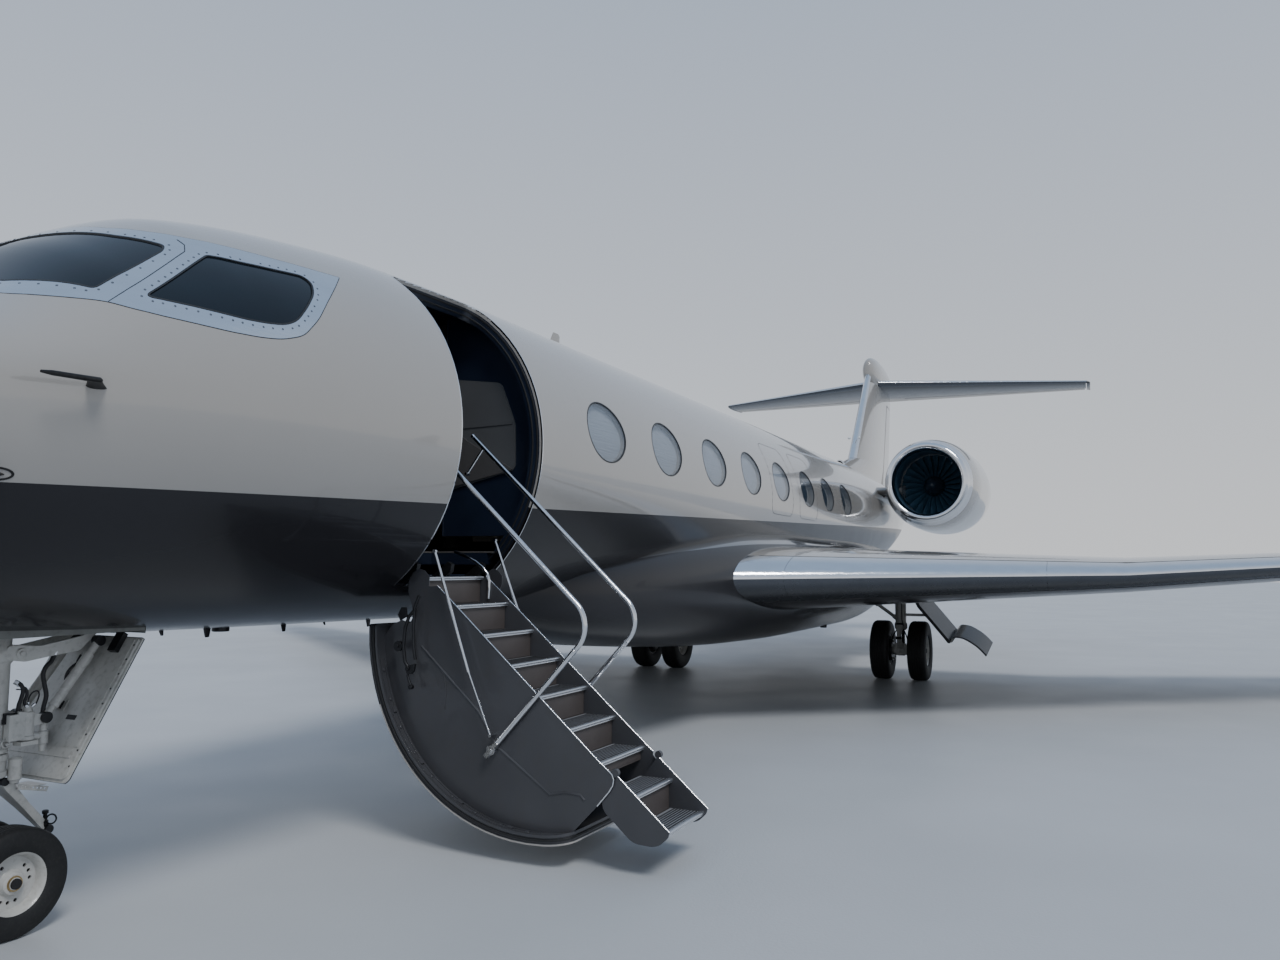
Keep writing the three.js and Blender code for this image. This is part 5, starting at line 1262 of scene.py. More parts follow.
# Hinge and latch gear: a tube along the door's foot on three arms, and a hook, link and roller at the
# forward edge, all of dark anodised steel.
dark_steel = finish("dark steel", (0.03, 0.031, 0.034), 0.4, metal=0.7, mottle=0.2, mottle_size=0.05,
    grain=0.2, grain_size=0.003, dirt=(0.02, 0.018, 0.016))
latch = Part()
latch.rod((8.617, *HINGE), (9.703, *HINGE), 0.021, 28)
for x in (8.7, 9.105, 9.495):
    latch.plate([(0.675, 1.655), (0.745, 1.67), (0.905, 1.795), (0.915, 1.85), (0.88, 1.868), (0.69, 1.73)],
        0, x, x + 0.04)
for x in (8.64, 9.06, 9.6, 9.69):
    latch.rod((x, *HINGE), (x + 0.012, *HINGE), 0.0215, 28)
LATCH_X = 9.63
link = [(0.984, 1.55), (0.93, 1.5), (0.9, 1.42), (0.89, 1.3), (0.905, 1.2), (0.935, 1.16)]
latch.bend([(LATCH_X, y, z) for y, z in link], 0.012, 12)
lever = [(1.01, 1.64), (0.975, 1.56), (0.968, 1.42), (0.975, 1.29), (0.99, 1.215)]
latch.bend([(LATCH_X, y, z) for y, z in lever], 0.011, 12)
latch.rod((LATCH_X - 0.014, 0.851, 1.3), (LATCH_X + 0.014, 0.851, 1.3), 0.034, 24)
latch.rod((LATCH_X - 0.014, 0.851, 1.3), (LATCH_X + 0.022, 0.851, 1.3), 0.012, 16)
latch.plate([(0.86, 1.47), (0.915, 1.5), (0.905, 1.56), (0.868, 1.56), (0.84, 1.51)], 0, LATCH_X - 0.008,
    LATCH_X + 0.006)
latch.plate([(0.915, 1.17), (0.995, 1.19), (0.985, 1.14), (0.965, 1.12), (0.925, 1.125)], 0, LATCH_X - 0.01,
    LATCH_X + 0.008)
latch.rod((LATCH_X - 0.014, 0.935, 1.155), (LATCH_X + 0.018, 0.935, 1.155), 0.014, 18)
hook = [(0.945, 1.15), (0.93, 1.11), (0.945, 1.07), (0.962, 1.038)]
latch.bend([(LATCH_X, y, z) for y, z in hook], 0.009, 12)
latch.turn([(0, 0.016), (0.026, 0.016), (0.03, 0.01)], (LATCH_X - 0.012, 0.962, 1.036), (1, 0, 0), 18)
latch.made("door_hinge_and_latch", "airstair", "step_metal", [dark_steel], ("airstair_door",), sharp=40,
    ease=0.0015)

# Stairs: pressed treads with rubber ribs and an extruded bright nosing, taupe risers set back under
# them, and a folding lower flight of two steps between its own side plates.
TREAD = {"y": 1.026, "z": 1.764, "run": 0.2183, "rise": 0.1866, "count": 9, "upper": 7}
riser_taupe = finish("riser panel", (0.072, 0.061, 0.057), 0.5, mottle=0.08, mottle_size=0.15, grain=0.15,
    grain_size=0.003)
tread_ribs = finish("tread ribs", (0.012, 0.012, 0.013), 0.6, mottle=0.2, mottle_size=0.03, grain=0.4,
    grain_size=0.003, dirt=(0.03, 0.029, 0.028))
tread_alloy = finish("tread plate", (0.26, 0.27, 0.29), 0.42, metal=0.1, mottle=0.12, mottle_size=0.05,
    grain=0.2, grain_size=0.004, dirt=(0.12, 0.115, 0.11))
nosing_alloy = finish("nosing", (0.62, 0.64, 0.67), 0.28, metal=0.9, mottle=0.08, mottle_size=0.1,
    gloss=0.08, grain=0.3, grain_size=0.004, stretch=(0.05, 1, 1))


def nosing(i):
    return TREAD["y"] + (i - 1) * TREAD["run"], TREAD["z"] - (i - 1) * TREAD["rise"]


def flight(first, last, x0, x1, name, body, node):
    treads, bars, risers, ribs = Part(), Part(), Part(), Part()
    for i in range(first, last + 1):
        y, z = nosing(i)
        back = y - TREAD["run"] - 0.02
        if i == 1:
            back = y - 0.15
        treads.plate([(back, z - 0.0035), (y - 0.02, z - 0.0035), (y - 0.02, z - 0.024), (back, z - 0.024)],
            0, x0, x1)
        bars.plate([(y - 0.034, z), (y - 0.006, z), (y - 0.001, z - 0.003), (y, z - 0.007), (y, z - 0.013),
            (y - 0.003, z - 0.016), (y - 0.008, z - 0.017), (y - 0.008, z - 0.02), (y - 0.006, z - 0.022),
            (y - 0.006, z - 0.025), (y - 0.012, z - 0.026), (y - 0.02, z - 0.022), (y - 0.034, z - 0.01)], 0,
            x0 - 0.001, x1 + 0.001)
        count = 8 if i > 1 else 4
        for k in range(count):
            at = y - 0.048 - k * 0.0225
            ribs.plate([(at - 0.006, z - 0.0045), (at + 0.006, z - 0.0045), (at + 0.005, z - 0.001),
                (at - 0.005, z - 0.001)], 0, x0 + 0.012, x1 - 0.012)
        depth = z - TREAD["rise"] - 0.022 if i < last else z - 0.1
        if i == TREAD["count"]:
            continue
        risers.plate([(y - 0.03, z - 0.024), (y - 0.026, z - 0.024), (y - 0.026, depth + 0.01),
            (y - 0.03, depth + 0.01)], 0, x0 + 0.004, x1 - 0.004)
        risers.plate([(y - 0.026, z - 0.04), (y - 0.0235, z - 0.042), (y - 0.0235, depth + 0.024),
            (y - 0.026, depth + 0.022)], 0, x0 + 0.03, x1 - 0.03)
    treads.made(f"{name}_treads", body, "step_metal", [tread_alloy], (node,), ease=0.002)
    bars.made(f"{name}_nosings", body, "polished_metal", [nosing_alloy], (node,), sharp=50)
    risers.made(f"{name}_risers", body, "step_metal", [riser_taupe], (node,), ease=0.001)
    ribs.made(f"{name}_tread_ribs", body, "tyre_rubber", [tread_ribs], (node,))


flight(1, TREAD["upper"], 8.9, FORWARD_WEB[0], "upper_flight", "airstair", "airstair_steps")
far_web = Part()
far_top = [stair_point(s, 0.279) for s in np.linspace(1.985, 0.22, 12)]
far_web.plate([*[stair_point(s, n) for s, n in ((0.15, 0.04), (0.4, -0.06), (1.265, -0.06), (1.29, -0.245),
    (1.365, -0.245), (1.39, -0.06), (1.9, -0.06), (1.96, -0.03), (2.07, 0.08), (2.07, 0.255), (2.0, 0.262))],
    *far_top, stair_point(0.15, 0.2)], 0, 8.892, 8.899)
far_web.made("far_web", "airstair", "step_metal", [stair_grey], ("airstair_steps",))
far_strip = Part().bend([(8.8955, y, z) for y, z in far_top], STRIP, 8)
far_strip.made("far_stringer_strip", "airstair", "polished_metal", [bare_alloy], ("airstair_steps",),
    sharp=60)

flight(TREAD["upper"] + 1, TREAD["count"], 8.93, 9.545, "lower_flight", "lower_steps",
    "airstair_lower_steps")
lower_plates, lower_strips = Part(), Part()
LOWER_SIDE = [(2.036, 0.292), (2.052, 0.12), (2.12, 0.07), (2.38, 0.07), (2.48, 0.15), (2.506, 0.19),
    (2.514, 0.262), (2.5, 0.292)]
lower_outline = softened([stair_point(s, n) for s, n in LOWER_SIDE], [0.01, 0.03, 0.03, 0.05, 0.03, 0.02,
    0.01, 0.004])
for x0, x1 in ((8.923, 8.93), (9.545, 9.552)):
    lower_plates.plate(lower_outline, 0, x0, x1)
    out = x1 if x0 > 9 else x0
    lower_strips.bend([(out, *stair_point(s, 0.293)) for s in np.linspace(2.05, 2.498, 8)], STRIP, 8)
knuckle = stair_point(2.03, 0.3)
for x0, x1 in ((8.893, 8.923), (9.538, 9.568)):
    lower_plates.rod((x0, *knuckle), (x1, *knuckle), 0.024, 24)
lower_plates.made("lower_side_plates", "lower_steps", "step_metal", [stair_grey], ("airstair_lower_steps",))
lower_strips.made("lower_strips", "lower_steps", "polished_metal", [bare_alloy], ("airstair_lower_steps",),
    sharp=60)

# Handrails: chromed steel tube, a straight post on a pinned foot and above it a long rail, bent at its
# foot. Thin stays beside them steady the door.
bright_steel = finish("chromed steel", (0.72, 0.73, 0.75), 0.12, metal=1.0, mottle=0.04, mottle_size=0.1,
    gloss=0.05, grain=0.04, grain_size=0.01)
RAIL = {"r": 0.017, "pivot": (1.58, 0.67), "corner": (2.32, 1.48), "end": (0.89, 2.81), "bend": 0.19}
RAIL_X = {"forward": (9.5923, 1), "aft": (8.868, -1)}
pivot, corner, top_end = (Vector(RAIL[k]) for k in ("pivot", "corner", "end"))
post_way, run_way = (corner - pivot).normalized(), (top_end - corner).normalized()
turned_by = acos(post_way.dot(run_way))
joint = corner - post_way * RAIL["bend"] * tan(turned_by / 2)
across = Vector((-post_way.y, post_way.x))
centre = joint + across * RAIL["bend"]
bend_line = [centre + (post_way * sin(w) - across * cos(w)) * RAIL["bend"]
    for w in np.linspace(0, turned_by, 18)]
for side, (x, outward) in RAIL_X.items():
    post, run = Part(), Part()
    foot = pivot - post_way * 0.03
    stop = joint - post_way * 0.022
    post.bend([(x, *p) for p in (pivot + post_way * 0.02, pivot.lerp(stop, 0.5), stop)], RAIL["r"], 24)
    post.bend([(x, *p) for p in (pivot - post_way * 0.052, pivot + post_way * 0.03)], 0.02, 24)
    post.rod((x - outward * 0.0236, *pivot), (x + outward * 0.017, *pivot), 0.031, 28)
    post.rod((x + outward * 0.017, *pivot), (x + outward * 0.024, *pivot), 0.014, 6)
    post.plate([tuple(pivot + post_way * a + across * b) for a, b in ((-0.06, -0.016), (0.07, -0.014),
        (0.07, 0.014), (-0.06, 0.016))], 0, x - 0.021, x + 0.021)
    post.turn([(0, 0.0185), (0.03, 0.0185), (0.032, 0.017)], (x, *(joint - post_way * 0.055)),
        (0, *post_way), 24)
    post.made(f"handrail_post_{side}_tube", f"rail_post_{side}", "chrome", [bright_steel],
        (f"handrail_post_{side}",), sharp=50, ease=0.0015)
    points = [joint - post_way * 0.018, *bend_line, *[bend_line[-1].lerp(top_end, k / 6)
        for k in range(1, 7)]]
    run.bend([(x, *p) for p in points], RAIL["r"], 24)
    run.turn([(0, 0.0185), (0.022, 0.0185)], (x, *(top_end - run_way * 0.01)), (0, *run_way), 24)
    lug = top_end - run_way * 0.13
    hanger = Vector((-0.62, -0.78)).normalized() if side == "forward" else Vector((-0.6, -0.8)).normalized()
    run.rod((x, *lug), (x, *(lug + hanger * 0.24)), 0.01, 16)
    run.rod((x - 0.02, *(lug + hanger * 0.24)), (x + 0.02, *(lug + hanger * 0.24)), 0.013, 16)
    run.made(f"handrail_run_{side}_tube", f"rail_run_{side}", "chrome", [bright_steel],
        (f"handrail_run_{side}",), sharp=50, ease=0.0015)
stays = Part()
stays.bend([(9.626, 1.125, 1.935), (9.626, 1.27, 1.545), (9.626, 1.415, 1.155)], 0.0095, 14)
stays.bend([(9.626, 1.41, 1.168), (9.626, 1.587, 0.772)], 0.0055, 12)
stays.rod((9.616, 1.125, 1.935), (9.636, 1.125, 1.935), 0.013, 16)
stays.rod((9.566, 1.59, 0.765), (9.636, 1.59, 0.765), 0.011, 16)
stays.bend([(8.838, 1.078, 2.031), (8.838, 1.18, 1.78), (8.838, 1.287, 1.52)], 0.0095, 14)
stays.rod((8.828, 1.078, 2.031), (8.848, 1.078, 2.031), 0.013, 16)
stays.rod((8.828, 1.287, 1.52), (8.894, 1.287, 1.52), 0.011, 16)
grab = [(0.773, 1.946), (0.88, 1.906), (0.96, 1.87), (1.02, 1.83), (1.062, 1.785), (1.08, 1.73),
    (1.082, 1.67), (1.077, 1.6)]
stays.bend([(8.908, y, z) for y, z in grab], 0.012, 14)
stays.made("airstair_stays", "airstair", "chrome", [bright_steel], ("airstair_steps",), sharp=50)

# Wheels: rubber tyres with straight grooves on forged and painted alloy rims, each held by an axle nut.
# Twin wheels turn as one on their axle.
tread_rubber = finish("tyre rubber", (0.0065, 0.0068, 0.0075), 0.7, mottle=0.25, mottle_size=0.05, grain=0.5,
    grain_size=0.003, dirt=(0.02, 0.019, 0.018))
rim_enamel = finish("rim enamel", (0.46, 0.455, 0.43), 0.35, coat=0.3, mottle=0.06, mottle_size=0.08,
    grain=0.05, grain_size=0.004, dirt=(0.3, 0.28, 0.25))
hub_brass = finish("hub ring", (0.42, 0.3, 0.14), 0.35, metal=0.9, mottle=0.2, mottle_size=0.02)
hole_dark = finish("hole shadow", (0.012, 0.012, 0.013), 0.8, mottle=0.2, mottle_size=0.01, grain=0.2,
    grain_size=0.002)
NOSE_WHEEL = {"x": 11.735, "r": 0.267, "half": 0.092, "seat": 0.148, "pair": 0.165, "axle": 0.03}
MAIN_WHEEL = {"x": -1.745, "y": 2.175, "r": 0.4825, "half": 0.15, "seat": 0.245, "pair": 0.3, "axle": 0.045}


# Cuts the corners off an open line, twice over, for a smooth sidewall
def smoothed(line, times=2):
    for _ in range(times):
        cut = [line[0]]
        for (a, b), (c, d) in zip(line, line[1:]):
            cut += [(a * 0.75 + c * 0.25, b * 0.75 + d * 0.25), (a * 0.25 + c * 0.75, b * 0.25 + d * 0.75)]
        line = [*cut, line[-1]]
    return line


def tyre_profile(size, grooves, groove, depth):
    r, half, seat = size["r"], size["half"], size["seat"] + 0.0006
    wall = r - seat
    side = smoothed([(0.7, seat), (0.84, seat), (0.95, seat + 0.18 * wall), (1.0, seat + 0.4 * wall),
        (1.0, seat + 0.6 * wall), (0.93, seat + 0.86 * wall), (0.8, r - 0.05 * wall),
        (0.66, r - 0.012 * wall)])
    side = [(a * half, b) for a, b in side]
    tread = []
    for g in grooves:
        g *= half
        tread += [(g - groove, r), (g - groove * 0.55, r - depth), (g + groove * 0.55, r - depth),
            (g + groove, r)]
    return [(-a, b) for a, b in side] + tread + side[::-1]


def wheel_rings(size, out):
    seat, half, axle = size["seat"], 0.35 * 2 * size["half"], size["axle"] + 0.002
    lip = 0.055 * seat
    barrel = [(-half, seat), (-half - 0.004, seat + lip), (-half - 0.01, seat + lip),
        (-half - 0.012, seat - 0.01), (-0.4 * half, seat - 0.1 * seat), (0.1 * half, seat - 0.14 * seat),
        (0.42 * half, seat - 0.16 * seat), (0.8 * half, seat - 0.09 * seat), (half + 0.006, seat - 0.005),
        (half + 0.013, seat + 0.6 * lip), (half + 0.011, seat + 1.1 * lip), (half + 0.004, seat + 1.1 * lip),
        (half, seat), (0.85 * half, seat), (0.0, seat - 0.03 * seat), (-0.85 * half, seat)]
    hub = [(-half, axle), (-half, axle + 0.016), (-0.1 * half, axle + 0.022), (0.2 * half, 0.44 * seat),
        (0.42 * half, 0.44 * seat), (0.5 * half, 0.4 * seat), (0.78 * half, axle + 0.02),
        (0.84 * half, axle + 0.012), (0.84 * half, axle)]
    return [[(a * out, b) for a, b in ring] for ring in (barrel, hub)], half


def wheel(size, x, y, out, holes, hole_ring, hole_size):
    centre = (x, y, size["r"])
    (barrel, hub), half = wheel_rings(size, out)
    rim = Part().turn(barrel, centre, (0, 1, 0), 72, looped=True).turn(hub, centre, (0, 1, 0), 48,
        looped=True)

    def circle(r, cx=0.0, cz=0.0, count=48):
        return [(x + cx + r * cos(2 * pi * k / count), size["r"] + cz + r * sin(2 * pi * k / count))
            for k in range(count)]
    cuts = [circle(hole_size, hole_ring * cos(a), hole_ring * sin(a), 16) for a in holes]
    web = sorted((y + out * 0.24 * half, y + out * 0.4 * half))
    rim.plate(circle(0.845 * size["seat"], count=72), 1, *web, holes=[circle(0.43 * size["seat"]), *cuts])
    behind = sorted((y + out * 0.02 * half, y + out * 0.06 * half))
    rim.plate(circle(0.86 * size["seat"], count=48), 1, *behind, 1, holes=[circle(0.4 * size["seat"])])
    nut = y + out * 0.84 * half
    axle = size["axle"]
    for a, r, paint in ((0.006, axle + 0.008, 2), (0.014, axle * 0.86, 1), (0.01, axle * 0.55, 3)):
        rim.turn([(0, r), (a * out, r * 0.97)], (x, nut + (0.0008 + 0.006 * (paint == 1)) * out, size["r"]),
            (0, 1, 0), 32, paint)
    return rim


def turned_tyre(size, x, y, grooves, groove, depth):
    return Part().turn(tyre_profile(size, grooves, groove, depth), (x, y, size["r"]), (0, 1, 0), 96,
        looped=True)


for side, sign in (("left", 1), ("right", -1)):
    x, y = NOSE_WHEEL["x"], NOSE_WHEEL["pair"] * sign
    turned_tyre(NOSE_WHEEL, x, y, (-0.42, -0.14, 0.14, 0.42), 0.0045, 0.005).made(f"nose_tyre_{side}_tread",
        "nose_wheels", "tyre_rubber", [tread_rubber], (f"nose_tyre_{side}",), sharp=40)
    holes = [radians(a + b) for a in (36, 156, 276) for b in (-23, 0, 23)]
    wheel(NOSE_WHEEL, x, y, sign, holes, 0.094, 0.0095).made(f"nose_rim_{side}_forging", "nose_wheels",
        "wheel_alloy", [rim_enamel, hole_dark, hub_brass, dark_steel], (f"nose_rim_{side}",), sharp=35)
    for place, out in (("inner", -1), ("outer", 1)):
        y = (MAIN_WHEEL["y"] + out * MAIN_WHEEL["pair"]) * sign
        x = MAIN_WHEEL["x"]
        name = f"{side}_{place}"
        turned_tyre(MAIN_WHEEL, x, y, (-0.5, -0.25, 0.0, 0.25, 0.5), 0.006,
            0.007).made(f"main_tyre_{name}_tread", f"main_wheels_{side}", "tyre_rubber", [tread_rubber],
            (f"main_tyre_{name}",), sharp=40)
        holes = round_turns(10)
        wheel(MAIN_WHEEL, x, y, out * sign, holes, 0.158, 0.024).made(f"main_rim_{name}_forging",
            f"main_wheels_{side}", "wheel_alloy", [rim_enamel, hole_dark, hub_brass, dark_steel],
            (f"main_rim_{name}",), sharp=35)

# Nose gear: an enamelled steel strut on trunnions in its well, braced aft, with the steering valves
# and their hoses behind it; below it the steered collar, chromed piston, axle and torque links.
enamel = finish("gear enamel", (0.47, 0.465, 0.44), 0.36, coat=0.3, mottle=0.06, mottle_size=0.12,
    gloss=0.08, grain=0.08, grain_size=0.006, dirt=(0.2, 0.19, 0.17))
hose_rubber = finish("hose rubber", (0.012, 0.012, 0.014), 0.55, mottle=0.3, mottle_size=0.02, grain=0.5,
    grain_size=0.002)
STRUT_X = 11.775
strut = Part()
down = (0, 0, -1)
strut.turn([(0, 0.074), (0.1, 0.074), (0.12, 0.082), (0.4, 0.082), (0.42, 0.094), (0.48, 0.094), (0.5, 0.08),
    (0.73, 0.08), (0.745, 0.087), (0.765, 0.087), (0.78, 0.078), (0.91, 0.078), (0.925, 0.09), (0.943, 0.09),
    (0.943, 0.055)], (STRUT_X, 0, 1.827), down, 40)
strut.turn([(0, 0.04), (0.02, 0.055), (0.18, 0.055), (0.24, 0.046), (0.438, 0.046), (0.498, 0.055),
    (0.658, 0.055), (0.678, 0.04)], (STRUT_X, -0.339, 1.58), (0, 1, 0), 28)
strut.turn([(0, 0.038), (0.03, 0.038), (0.04, 0.03), (0.638, 0.03), (0.648, 0.038), (0.678, 0.038)],
    (11.23, -0.339, 1.56), (0, 1, 0), 24)
for y in (-0.085, 0.085):
    strut.plate(softened([(11.76, 1.35), (11.665, 1.335), (11.56, 1.35), (11.37, 1.372), (11.215, 1.515),
        (11.215, 1.58), (11.35, 1.452), (11.59, 1.41), (11.69, 1.42), (11.76, 1.42)], 0.015), 1, y - 0.008,
        y + 0.008)
    strut.turn([(0, 0.03), (0.008, 0.03), (0.01, 0.026), (0.016, 0.026), (0.018, 0.014), (0.026, 0.012)],
        (11.69, y, 1.378), (0, copysign(1, y), 0), 24)
    brace_y = y * 1.35
    strut.rod((11.565, brace_y, 1.035), (11.27, brace_y, 1.432), 0.02, 20)
    strut.rod((11.52, brace_y, 1.095), (11.33, brace_y, 1.35), 0.027, 20)
    for t, r in ((0.02, 0.029), (0.97, 0.029)):
        at = Vector((11.565, brace_y, 1.035)).lerp(Vector((11.27, brace_y, 1.432)), t)
        strut.rod(at - Vector((0, 0.022, 0)), at + Vector((0, 0.022, 0)), r, 20, 1)
    strut.plate([(11.7, 1.0), (11.56, 1.012), (11.548, 1.04), (11.57, 1.06), (11.7, 1.09)], 1,
        brace_y - 0.006, brace_y + 0.006)
strut.rod((11.69, -0.085, 1.378), (11.69, 0.085, 1.378), 0.018, 18)
strut.rod((11.3, -0.085, 1.47), (11.3, 0.085, 1.47), 0.022, 18)
strut.rod((11.7, -0.1, 0.985), (11.7, 0.1, 0.985), 0.02, 18)
strut.rod((STRUT_X - 0.04, 0, 0.93), (11.455, 0, 0.932), 0.014, 16)
strut.turn([(0, 0.022), (0.03, 0.024), (0.05, 0.015)], (11.455, 0, 0.932), (1, 0, 0), 18, 1)
# the steering valves behind the strut
strut.turn([(0, 0.014), (0.012, 0.022), (0.03, 0.024), (0.034, 0.034), (0.06, 0.036), (0.15, 0.036),
    (0.155, 0.041), (0.172, 0.041), (0.176, 0.03), (0.2, 0.028)], (11.64, 0.092, 1.112), down, 28)
strut.turn([(0, 0.012), (0.01, 0.018), (0.045, 0.02), (0.05, 0.026), (0.11, 0.026), (0.116, 0.02),
    (0.15, 0.018)], (11.556, 0.1, 1.02), down, 24)
strut.turn([(0, 0.018), (0.015, 0.018), (0.018, 0.024), (0.075, 0.024), (0.078, 0.018), (0.1, 0.018)],
    (11.665, 0.1, 0.95), (-1, 0, 0), 22)
strut.block((11.6, 0.07, 0.915), (11.69, 0.135, 0.935))
strut.block((11.66, 0.075, 0.945), (11.745, 0.12, 1.075))
strut.block((11.7, 0.08, 1.03), (11.76, 0.094, 1.085), 1)
strut.turn([(0.0, 0.02), (0.006, 0.024), (0.012, 0.02), (0.006, 0.016)], (11.748, 0.098, 0.935), (0, 1, 0.2),
    20, looped=True)
hoses = Part()
for path, r in (([(11.5, 0.08, 1.372), (11.522, 0.086, 1.327), (11.553, 0.09, 1.3), (11.566, 0.09, 1.262),
        (11.556, 0.092, 1.205), (11.545, 0.094, 1.15), (11.56, 0.098, 1.085), (11.562, 0.1, 1.018)], 0.0115),
        ([(11.35, 0.1, 1.35), (11.372, 0.098, 1.315), (11.418, 0.096, 1.285), (11.443, 0.094, 1.245),
        (11.446, 0.094, 1.19), (11.462, 0.096, 1.145), (11.508, 0.098, 1.092), (11.56, 0.1, 1.07)], 0.006),
        ([(11.33, 0.088, 1.345), (11.352, 0.086, 1.308), (11.398, 0.084, 1.276), (11.424, 0.082, 1.236),
        (11.428, 0.082, 1.18), (11.45, 0.084, 1.13), (11.5, 0.086, 1.078), (11.548, 0.09, 1.05)], 0.0055),
        ([(11.7, 0.075, 1.235), (11.682, 0.092, 1.222), (11.672, 0.098, 1.19), (11.68, 0.098, 1.15),
        (11.69, 0.096, 1.11), (11.684, 0.094, 1.07)], 0.01), ([(11.69, 0.078, 1.205), (11.66, 0.096, 1.2),
        (11.652, 0.1, 1.165), (11.664, 0.102, 1.13), (11.646, 0.1, 1.105)], 0.008),
        ([(11.64, 0.092, 1.112), (11.636, 0.094, 1.15), (11.62, 0.096, 1.175), (11.596, 0.098, 1.18),
        (11.586, 0.098, 1.16), (11.598, 0.098, 1.12), (11.616, 0.096, 1.105)], 0.004),
        ([(11.7, -0.06, 1.3), (11.66, -0.11, 1.24), (11.65, -0.12, 1.12), (11.69, -0.1, 1.0),
        (11.72, -0.085, 0.93)], 0.01)):
    line = [Vector(p) for p in path]
    fine = []
    for k in range(len(line) - 1):
        p0, p1, p2, p3 = line[max(k - 1, 0)], line[k], line[k + 1], line[min(k + 2, len(line) - 1)]
        for t in (0, 0.25, 0.5, 0.75):
            fine.append(0.5 * ((2 * p1) + (p2 - p0) * t + (2 * p0 - 5 * p1 + 4 * p2 - p3) * t * t
                + (3 * p1 - 3 * p2 + p3 - p0) * t ** 3))
    hoses.bend([*fine, line[-1]], r, 12)
    for at, way in ((line[0], line[1] - line[0]), (line[-1], line[-2] - line[-1])):
        hoses.turn([(-0.004, r + 0.003), (0.016, r + 0.003), (0.018, r + 0.0008)], at, way, 6, 1)
lamps = Part()
for y in (-0.095, 0.095):
    lamps.turn([(0, 0.02), (0.02, 0.05), (0.05, 0.062), (0.058, 0.062), (0.058, 0.056), (0.054, 0.052),
        (0.054, 0.0)], (STRUT_X + 0.075, y, 1.16), (1, 0, -0.05), 32)
    lamps.rod((STRUT_X + 0.02, y * 0.5, 1.16), (STRUT_X + 0.09, y, 1.16), 0.014, 14)
strut.made("nose_strut", "airframe", "gear_paint", [enamel, dark_steel], ("nose_gear_leg",), sharp=38,
    ease=0.0015)
hoses.made("nose_gear_hoses", "airframe", "gear_paint", [hose_rubber, bright_steel], ("nose_gear_leg",),
    sharp=40)
lamps.made("taxi_lamps", "airframe", "glazing", [bare_alloy], ("nose_gear_leg",), sharp=50)

fork = Part()
fork.turn([(0, 0.06), (0, 0.092), (0.01, 0.095), (0.03, 0.095), (0.034, 0.088), (0.08, 0.088),
    (0.084, 0.095), (0.112, 0.095), (0.118, 0.085), (0.118, 0.06)], (STRUT_X, 0, 0.8785), down, 40)
fork.turn([(0, 0.0495), (0.46, 0.0495)], (STRUT_X, 0, 0.765), down, 36, 1)
fork.turn([(0, 0.052), (0.02, 0.06), (0.1, 0.062), (0.13, 0.05), (0.135, 0.0)], (STRUT_X, 0, 0.345), down,
    32)
fork.rod((STRUT_X + 0.015, 0, 0.267), (NOSE_WHEEL["x"] - 0.015, 0, 0.267), 0.058, 28)
fork.turn([(0, 0.03), (0.127, 0.03), (0.1285, 0.048), (0.185, 0.05), (0.2, 0.058), (0.256, 0.058),
    (0.271, 0.05), (0.3275, 0.048), (0.329, 0.03), (0.456, 0.03)], (NOSE_WHEEL["x"], -0.228, 0.267),
    (0, 1, 0), 28)
fork.turn([(0, 0.02), (0.01, 0.032), (0.11, 0.032), (0.118, 0.024), (0.13, 0.02)], (11.676, 0.078, 0.858),
    down, 24)
fork.turn([(0, 0.02), (0.01, 0.032), (0.11, 0.032), (0.118, 0.024), (0.13, 0.02)], (11.676, -0.078, 0.858),
    down, 24)
fork.turn([(0, 0.014), (0.02, 0.026), (0.3, 0.026), (0.32, 0.014)], (STRUT_X + 0.098, -0.16, 0.815),
    (0, 1, 0), 24)
fork.rod((STRUT_X + 0.06, -0.05, 0.815), (STRUT_X + 0.1, -0.05, 0.815), 0.02, 16)
fork.rod((STRUT_X + 0.06, 0.05, 0.815), (STRUT_X + 0.1, 0.05, 0.815), 0.02, 16)
KNEE = Vector((11.445, 0, 0.44))
for top, size in ((Vector((11.712, 0, 0.738)), 0.06), (Vector((11.712, 0, 0.3)), 0.055)):
    along = (KNEE - top).normalized()
    aside = Vector((-along.z, 0, along.x))
    rings = []
    for t, half, thick in ((0.0, size, 0.02), (0.12, size, 0.024), (0.5, size * 0.66, 0.019),
            (0.86, 0.026, 0.02), (1.0, 0.024, 0.02)):
        at = top.lerp(KNEE, t)
        rings.append([at + Vector((0, s * half, 0)) + aside * (q * thick)
            for s, q in ((-1, -1), (1, -1), (1, 1), (-1, 1))])
    fork.ribs(rings)
    fork.rod(top - Vector((0, size + 0.008, 0)), top + Vector((0, size + 0.008, 0)), 0.021, 20, 2)
fork.rod(KNEE - Vector((0, 0.04, 0)), KNEE + Vector((0, 0.04, 0)), 0.022, 20, 2)
fork.turn([(0, 0.017), (0.03, 0.017), (0.034, 0.01), (0.066, 0.01), (0.07, 0.016), (0.084, 0.016),
    (0.086, 0.008)], KNEE + Vector((0.012, 0.012, 0.016)), (0.1, 0.15, 1), 18, 2)
fork.turn([(0, 0.024), (0.006, 0.029), (0.012, 0.024), (0.006, 0.019)], KNEE + Vector((-0.006, 0.034, 0.05)),
    (0.3, 1, 0.2), 22, 2, looped=True)
perforated = [(11.648, 0.716), (11.655, 0.69), (11.497, 0.648), (11.488, 0.674)]
holes = []
for k in range(7):
    cx, cz = 11.632 - 0.0205 * k, 0.6985 - 0.0052 * k
    holes.append([(cx + 0.0055 * cos(a), cz + 0.0055 * sin(a)) for a in round_turns(8)])
for y in (-0.074, 0.071):
    fork.plate(perforated, 1, y, y + 0.003, 0, holes)
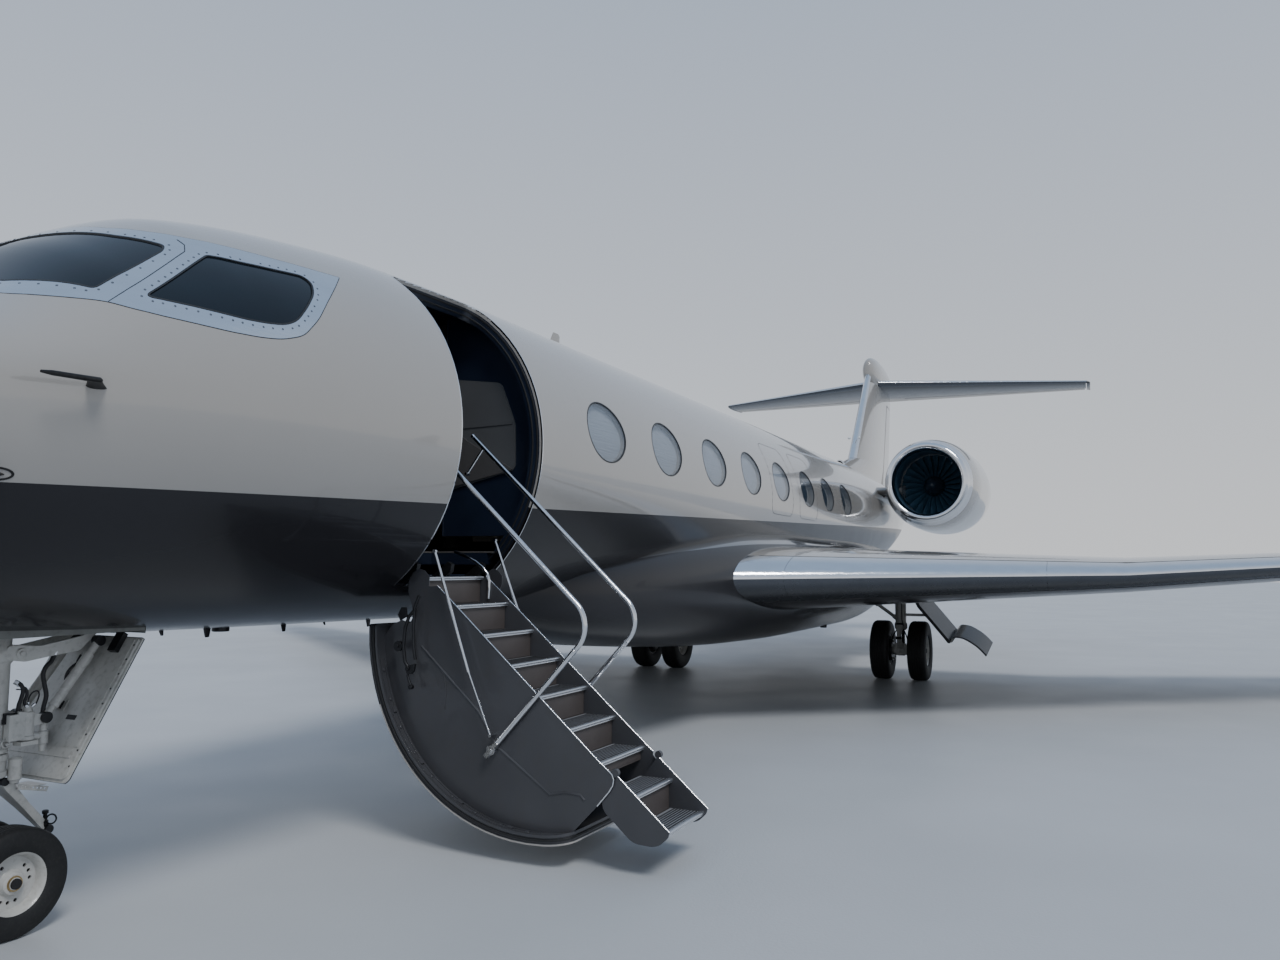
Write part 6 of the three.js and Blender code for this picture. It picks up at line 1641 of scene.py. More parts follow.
fork.plate([(11.5, -0.074), (11.65, -0.074), (11.65, 0.074), (11.5, 0.074)], 2, 0.6865, 0.6895)
fork.made("nose_fork", "nose_steering", "gear_paint", [enamel, bright_steel, dark_steel],
    ("nose_gear_fork",), sharp=38, ease=0.0015)

# Nose gear door: a bonded panel behind the strut, smooth outside, with a flanged pan, stiffeners and
# two hinge fittings screwed inside.
DOOR_HEAD, DOOR_FOOT = Vector((11.185, 0, 1.44)), Vector((11.59, 0, 0.735))
slant = (DOOR_FOOT - DOOR_HEAD).normalized()
face_way = Vector((-slant.z, 0, slant.x))


def on_nose_door(p):
    return tuple(DOOR_HEAD + slant * p[2] + face_way * p[0] + Vector((0, p[1], 0)))


LONG = (DOOR_FOOT - DOOR_HEAD).length
panel = Part()
outline = softened([(-0.335, -0.004), (0.335, -0.004), (0.335, LONG - 0.02), (0.318, LONG), (-0.318, LONG),
    (-0.335, LONG - 0.02)], 0.012)
pan = softened([(-0.322, 0.01), (0.322, 0.01), (0.322, LONG - 0.03), (0.306, LONG - 0.014),
    (-0.306, LONG - 0.014), (-0.322, LONG - 0.03)], 0.012)
panel.plate(outline, 0, -0.026, -0.02, 1)
panel.plate(outline, 0, -0.02, -0.012)
panel.plate(pan, 0, -0.012, 0.0)
panel.plate([(-0.25, 0.64), (0.285, 0.64), (0.285, 0.69), (-0.25, 0.69)], 0, 0.0, 0.008)
panel.plate([(-0.3, 0.02), (-0.276, 0.02), (-0.276, 0.63), (-0.3, 0.63)], 0, 0.0, 0.006)
panel.plate([(0.276, 0.02), (0.3, 0.02), (0.3, 0.63), (0.276, 0.63)], 0, 0.0, 0.006)
panel.plate([(0.093, 0.466), (0.166, 0.466), (0.166, 0.492), (0.093, 0.492)], 0, 0.0, 0.002, 2)
for y in (-0.19, 0.19):
    panel.plate([(y - 0.03, -0.012), (y + 0.03, -0.012), (y + 0.03, 0.1), (y - 0.03, 0.1)], 0, 0.0, 0.03, 2)
for v in (0.16, 0.42):
    panel.plate([(-0.045, v - 0.03), (0.045, v - 0.03), (0.045, v + 0.03), (-0.045, v + 0.03)], 0, 0.0,
        0.006)
    for y in (-0.02, 0.014):
        panel.plate([(y, v - 0.022), (y + 0.006, v - 0.022), (y + 0.006, v + 0.022), (y, v + 0.022)], 0, 0.0,
            0.04, 2)
for k in range(9):
    for y in (-0.31, 0.31):
        at = 0.05 + 0.085 * k
        panel.turn([(0.0, 0.006), (0.002, 0.005), (0.003, 0.0)], (0.0, y, at), (1, 0, 0), 8, 2)
panel.points = [on_nose_door(p) for p in panel.points]
panel.made("nose_gear_door_panel", "airframe", "gear_paint", [enamel, lower_paint, dark_steel],
    ("nose_gear_door",), sharp=38, ease=0.002)

# Main gear, each side: a forged steel strut with torque links ahead, side and drag braces and brake
# packs on its axle; and its door, two bonded panels that hang outboard of the wheels.
for side, sign in (("left", 1), ("right", -1)):
    x, y, z = MAIN_WHEEL["x"], MAIN_WHEEL["y"], MAIN_WHEEL["r"]
    leg = Part()
    leg.turn([(0, 0.085), (0.3, 0.085), (0.32, 0.098), (0.42, 0.098), (0.44, 0.09), (0.84, 0.09),
        (0.86, 0.102), (0.93, 0.102), (0.95, 0.092), (0.965, 0.08), (0.965, 0.06)], (x, y, 1.78), down, 36)
    leg.turn([(0, 0.0615), (0.34, 0.0615)], (x, y, 0.83), down, 32, 1)
    leg.turn([(0, 0.066), (0.03, 0.098), (0.13, 0.104), (0.17, 0.085), (0.19, 0.04)], (x, y, z + 0.1), down,
        32)
    leg.turn([(0, 0.045), (0.2, 0.045), (0.204, 0.075), (0.23, 0.08), (0.33, 0.08), (0.345, 0.095),
        (0.455, 0.095), (0.47, 0.08), (0.57, 0.08), (0.596, 0.075), (0.6, 0.045), (0.8, 0.045)],
        (x, y - 0.4, z), (0, 1, 0), 32)
    leg.plate(softened([(y - 0.09, 0.6), (y + 0.09, 0.6), (y + 0.115, 0.46), (y + 0.06, 0.4),
        (y - 0.06, 0.4), (y - 0.115, 0.46)], 0.02), 0, x + 0.055, x + 0.1, 0,
        [[(y + 0.022 * cos(a), 0.515 + 0.034 * sin(a)) for a in round_turns(18)]])
    leg.turn([(0, 0.05), (0.02, 0.062), (0.5, 0.062), (0.52, 0.05)], (x - 0.26, y, 1.64), (1, 0, 0), 24)
    for path, r in (([(x, y - 0.06, 1.0), (x, 1.56, 1.4)], 0.04), ([(x + 0.04, y, 1.25), (x + 0.7, y, 1.64)],
            0.038)):
        a, b = Vector(path[0]), Vector(path[1])
        leg.turn([(0, r * 0.9), (0.06, r), (0.08, r * 0.72), ((b - a).length * 0.55, r * 0.72),
            ((b - a).length * 0.56, r), ((b - a).length, r)], a, b - a, 24)
    for k, (top, low) in enumerate(((Vector((x + 0.105, y, 0.905)), Vector((x + 0.235, y, 0.695))),
            (Vector((x + 0.235, y, 0.695)), Vector((x + 0.085, y, 0.525))))):
        along = (low - top).normalized()
        aside = Vector((-along.z, 0, along.x))
        rings = []
        for t, half, thick in ((0, 0.055, 0.026), (0.5, 0.04, 0.02), (1, 0.03, 0.024)) if k == 0 else ((0,
                0.03, 0.024), (0.5, 0.04, 0.02), (1, 0.055, 0.026)):
            at = top.lerp(low, t)
            rings.append([at + Vector((0, s * half, 0)) + aside * (q * thick)
                for s, q in ((-1, -1), (1, -1), (1, 1), (-1, 1))])
        leg.ribs(rings)
    leg.rod((x + 0.235, y - 0.045, 0.695), (x + 0.235, y + 0.045, 0.695), 0.026, 20, 2)
    leg.rod((x + 0.11, y - 0.062, 0.905), (x + 0.11, y + 0.062, 0.905), 0.026, 20, 2)
    for out in (-1, 1):
        leg.turn([(0, 0.1), (0, 0.175), (0.05 * out, 0.182), (0.13 * out, 0.182), (0.13 * out, 0.1)],
            (x, y + 0.135 * out, z), (0, 1, 0), 36, 2)
        for k in range(5):
            a = radians(30 + 60 * k)
            leg.turn([(0, 0.02), (-0.03 * out, 0.018)], (x + 0.14 * cos(a), y + 0.134 * out,
                z + 0.14 * sin(a)), (0, 1, 0), 14)
        leg.bend([(x + 0.06, y + 0.05 * out, 0.83), (x + 0.12, y + 0.1 * out, 0.74),
            (x + 0.13, y + 0.13 * out, 0.64), (x + 0.1, y + 0.135 * out, 0.58)], 0.01, 10, 3)
    leg.bend([(x + 0.094, y + 0.03, 1.45), (x + 0.102, y + 0.035, 1.2), (x + 0.1, y + 0.035, 0.98),
        (x + 0.08, y + 0.05, 0.86)], 0.008, 10, 3)
    # the door leans back: its rear edge is the higher and the further out
    front, lean_out, lean_up = x + 0.32, 0.06, 0.25

    def leaning(p):
        return (p[0], p[1] + lean_out * (front - p[0]), p[2] + lean_up * (front - p[0]))
    UPPER_PANEL = [(2.31, 1.6), (2.5, 1.2), (2.74, 0.915), (2.965, 0.64), (2.995, 0.64), (2.995, 0.676),
        (2.775, 0.945), (2.54, 1.228), (2.345, 1.62)]
    bow = smoothed([(2.985, 0.66), (3.05, 0.755), (3.15, 0.75), (3.24, 0.728), (3.4, 0.631), (3.49, 0.545),
        (3.553, 0.473)])
    LOWER_PANEL = bow + [(a - 0.016, b - 0.02) for a, b in bow[::-1]]
    doors = Part()
    for outline in (UPPER_PANEL, LOWER_PANEL):
        doors.plate(outline, 0, x - 0.32, front)
    for at in (x - 0.19, x + 0.19):
        doors.plate([(2.96, 0.652), (3.055, 0.745), (3.09, 0.735), (3.01, 0.622), (2.94, 0.618)], 0,
            at - 0.03, at + 0.03, 1)
        doors.plate([(a, b + 0.001) for a, b in UPPER_PANEL[1:4]] + [(2.925, 0.64), (2.7, 0.905),
            (2.465, 1.19)], 0, at - 0.012, at + 0.012, 1)
    doors.points = [leaning(p) for p in doors.points]
    doors.block((x - 0.045, 2.27, 1.045), (x + 0.045, 2.69, 1.09), 1)
    if sign < 0:
        for part in (leg, doors):
            part.points = [mirror(p) for p in part.points]
    leg.made(f"main_strut_{side}", "airframe", "gear_paint", [enamel, bright_steel, dark_steel, hose_rubber],
        (f"main_gear_leg_{side}",), sharp=38, ease=0.002)
    doors.made(f"main_gear_panels_{side}", "airframe", "lower_paint", [lower_paint, enamel],
        (f"main_gear_door_{side}",), sharp=38, ease=0.002)

# Cabin seats: single club chairs, each a turned-down pedestal on a floor rail, a moulded shell and
# loose leather cushions filled with foam, sewn with a welt round their edge and channels across.
leather_cream = finish("seat leather", (0.46, 0.38, 0.29), 0.52, mottle=0.07, mottle_size=0.12, gloss=0.08,
    grain=0.5, grain_size=0.0022, sheen=0.1)
leather_dark = finish("crew seat leather", (0.055, 0.055, 0.06), 0.55, mottle=0.12, mottle_size=0.1,
    gloss=0.08, grain=0.5, grain_size=0.0022, sheen=0.1)
welt_thread = finish("leather welt", (0.3, 0.24, 0.18), 0.5, mottle=0.1, mottle_size=0.02, grain=0.4,
    grain_size=0.002)
veneer = finish("lacquered veneer", (0.13, 0.06, 0.028), 0.18, coat=0.9, mottle=0.35, mottle_size=0.06,
    grain=0.05, grain_size=0.003, stretch=(0.25, 2, 2))
VOXEL = 0.012
FRAMES = 20
SWELL_CAP = 0.024


# Foam in a sewn cover: the cover is cut a little small and blown out by the foam's push, resting flat
# on the shell behind it
def blown_cushion(name, size, crown, channels, across):
    form = bmesh.new()
    bmesh.ops.create_cube(form, size=2)
    bmesh.ops.subdivide_edges(form, edges=form.edges, cuts=11, use_grid_fill=True)
    for v in form.verts:
        p = np.array(v.co)
        p = p / (np.sum(np.abs(p) ** 5) ** 0.2)
        pull = 1 - 0.035 * (1 - p[1 - across] ** 2)
        p[across] *= pull
        p[2] = p[2] + crown * (1 - p[0] ** 2) * (1 - p[1] ** 2) if p[2] > 0 else max(p[2], -0.86)
        v.co = p * np.array(size) / 2 * 0.965
    mesh = bpy.data.meshes.new(name)
    form.to_mesh(mesh)
    form.free()
    pad = bpy.data.objects.new(name, mesh)
    bpy.context.scene.collection.objects.link(pad)
    even = pad.modifiers.new("even", "REMESH")
    even.mode = "VOXEL"
    even.voxel_size = VOXEL
    bpy.context.view_layer.update()
    mesh = bpy.data.meshes.new_from_object(pad.evaluated_get(bpy.context.evaluated_depsgraph_get()))
    pad.modifiers.clear()
    pad.data = mesh
    start = np.array([v.co[:] for v in mesh.vertices])
    seat_side = pad.vertex_groups.new(name="rests")
    lowest = start[:, 2].min()
    seat_side.add([i for i, p in enumerate(start) if p[2] < lowest + 0.006], 1.0, "REPLACE")
    cloth = pad.modifiers.new("cover", "CLOTH")
    cloth.settings.quality = 6
    cloth.settings.mass = 0.4
    cloth.settings.use_pressure = True
    cloth.settings.uniform_pressure_force = 4
    cloth.settings.tension_stiffness = 20
    cloth.settings.compression_stiffness = 20
    cloth.settings.shear_stiffness = 10
    cloth.settings.bending_stiffness = 1.0
    cloth.settings.vertex_group_mass = "rests"
    cloth.settings.effector_weights.gravity = 0
    cloth.point_cache.frame_end = FRAMES
    for f in range(1, FRAMES + 1):
        bpy.context.scene.frame_set(f)
    blown = pad.evaluated_get(bpy.context.evaluated_depsgraph_get()).to_mesh()
    end = np.array([v.co[:] for v in blown.vertices])
    bpy.context.scene.frame_set(1)
    pad.modifiers.clear()
    move = end - start
    reach = np.linalg.norm(move, axis=1, keepdims=True)
    start = start + move * np.minimum(1, SWELL_CAP / np.maximum(reach, 1e-9))
    top = start[:, 2] > 0
    for at in channels:
        dip = np.exp(-((start[:, 1 - across] - at * size[1 - across] / 2) / 0.011) ** 2)
        start[top, 2] -= 0.01 * dip[top]
    mesh.vertices.foreach_set("co", start.ravel())
    mesh.polygons.foreach_set("use_smooth", [True] * len(mesh.polygons))
    bpy.data.objects.remove(pad)
    return mesh


def welt_round(mesh, level, count=72):
    tree = BVHTree.FromPolygons([v.co[:] for v in mesh.vertices], [p.vertices[:] for p in mesh.polygons])
    path = []
    for k in range(count):
        a = 2 * pi * k / count
        hit = tree.ray_cast(Vector((cos(a), sin(a), level)), Vector((-cos(a), -sin(a), 0)))[0]
        path.append(hit)
    return path


BASES = {
    # piece: size, crown, channels across, axis that pulls in, welt heights
    "seat": ((0.43, 0.405, 0.135), 0.22, (-0.33, 0.33), 1, (0.03, -0.034)),
    "back": ((0.52, 0.405, 0.095), 0.25, (-0.45, 0.0, 0.45), 1, (0.016, -0.02)),
    "rest": ((0.15, 0.3, 0.07), 0.3, (), 1, (0.008,)),
    "arm": ((0.4, 0.05, 0.04), 0.2, (), 0, ())}
pads = {}
for label, (size, crown, channels, across, levels) in BASES.items():
    mesh = blown_cushion(f"{label}_cover", size, crown, channels, across)
    welts = Part()
    for level in levels:
        path = welt_round(mesh, level)
        rings = []
        for k, p in enumerate(path):
            ahead = (path[(k + 1) % len(path)] - path[k - 1]).normalized()
            out = Vector((ahead.y, -ahead.x, 0)).normalized()
            rings.append([p + out * (0.0035 * cos(w)) + Vector((0, 0, 0.0035 * sin(w)))
                for w in round_turns(6)])
        welts.ribs(rings, looped=True)
    pads[label] = (mesh, welts)
CABIN_CHAIRS = [(6.9, 1), (5.56, -1), (4.25, 1), (2.96, -1), (1.66, 1), (0.38, 1)]
BACK_LEAN = atan2(0.1, 0.63)
SEAT_ROW = 0.69


# Where each cushion of a chair lies, as turn and place in the chair's own frame, +X being forward
def chair_pads():
    upright = Matrix(((0, 0, 1, 0), (0, 1, 0, 0), (-1, 0, 0, 0), (0, 0, 0, 1)))
    tilt = Matrix.Rotation(-BACK_LEAN, 4, "Y")
    yield "seat", Matrix.Translation((0.062, 0, 0.358)) @ Matrix.Rotation(-0.03, 4, "Y")
    yield "back", Matrix.Translation((-0.232, 0, 0.7)) @ tilt @ upright
    yield "rest", Matrix.Translation((-0.228, 0, 0.985)) @ tilt @ upright
    yield "arm", Matrix.Translation((-0.01, 0.228, 0.52))
    yield "arm", Matrix.Translation((-0.01, -0.228, 0.52))


def chair(label, x, y, facing, node, hide, hard, hard_finish):
    place = Matrix.Translation((x, y, FLOOR)) @ Matrix.Rotation(0 if facing > 0 else pi, 4, "Z")
    trim = Part()
    for k, (kind, at) in enumerate(chair_pads()):
        mesh, welts = pads[kind]
        piece = bpy.data.meshes.new(f"{label}_{kind}_{k}")
        work = bmesh.new()
        work.from_mesh(mesh)
        bmesh.ops.transform(work, matrix=place @ at, verts=work.verts)
        work.to_mesh(piece)
        work.free()
        piece.polygons.foreach_set("use_smooth", [True] * len(piece.polygons))
        fit(piece, f"{label}_{kind}_{k}", "airframe", [hide], (node,))
        trim.add([place @ at @ Vector(p) for p in welts.points], welts.faces, 2)
    shell = Part()
    shell.turn([(0, 0.2), (0.012, 0.205), (0.02, 0.19), (0.028, 0.12), (0.06, 0.1), (0.18, 0.1),
        (0.215, 0.13), (0.232, 0.19), (0.236, 0.205), (0.25, 0.205)], (0, 0, 0.034), (0, 0, 1), 40)
    shell.plate(softened([(-0.205, 0.27), (0.25, 0.27), (0.282, 0.285), (0.282, 0.3), (-0.18, 0.3)], 0.01),
        1, -0.2, 0.2)
    backs = []
    for z in (0.288, 0.35, 0.45, 0.56, 0.7, 0.82, 0.93, 0.98, 1.02, 1.045, 1.062, 1.072, 1.075):
        front = np.interp(z, (0.288, 0.56, 1.05, 1.075), (-0.215, -0.262, -0.345, -0.35))
        rear = np.interp(z, (0.288, 0.31, 0.7, 1.04, 1.075), (-0.3, -0.318, -0.352, -0.388, -0.376))
        half = 0.205 * sqrt(1 - max(0.0, (z - 0.93) / 0.16) ** 2)
        backs.append([(front, half * t, z)
            for t in np.linspace(-1, 1, 9)] + [(rear + 0.55 * (front - rear) * t ** 4, half * t, z)
            for t in np.linspace(1, -1, 13)])
    shell.ribs(backs)
    for side in (-1, 1):
        low, high = sorted((side * 0.208, side * 0.252))
        shell.plate(softened([(-0.29, 0.15), (0.19, 0.15), (0.262, 0.26), (0.268, 0.42), (0.215, 0.498),
            (-0.25, 0.498), (-0.315, 0.3)], [0.03, 0.05, 0.05, 0.05, 0.05, 0.02, 0.05]), 1, low, high)
        low, high = sorted((side * 0.204, side * 0.2085))
        shell.plate([(-0.2, 0.44), (0.2, 0.44), (0.2, 0.455), (-0.2, 0.455)], 1, low, high, 1)
    trim.add([place @ Vector(p) for p in shell.points], shell.faces, 0)
    trim.paints = trim.paints[:len(trim.faces) - len(shell.faces)] + shell.paints
    trim.made(f"{label}_shell", "airframe", "cabin_trim", [hard, hard_finish, welt_thread], (node,),
        sharp=35)


for side, sign in (("left", 1), ("right", -1)):
    for k, (x, facing) in enumerate(CABIN_CHAIRS):
        chair(f"chair_{side}_{k + 1}", x, sign * SEAT_ROW, facing, f"cabin_seats_{side}", leather_cream,
            panel_trim, bare_alloy)
    rails = Part()
    for off in (-0.03, 0.022):
        rails.plate([(sign * SEAT_ROW + off, 1.9515), (sign * SEAT_ROW + off + 0.008, 1.9515),
            (sign * SEAT_ROW + off + 0.008, 1.98), (sign * SEAT_ROW + off, 1.98)], 0, -0.095, 7.195)
    rails.block((-0.095, sign * SEAT_ROW - 0.038, 1.9515), (7.195, sign * SEAT_ROW + 0.038, 1.958))
    rails.made(f"seat_rails_{side}", "airframe", "step_metal", [bare_alloy], (f"cabin_seats_{side}",))

# Cabin ledges: a lacquered veneer shelf under the windows down each side, screwed to the lining.
for side, sign in (("left", 1), ("right", -1)):
    ledge = Part()
    for x in np.linspace(0.0, 7.0, 8):
        wide = floor_edge(x, 2.4, 0.125)
        ring = [(x, sign * (wide - 0.005), 2.4), (x, sign * (wide - 0.25), 2.4),
            (x, sign * (wide - 0.256), 2.385), (x, sign * (wide - 0.25), 2.37),
            (x, sign * (wide - 0.005), 2.37)]
        ledge.points += ring
    count = 5
    for i in range(7):
        for j in range(count):
            ledge.faces.append([i * count + j, i * count + (j + 1) % count,
                (i + 1) * count + (j + 1) % count, (i + 1) * count + j])
            ledge.paints.append(0)
    ledge.faces += [list(range(count)), [7 * count + j for j in range(count)][::-1]]
    ledge.paints += [0, 0]
    ledge.made(f"cabin_ledge_{side}", "airframe", "cabin_trim", [veneer], ease=0.003)

# Cockpit: two leather crew seats, a centre pedestal with levers and knobs, and a panel of four flat
# displays under a shaped hood.
display_glass = finish("display glass", (0.01, 0.014, 0.02), 0.08, coat=0.6, mottle=0.5, mottle_size=0.08)
panel_black = finish("instrument panel", (0.035, 0.036, 0.038), 0.6, mottle=0.1, mottle_size=0.1, grain=0.3,
    grain_size=0.002)
for side, sign in (("left", 1), ("right", -1)):
    chair(f"crew_seat_{side}", 11.05, sign * 0.48, 1, "cockpit_seats", leather_dark, panel_black, bare_alloy)
console = Part()
console.plate(softened([(10.855, 1.951), (12.095, 1.951), (12.095, 2.368), (11.7, 2.368), (11.45, 2.3),
    (11.0, 2.25), (10.855, 2.2)], 0.02), 1, -0.175, 0.175)
console.plate([(-0.895, 2.305), (0.895, 2.305), (0.895, 2.8), (0.8, 2.88), (-0.8, 2.88), (-0.895, 2.8)], 0,
    12.085, 12.19)
console.plate([(12.0, 2.86), (12.19, 2.88), (12.19, 2.896), (11.985, 2.88), (11.975, 2.868)], 1, -0.8, 0.8)
for k in range(4):
    y = -0.63 + 0.42 * k
    console.plate(softened([(y - 0.17, 2.46), (y + 0.17, 2.46), (y + 0.17, 2.76), (y - 0.17, 2.76)], 0.012),
        0, 12.072, 12.085)
    console.plate(softened([(y - 0.155, 2.475), (y + 0.155, 2.475), (y + 0.155, 2.745), (y - 0.155, 2.745)],
        0.008), 0, 12.07, 12.0725, 1)
for k, y in enumerate((-0.045, -0.015, 0.015, 0.045)):
    console.plate([(11.56, 2.335), (11.58, 2.335), (11.62, 2.44), (11.6, 2.45)], 1, y - 0.004, y + 0.004, 2)
    console.rod((11.607, y - 0.013, 2.448), (11.607, y + 0.013, 2.448), 0.012, 16)
for x in (11.1, 11.25, 11.4):
    for y in (-0.11, -0.04, 0.04, 0.11):
        console.turn([(0, 0.016), (0.012, 0.014), (0.016, 0.01), (0.016, 0.0)],
            (x, y, 2.262 + (x - 11.0) * 0.11), (0, 0, 1), 18, 2)
console.block((10.885, -0.395, 1.951), (11.195, 0.395, 2.005))
console.made("cockpit_console", "airframe", "cabin_trim", [panel_black, display_glass, dark_steel],
    ("cockpit_seats",), ease=0.003)

# Probes: heated pitot heads on short aerofoil masts, two a side of the nose, the lower of each pair
# within a sealed oval base plate.
probe_steel = finish("probe metal", (0.035, 0.034, 0.034), 0.35, metal=0.8, mottle=0.2, mottle_size=0.02)
lens_red = finish("red lens", (0.45, 0.02, 0.015), 0.08, coat=1.0, mottle=0.1, mottle_size=0.01)
lens_green = finish("green lens", (0.02, 0.35, 0.08), 0.08, coat=1.0, mottle=0.1, mottle_size=0.01)
lens_clear = finish("clear lens", (0.75, 0.78, 0.8), 0.05, coat=1.0, mottle=0.05, mottle_size=0.01)
probes = Part()
for x0, z0, reach in ((12.155, 2.6, 1.0), (12.49, 2.2, 0.8)):
    base, aft = Vector(skin_spot(x0 + 0.055, z0)[0]), Vector(skin_spot(x0 - 0.055, z0)[0])
    out = Vector(skin_spot(x0, z0)[1])
    tip = (base + aft) / 2 + out * 0.085 + Vector((0.06, 0, 0.018))
    rings = []
    for t, half, chord in ((-0.04, 0.01, 0.052), (0.0, 0.009, 0.05), (0.5, 0.007, 0.04),
            (1.0, 0.008, 0.034)):
        at = ((base + aft) / 2).lerp(tip, t)
        rings.append([at + Vector((chord * cos(a), 0, half * sin(a))) for a in round_turns(20)])
    probes.ribs(rings)
    probes.turn([(0, 0.0), (0.004, 0.006), (0.05, 0.011), (0.26 * reach, 0.0125), (0.27 * reach, 0.006)],
        tip + Vector((0.235 * reach, 0, -0.008)), (-1, 0, 0.03), 20)
marks = port(oval(12.49, 2.2, 0.15, 0.05, 28))
band(probes, marks, 0.01, -0.0015, 0.001)
probes.copied(mirror)
probes.made("pitot_probes", "airframe", "engine_metal", [probe_steel], sharp=40)

# Aerials: two composite blades on the roof and a row of short blades and drain masts along the keel,
# each on its own screwed foot.
aerials = Part()


def blade(part, x, y, z, chord, tall, lean, thick=0.012, way=1, paint=0):
    rings = []
    for t, c, shift in ((-0.1, 1.0, 0.0), (0.0, 1.0, 0.0), (0.55, 0.78, 0.42), (0.92, 0.6, 0.75),
            (1.0, 0.42, 0.86)):
        front = x - shift * lean
        rings.append([(front - chord * c * (0.5 - 0.5 * cos(a)), y + thick / 2 * sin(a) * (1.1 - t * 0.5),
            z + way * tall * t) for a in round_turns(18)])
    part.ribs(rings, paint)
    rim = min(0.02, 0.35 * chord)
    part.plate(softened([(x + rim, y - rim), (x + rim, y + rim), (x - chord - rim, y + rim),
        (x - chord - rim, y - rim)], rim, 0.02), 2, *sorted((z - way * 0.02, z + way * 0.003)), paint)


blade(aerials, 6.3, 0.0, 4.075, 0.26, 0.235, 0.16)
blade(aerials, 2.1, 0.0, 4.075, 0.22, 0.12, 0.1)
KEEL_MASTS = [(10.85, 0.05, 0.035, 0.034), (10.53, 0.05, 0.06, 0.06), (9.89, 0.05, 0.052, 0.052),
    (9.49, 0.05, 0.026, 0.024), (9.03, 0.05, 0.055, 0.056)]
for x, y, chord, tall in KEEL_MASTS:
    low = float(hull_lines([x])[3][0])
    blade(aerials, x, y, low + 0.004, chord, tall, 0.02, 0.01, -1, 1)
aerials.made("aerials", "airframe", "upper_paint", [upper_paint, lower_paint], sharp=45)

# Lamps: an inspection lamp on each side of the fin's leading edge, and position lamps under moulded
# lenses at the winglets and behind the fin's top.
lamp_glass = Part()
for sign in (1, -1):
    lamp_glass.turn([(0, 0.004), (0.05, 0.022), (0.11, 0.03), (0.125, 0.022), (0.13, 0.0)],
        (-8.42, sign * 0.1, 4.97), (1, sign * 0.25, 0), 20)
    lamp_glass.turn([(0, 0.018), (0.04, 0.02), (0.055, 0.012), (0.06, 0.0)], (-6.93, sign * 15.15, 3.62),
        (-1, 0, 0), 20)
    lamp_glass.turn([(0, 0.03), (0.012, 0.03), (0.04, 0.022), (0.052, 0.0)], (-5.49, sign * 14.975, 2.62),
        (0.6, sign * 0.8, 0), 22, 1 if sign > 0 else 2)
lamp_glass.turn([(0, 0.03), (0.02, 0.03), (0.035, 0.02), (0.04, 0.0)], (-13.365, 0, 6.96), (-1, 0, 0), 20)
lamp_glass.made("position_lamps", "airframe", "glazing", [lens_clear, lens_red, lens_green], sharp=50)

# Wing fittings: moulded canoe fairings over the flap tracks, the filled joints round the spoiler
# panels and along the bare leading edge, and static wicks on the trailing edge.
for side, sign in (("left", 1), ("right", -1)):
    tracks = Part()
    for y in (3.1, 5.49, 8.1, 10.35):
        row = station(WING[:STRAIGHT], y)
        chord = row[3]
        x0, x1 = row[1] - 0.56 * chord, row[1] - 0.965 * chord
        rings = []
        for t in np.linspace(0, 1, 15):
            fat = sin(pi * min(1.0, 0.03 + t * 0.97)) ** 0.55 * (1 - 0.35 * t)
            at = x0 + (x1 - x0) * t
            share = (row[1] - at) / chord
            level = row[2] - half_thickness(min(share, 0.98)) * row[4] * chord + 0.012
            rings.append([(at, sign * (y + 0.062 * fat * cos(a)), level - 0.035 * fat + 0.105 * fat * sin(a))
                for a in round_turns(20)])
        tracks.ribs(rings)
    tracks.made(f"flap_track_fairings_{side}", "airframe", "lower_paint", [lower_paint], sharp=50)
    seams = Part()

    def top_of(y, share, lift=0.0012):
        row = station(WING[:STRAIGHT], y)
        return Vector((row[1] - share * row[3], sign * y,
            row[2] + half_thickness(share) * row[4] * row[3] + lift))

    for y0, y1 in ((2.3, 4.1), (4.2, 5.4), (5.6, 7.4)):
        loop = [top_of(y0 + (y1 - y0) * t, 0.6) for t in np.linspace(0, 1, 9)]
        loop += [top_of(y1, s) for s in np.linspace(0.62, 0.72, 4)]
        loop += [top_of(y1 + (y0 - y1) * t, 0.73) for t in np.linspace(0, 1, 9)]
        loop += [top_of(y0, s) for s in np.linspace(0.72, 0.62, 4)]
        seams.bend([*loop, loop[0]], 0.0022, 6)
    for y in (1.9, 4.6, 7.9, 11.2):
        row = station(WING[:STRAIGHT], y)
        arc = [(row[1] - u * row[3], sign * y, row[2] + q * (half_thickness(u) * row[4] * row[3] + 0.0008))
            for q, us in ((1, np.linspace(EDGE_DEPTH, 0.0005, 12)), (-1,
            np.linspace(0.0005, EDGE_DEPTH, 12))) for u in us]
        seams.bend(arc, 0.0018, 6)
    for q in (1, -1):
        line = []
        for y in np.linspace(1.55, 14.2, 60):
            row = station(WING[:STRAIGHT], y)
            line.append((row[1] - EDGE_DEPTH * row[3], sign * y,
                row[2] + q * (half_thickness(EDGE_DEPTH) * row[4] * row[3] + 0.0006)))
        seams.bend(line, 0.003, 6)
    seams.made(f"wing_joints_{side}", "airframe", "upper_paint", [gasket_rubber])
    wicks = Part()
    for y in (13.8, 14.0):
        row = station(WING[:STRAIGHT], y)
        trail = Vector((row[1] - 0.98 * row[3], sign * y, row[2]))
        wicks.bend([trail + Vector((0.03, 0, 0)), trail + Vector((-0.13, 0, -0.004))], 0.0025, 6)
    wicks.made(f"static_wicks_{side}", "airframe", "tyre_rubber", [gasket_rubber])

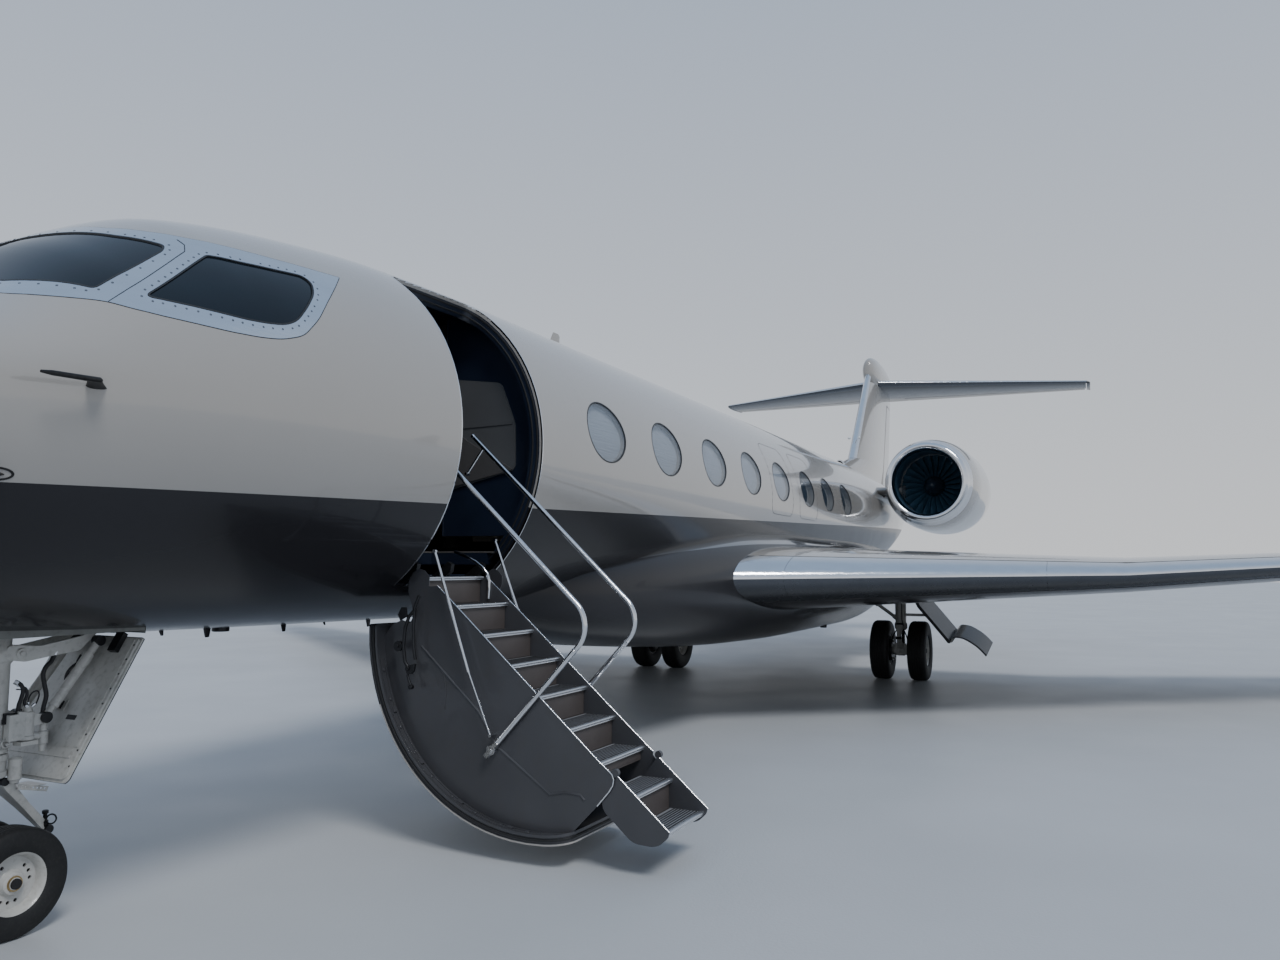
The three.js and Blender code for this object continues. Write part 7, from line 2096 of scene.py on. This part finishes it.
# Tail fittings: the cooling intake's bright lip at the fin's foot, and the auxiliary power unit's
# heat-stained exhaust ring in the tail cone.
tail = Part()
tail.turn([(0, 0.105), (0.015, 0.112), (0.06, 0.112), (0.06, 0.086), (0.015, 0.086), (0, 0.092)],
    (-6.745, 0, 4.165), (-1, 0, -0.04), 36, looped=True)
tail.turn([(0, 0.08), (0.2, 0.06), (0.2, 0.0)], (-6.76, 0, 4.165), (-1, 0, -0.04), 30, 1)
tail.turn([(0, 0.12), (0.09, 0.105), (0.1, 0.095), (0.1, 0.082), (0.0, 0.09), (-0.06, 0.092)],
    (-13.195, 0, 3.48), (-1, 0, 0), 36, 2, looped=True)
tail.turn([(0, 0.09), (0.002, 0.0)], (-13.25, 0, 3.48), (-1, 0, 0), 30, 1)
tail.made("tail_fittings", "airframe", "engine_metal", [bare_alloy, hole_dark, hot_metal], sharp=45)

# Nose gear well: primed sheet walls and a roof with stiffeners, riveted in the keel and open below,
# with a hole for the strut.
well = Part()
x0, x1, half, roof = 11.158, 12.142, 0.333, 1.835
for y in (-half, half - 0.006):
    well.plate([(x0, 1.475), (x1, 1.475), (x1, roof), (x0, roof)], 1, y, y + 0.006)
for x in (x0, x1 - 0.006):
    well.plate([(-half, 1.46), (half, 1.46), (half, roof), (-half, roof)], 0, x, x + 0.006)
well.plate([(x0, -half), (x1, -half), (x1, half), (x0, half)], 2, roof, roof + 0.008, 0,
    [[(STRUT_X + 0.09 * cos(a), 0.09 * sin(a)) for a in round_turns(24)]])
for x in np.linspace(11.3, 12.05, 5):
    well.block((x, -half + 0.008, roof - 0.035), (x + 0.004, half - 0.008, roof - 0.002))
well_grey = finish("well primer", (0.16, 0.165, 0.155), 0.55, mottle=0.12, mottle_size=0.1, grain=0.2,
    grain_size=0.004, dirt=(0.06, 0.055, 0.05))
well.made("nose_gear_well", "airframe", "gear_paint", [well_grey], ease=0.002)

# Jacking pads: flat steel bosses screwed to the frames, one under the nose and one under each
# wing root.
JACK_PADS = [(10.35, 0.0, 1.412), (-0.8, 1.1, 0.868), (-0.8, -1.1, 0.868)]
bosses = Part()
for x, y, z in JACK_PADS:
    bosses.turn([(0, 0.0), (0, 0.05), (0.004, 0.054), (0.06, 0.054)], (x, y, z), (0, 0, 1), 32)
bosses.made("jack_pads", "airframe", "gear_paint", [dark_steel], sharp=40)
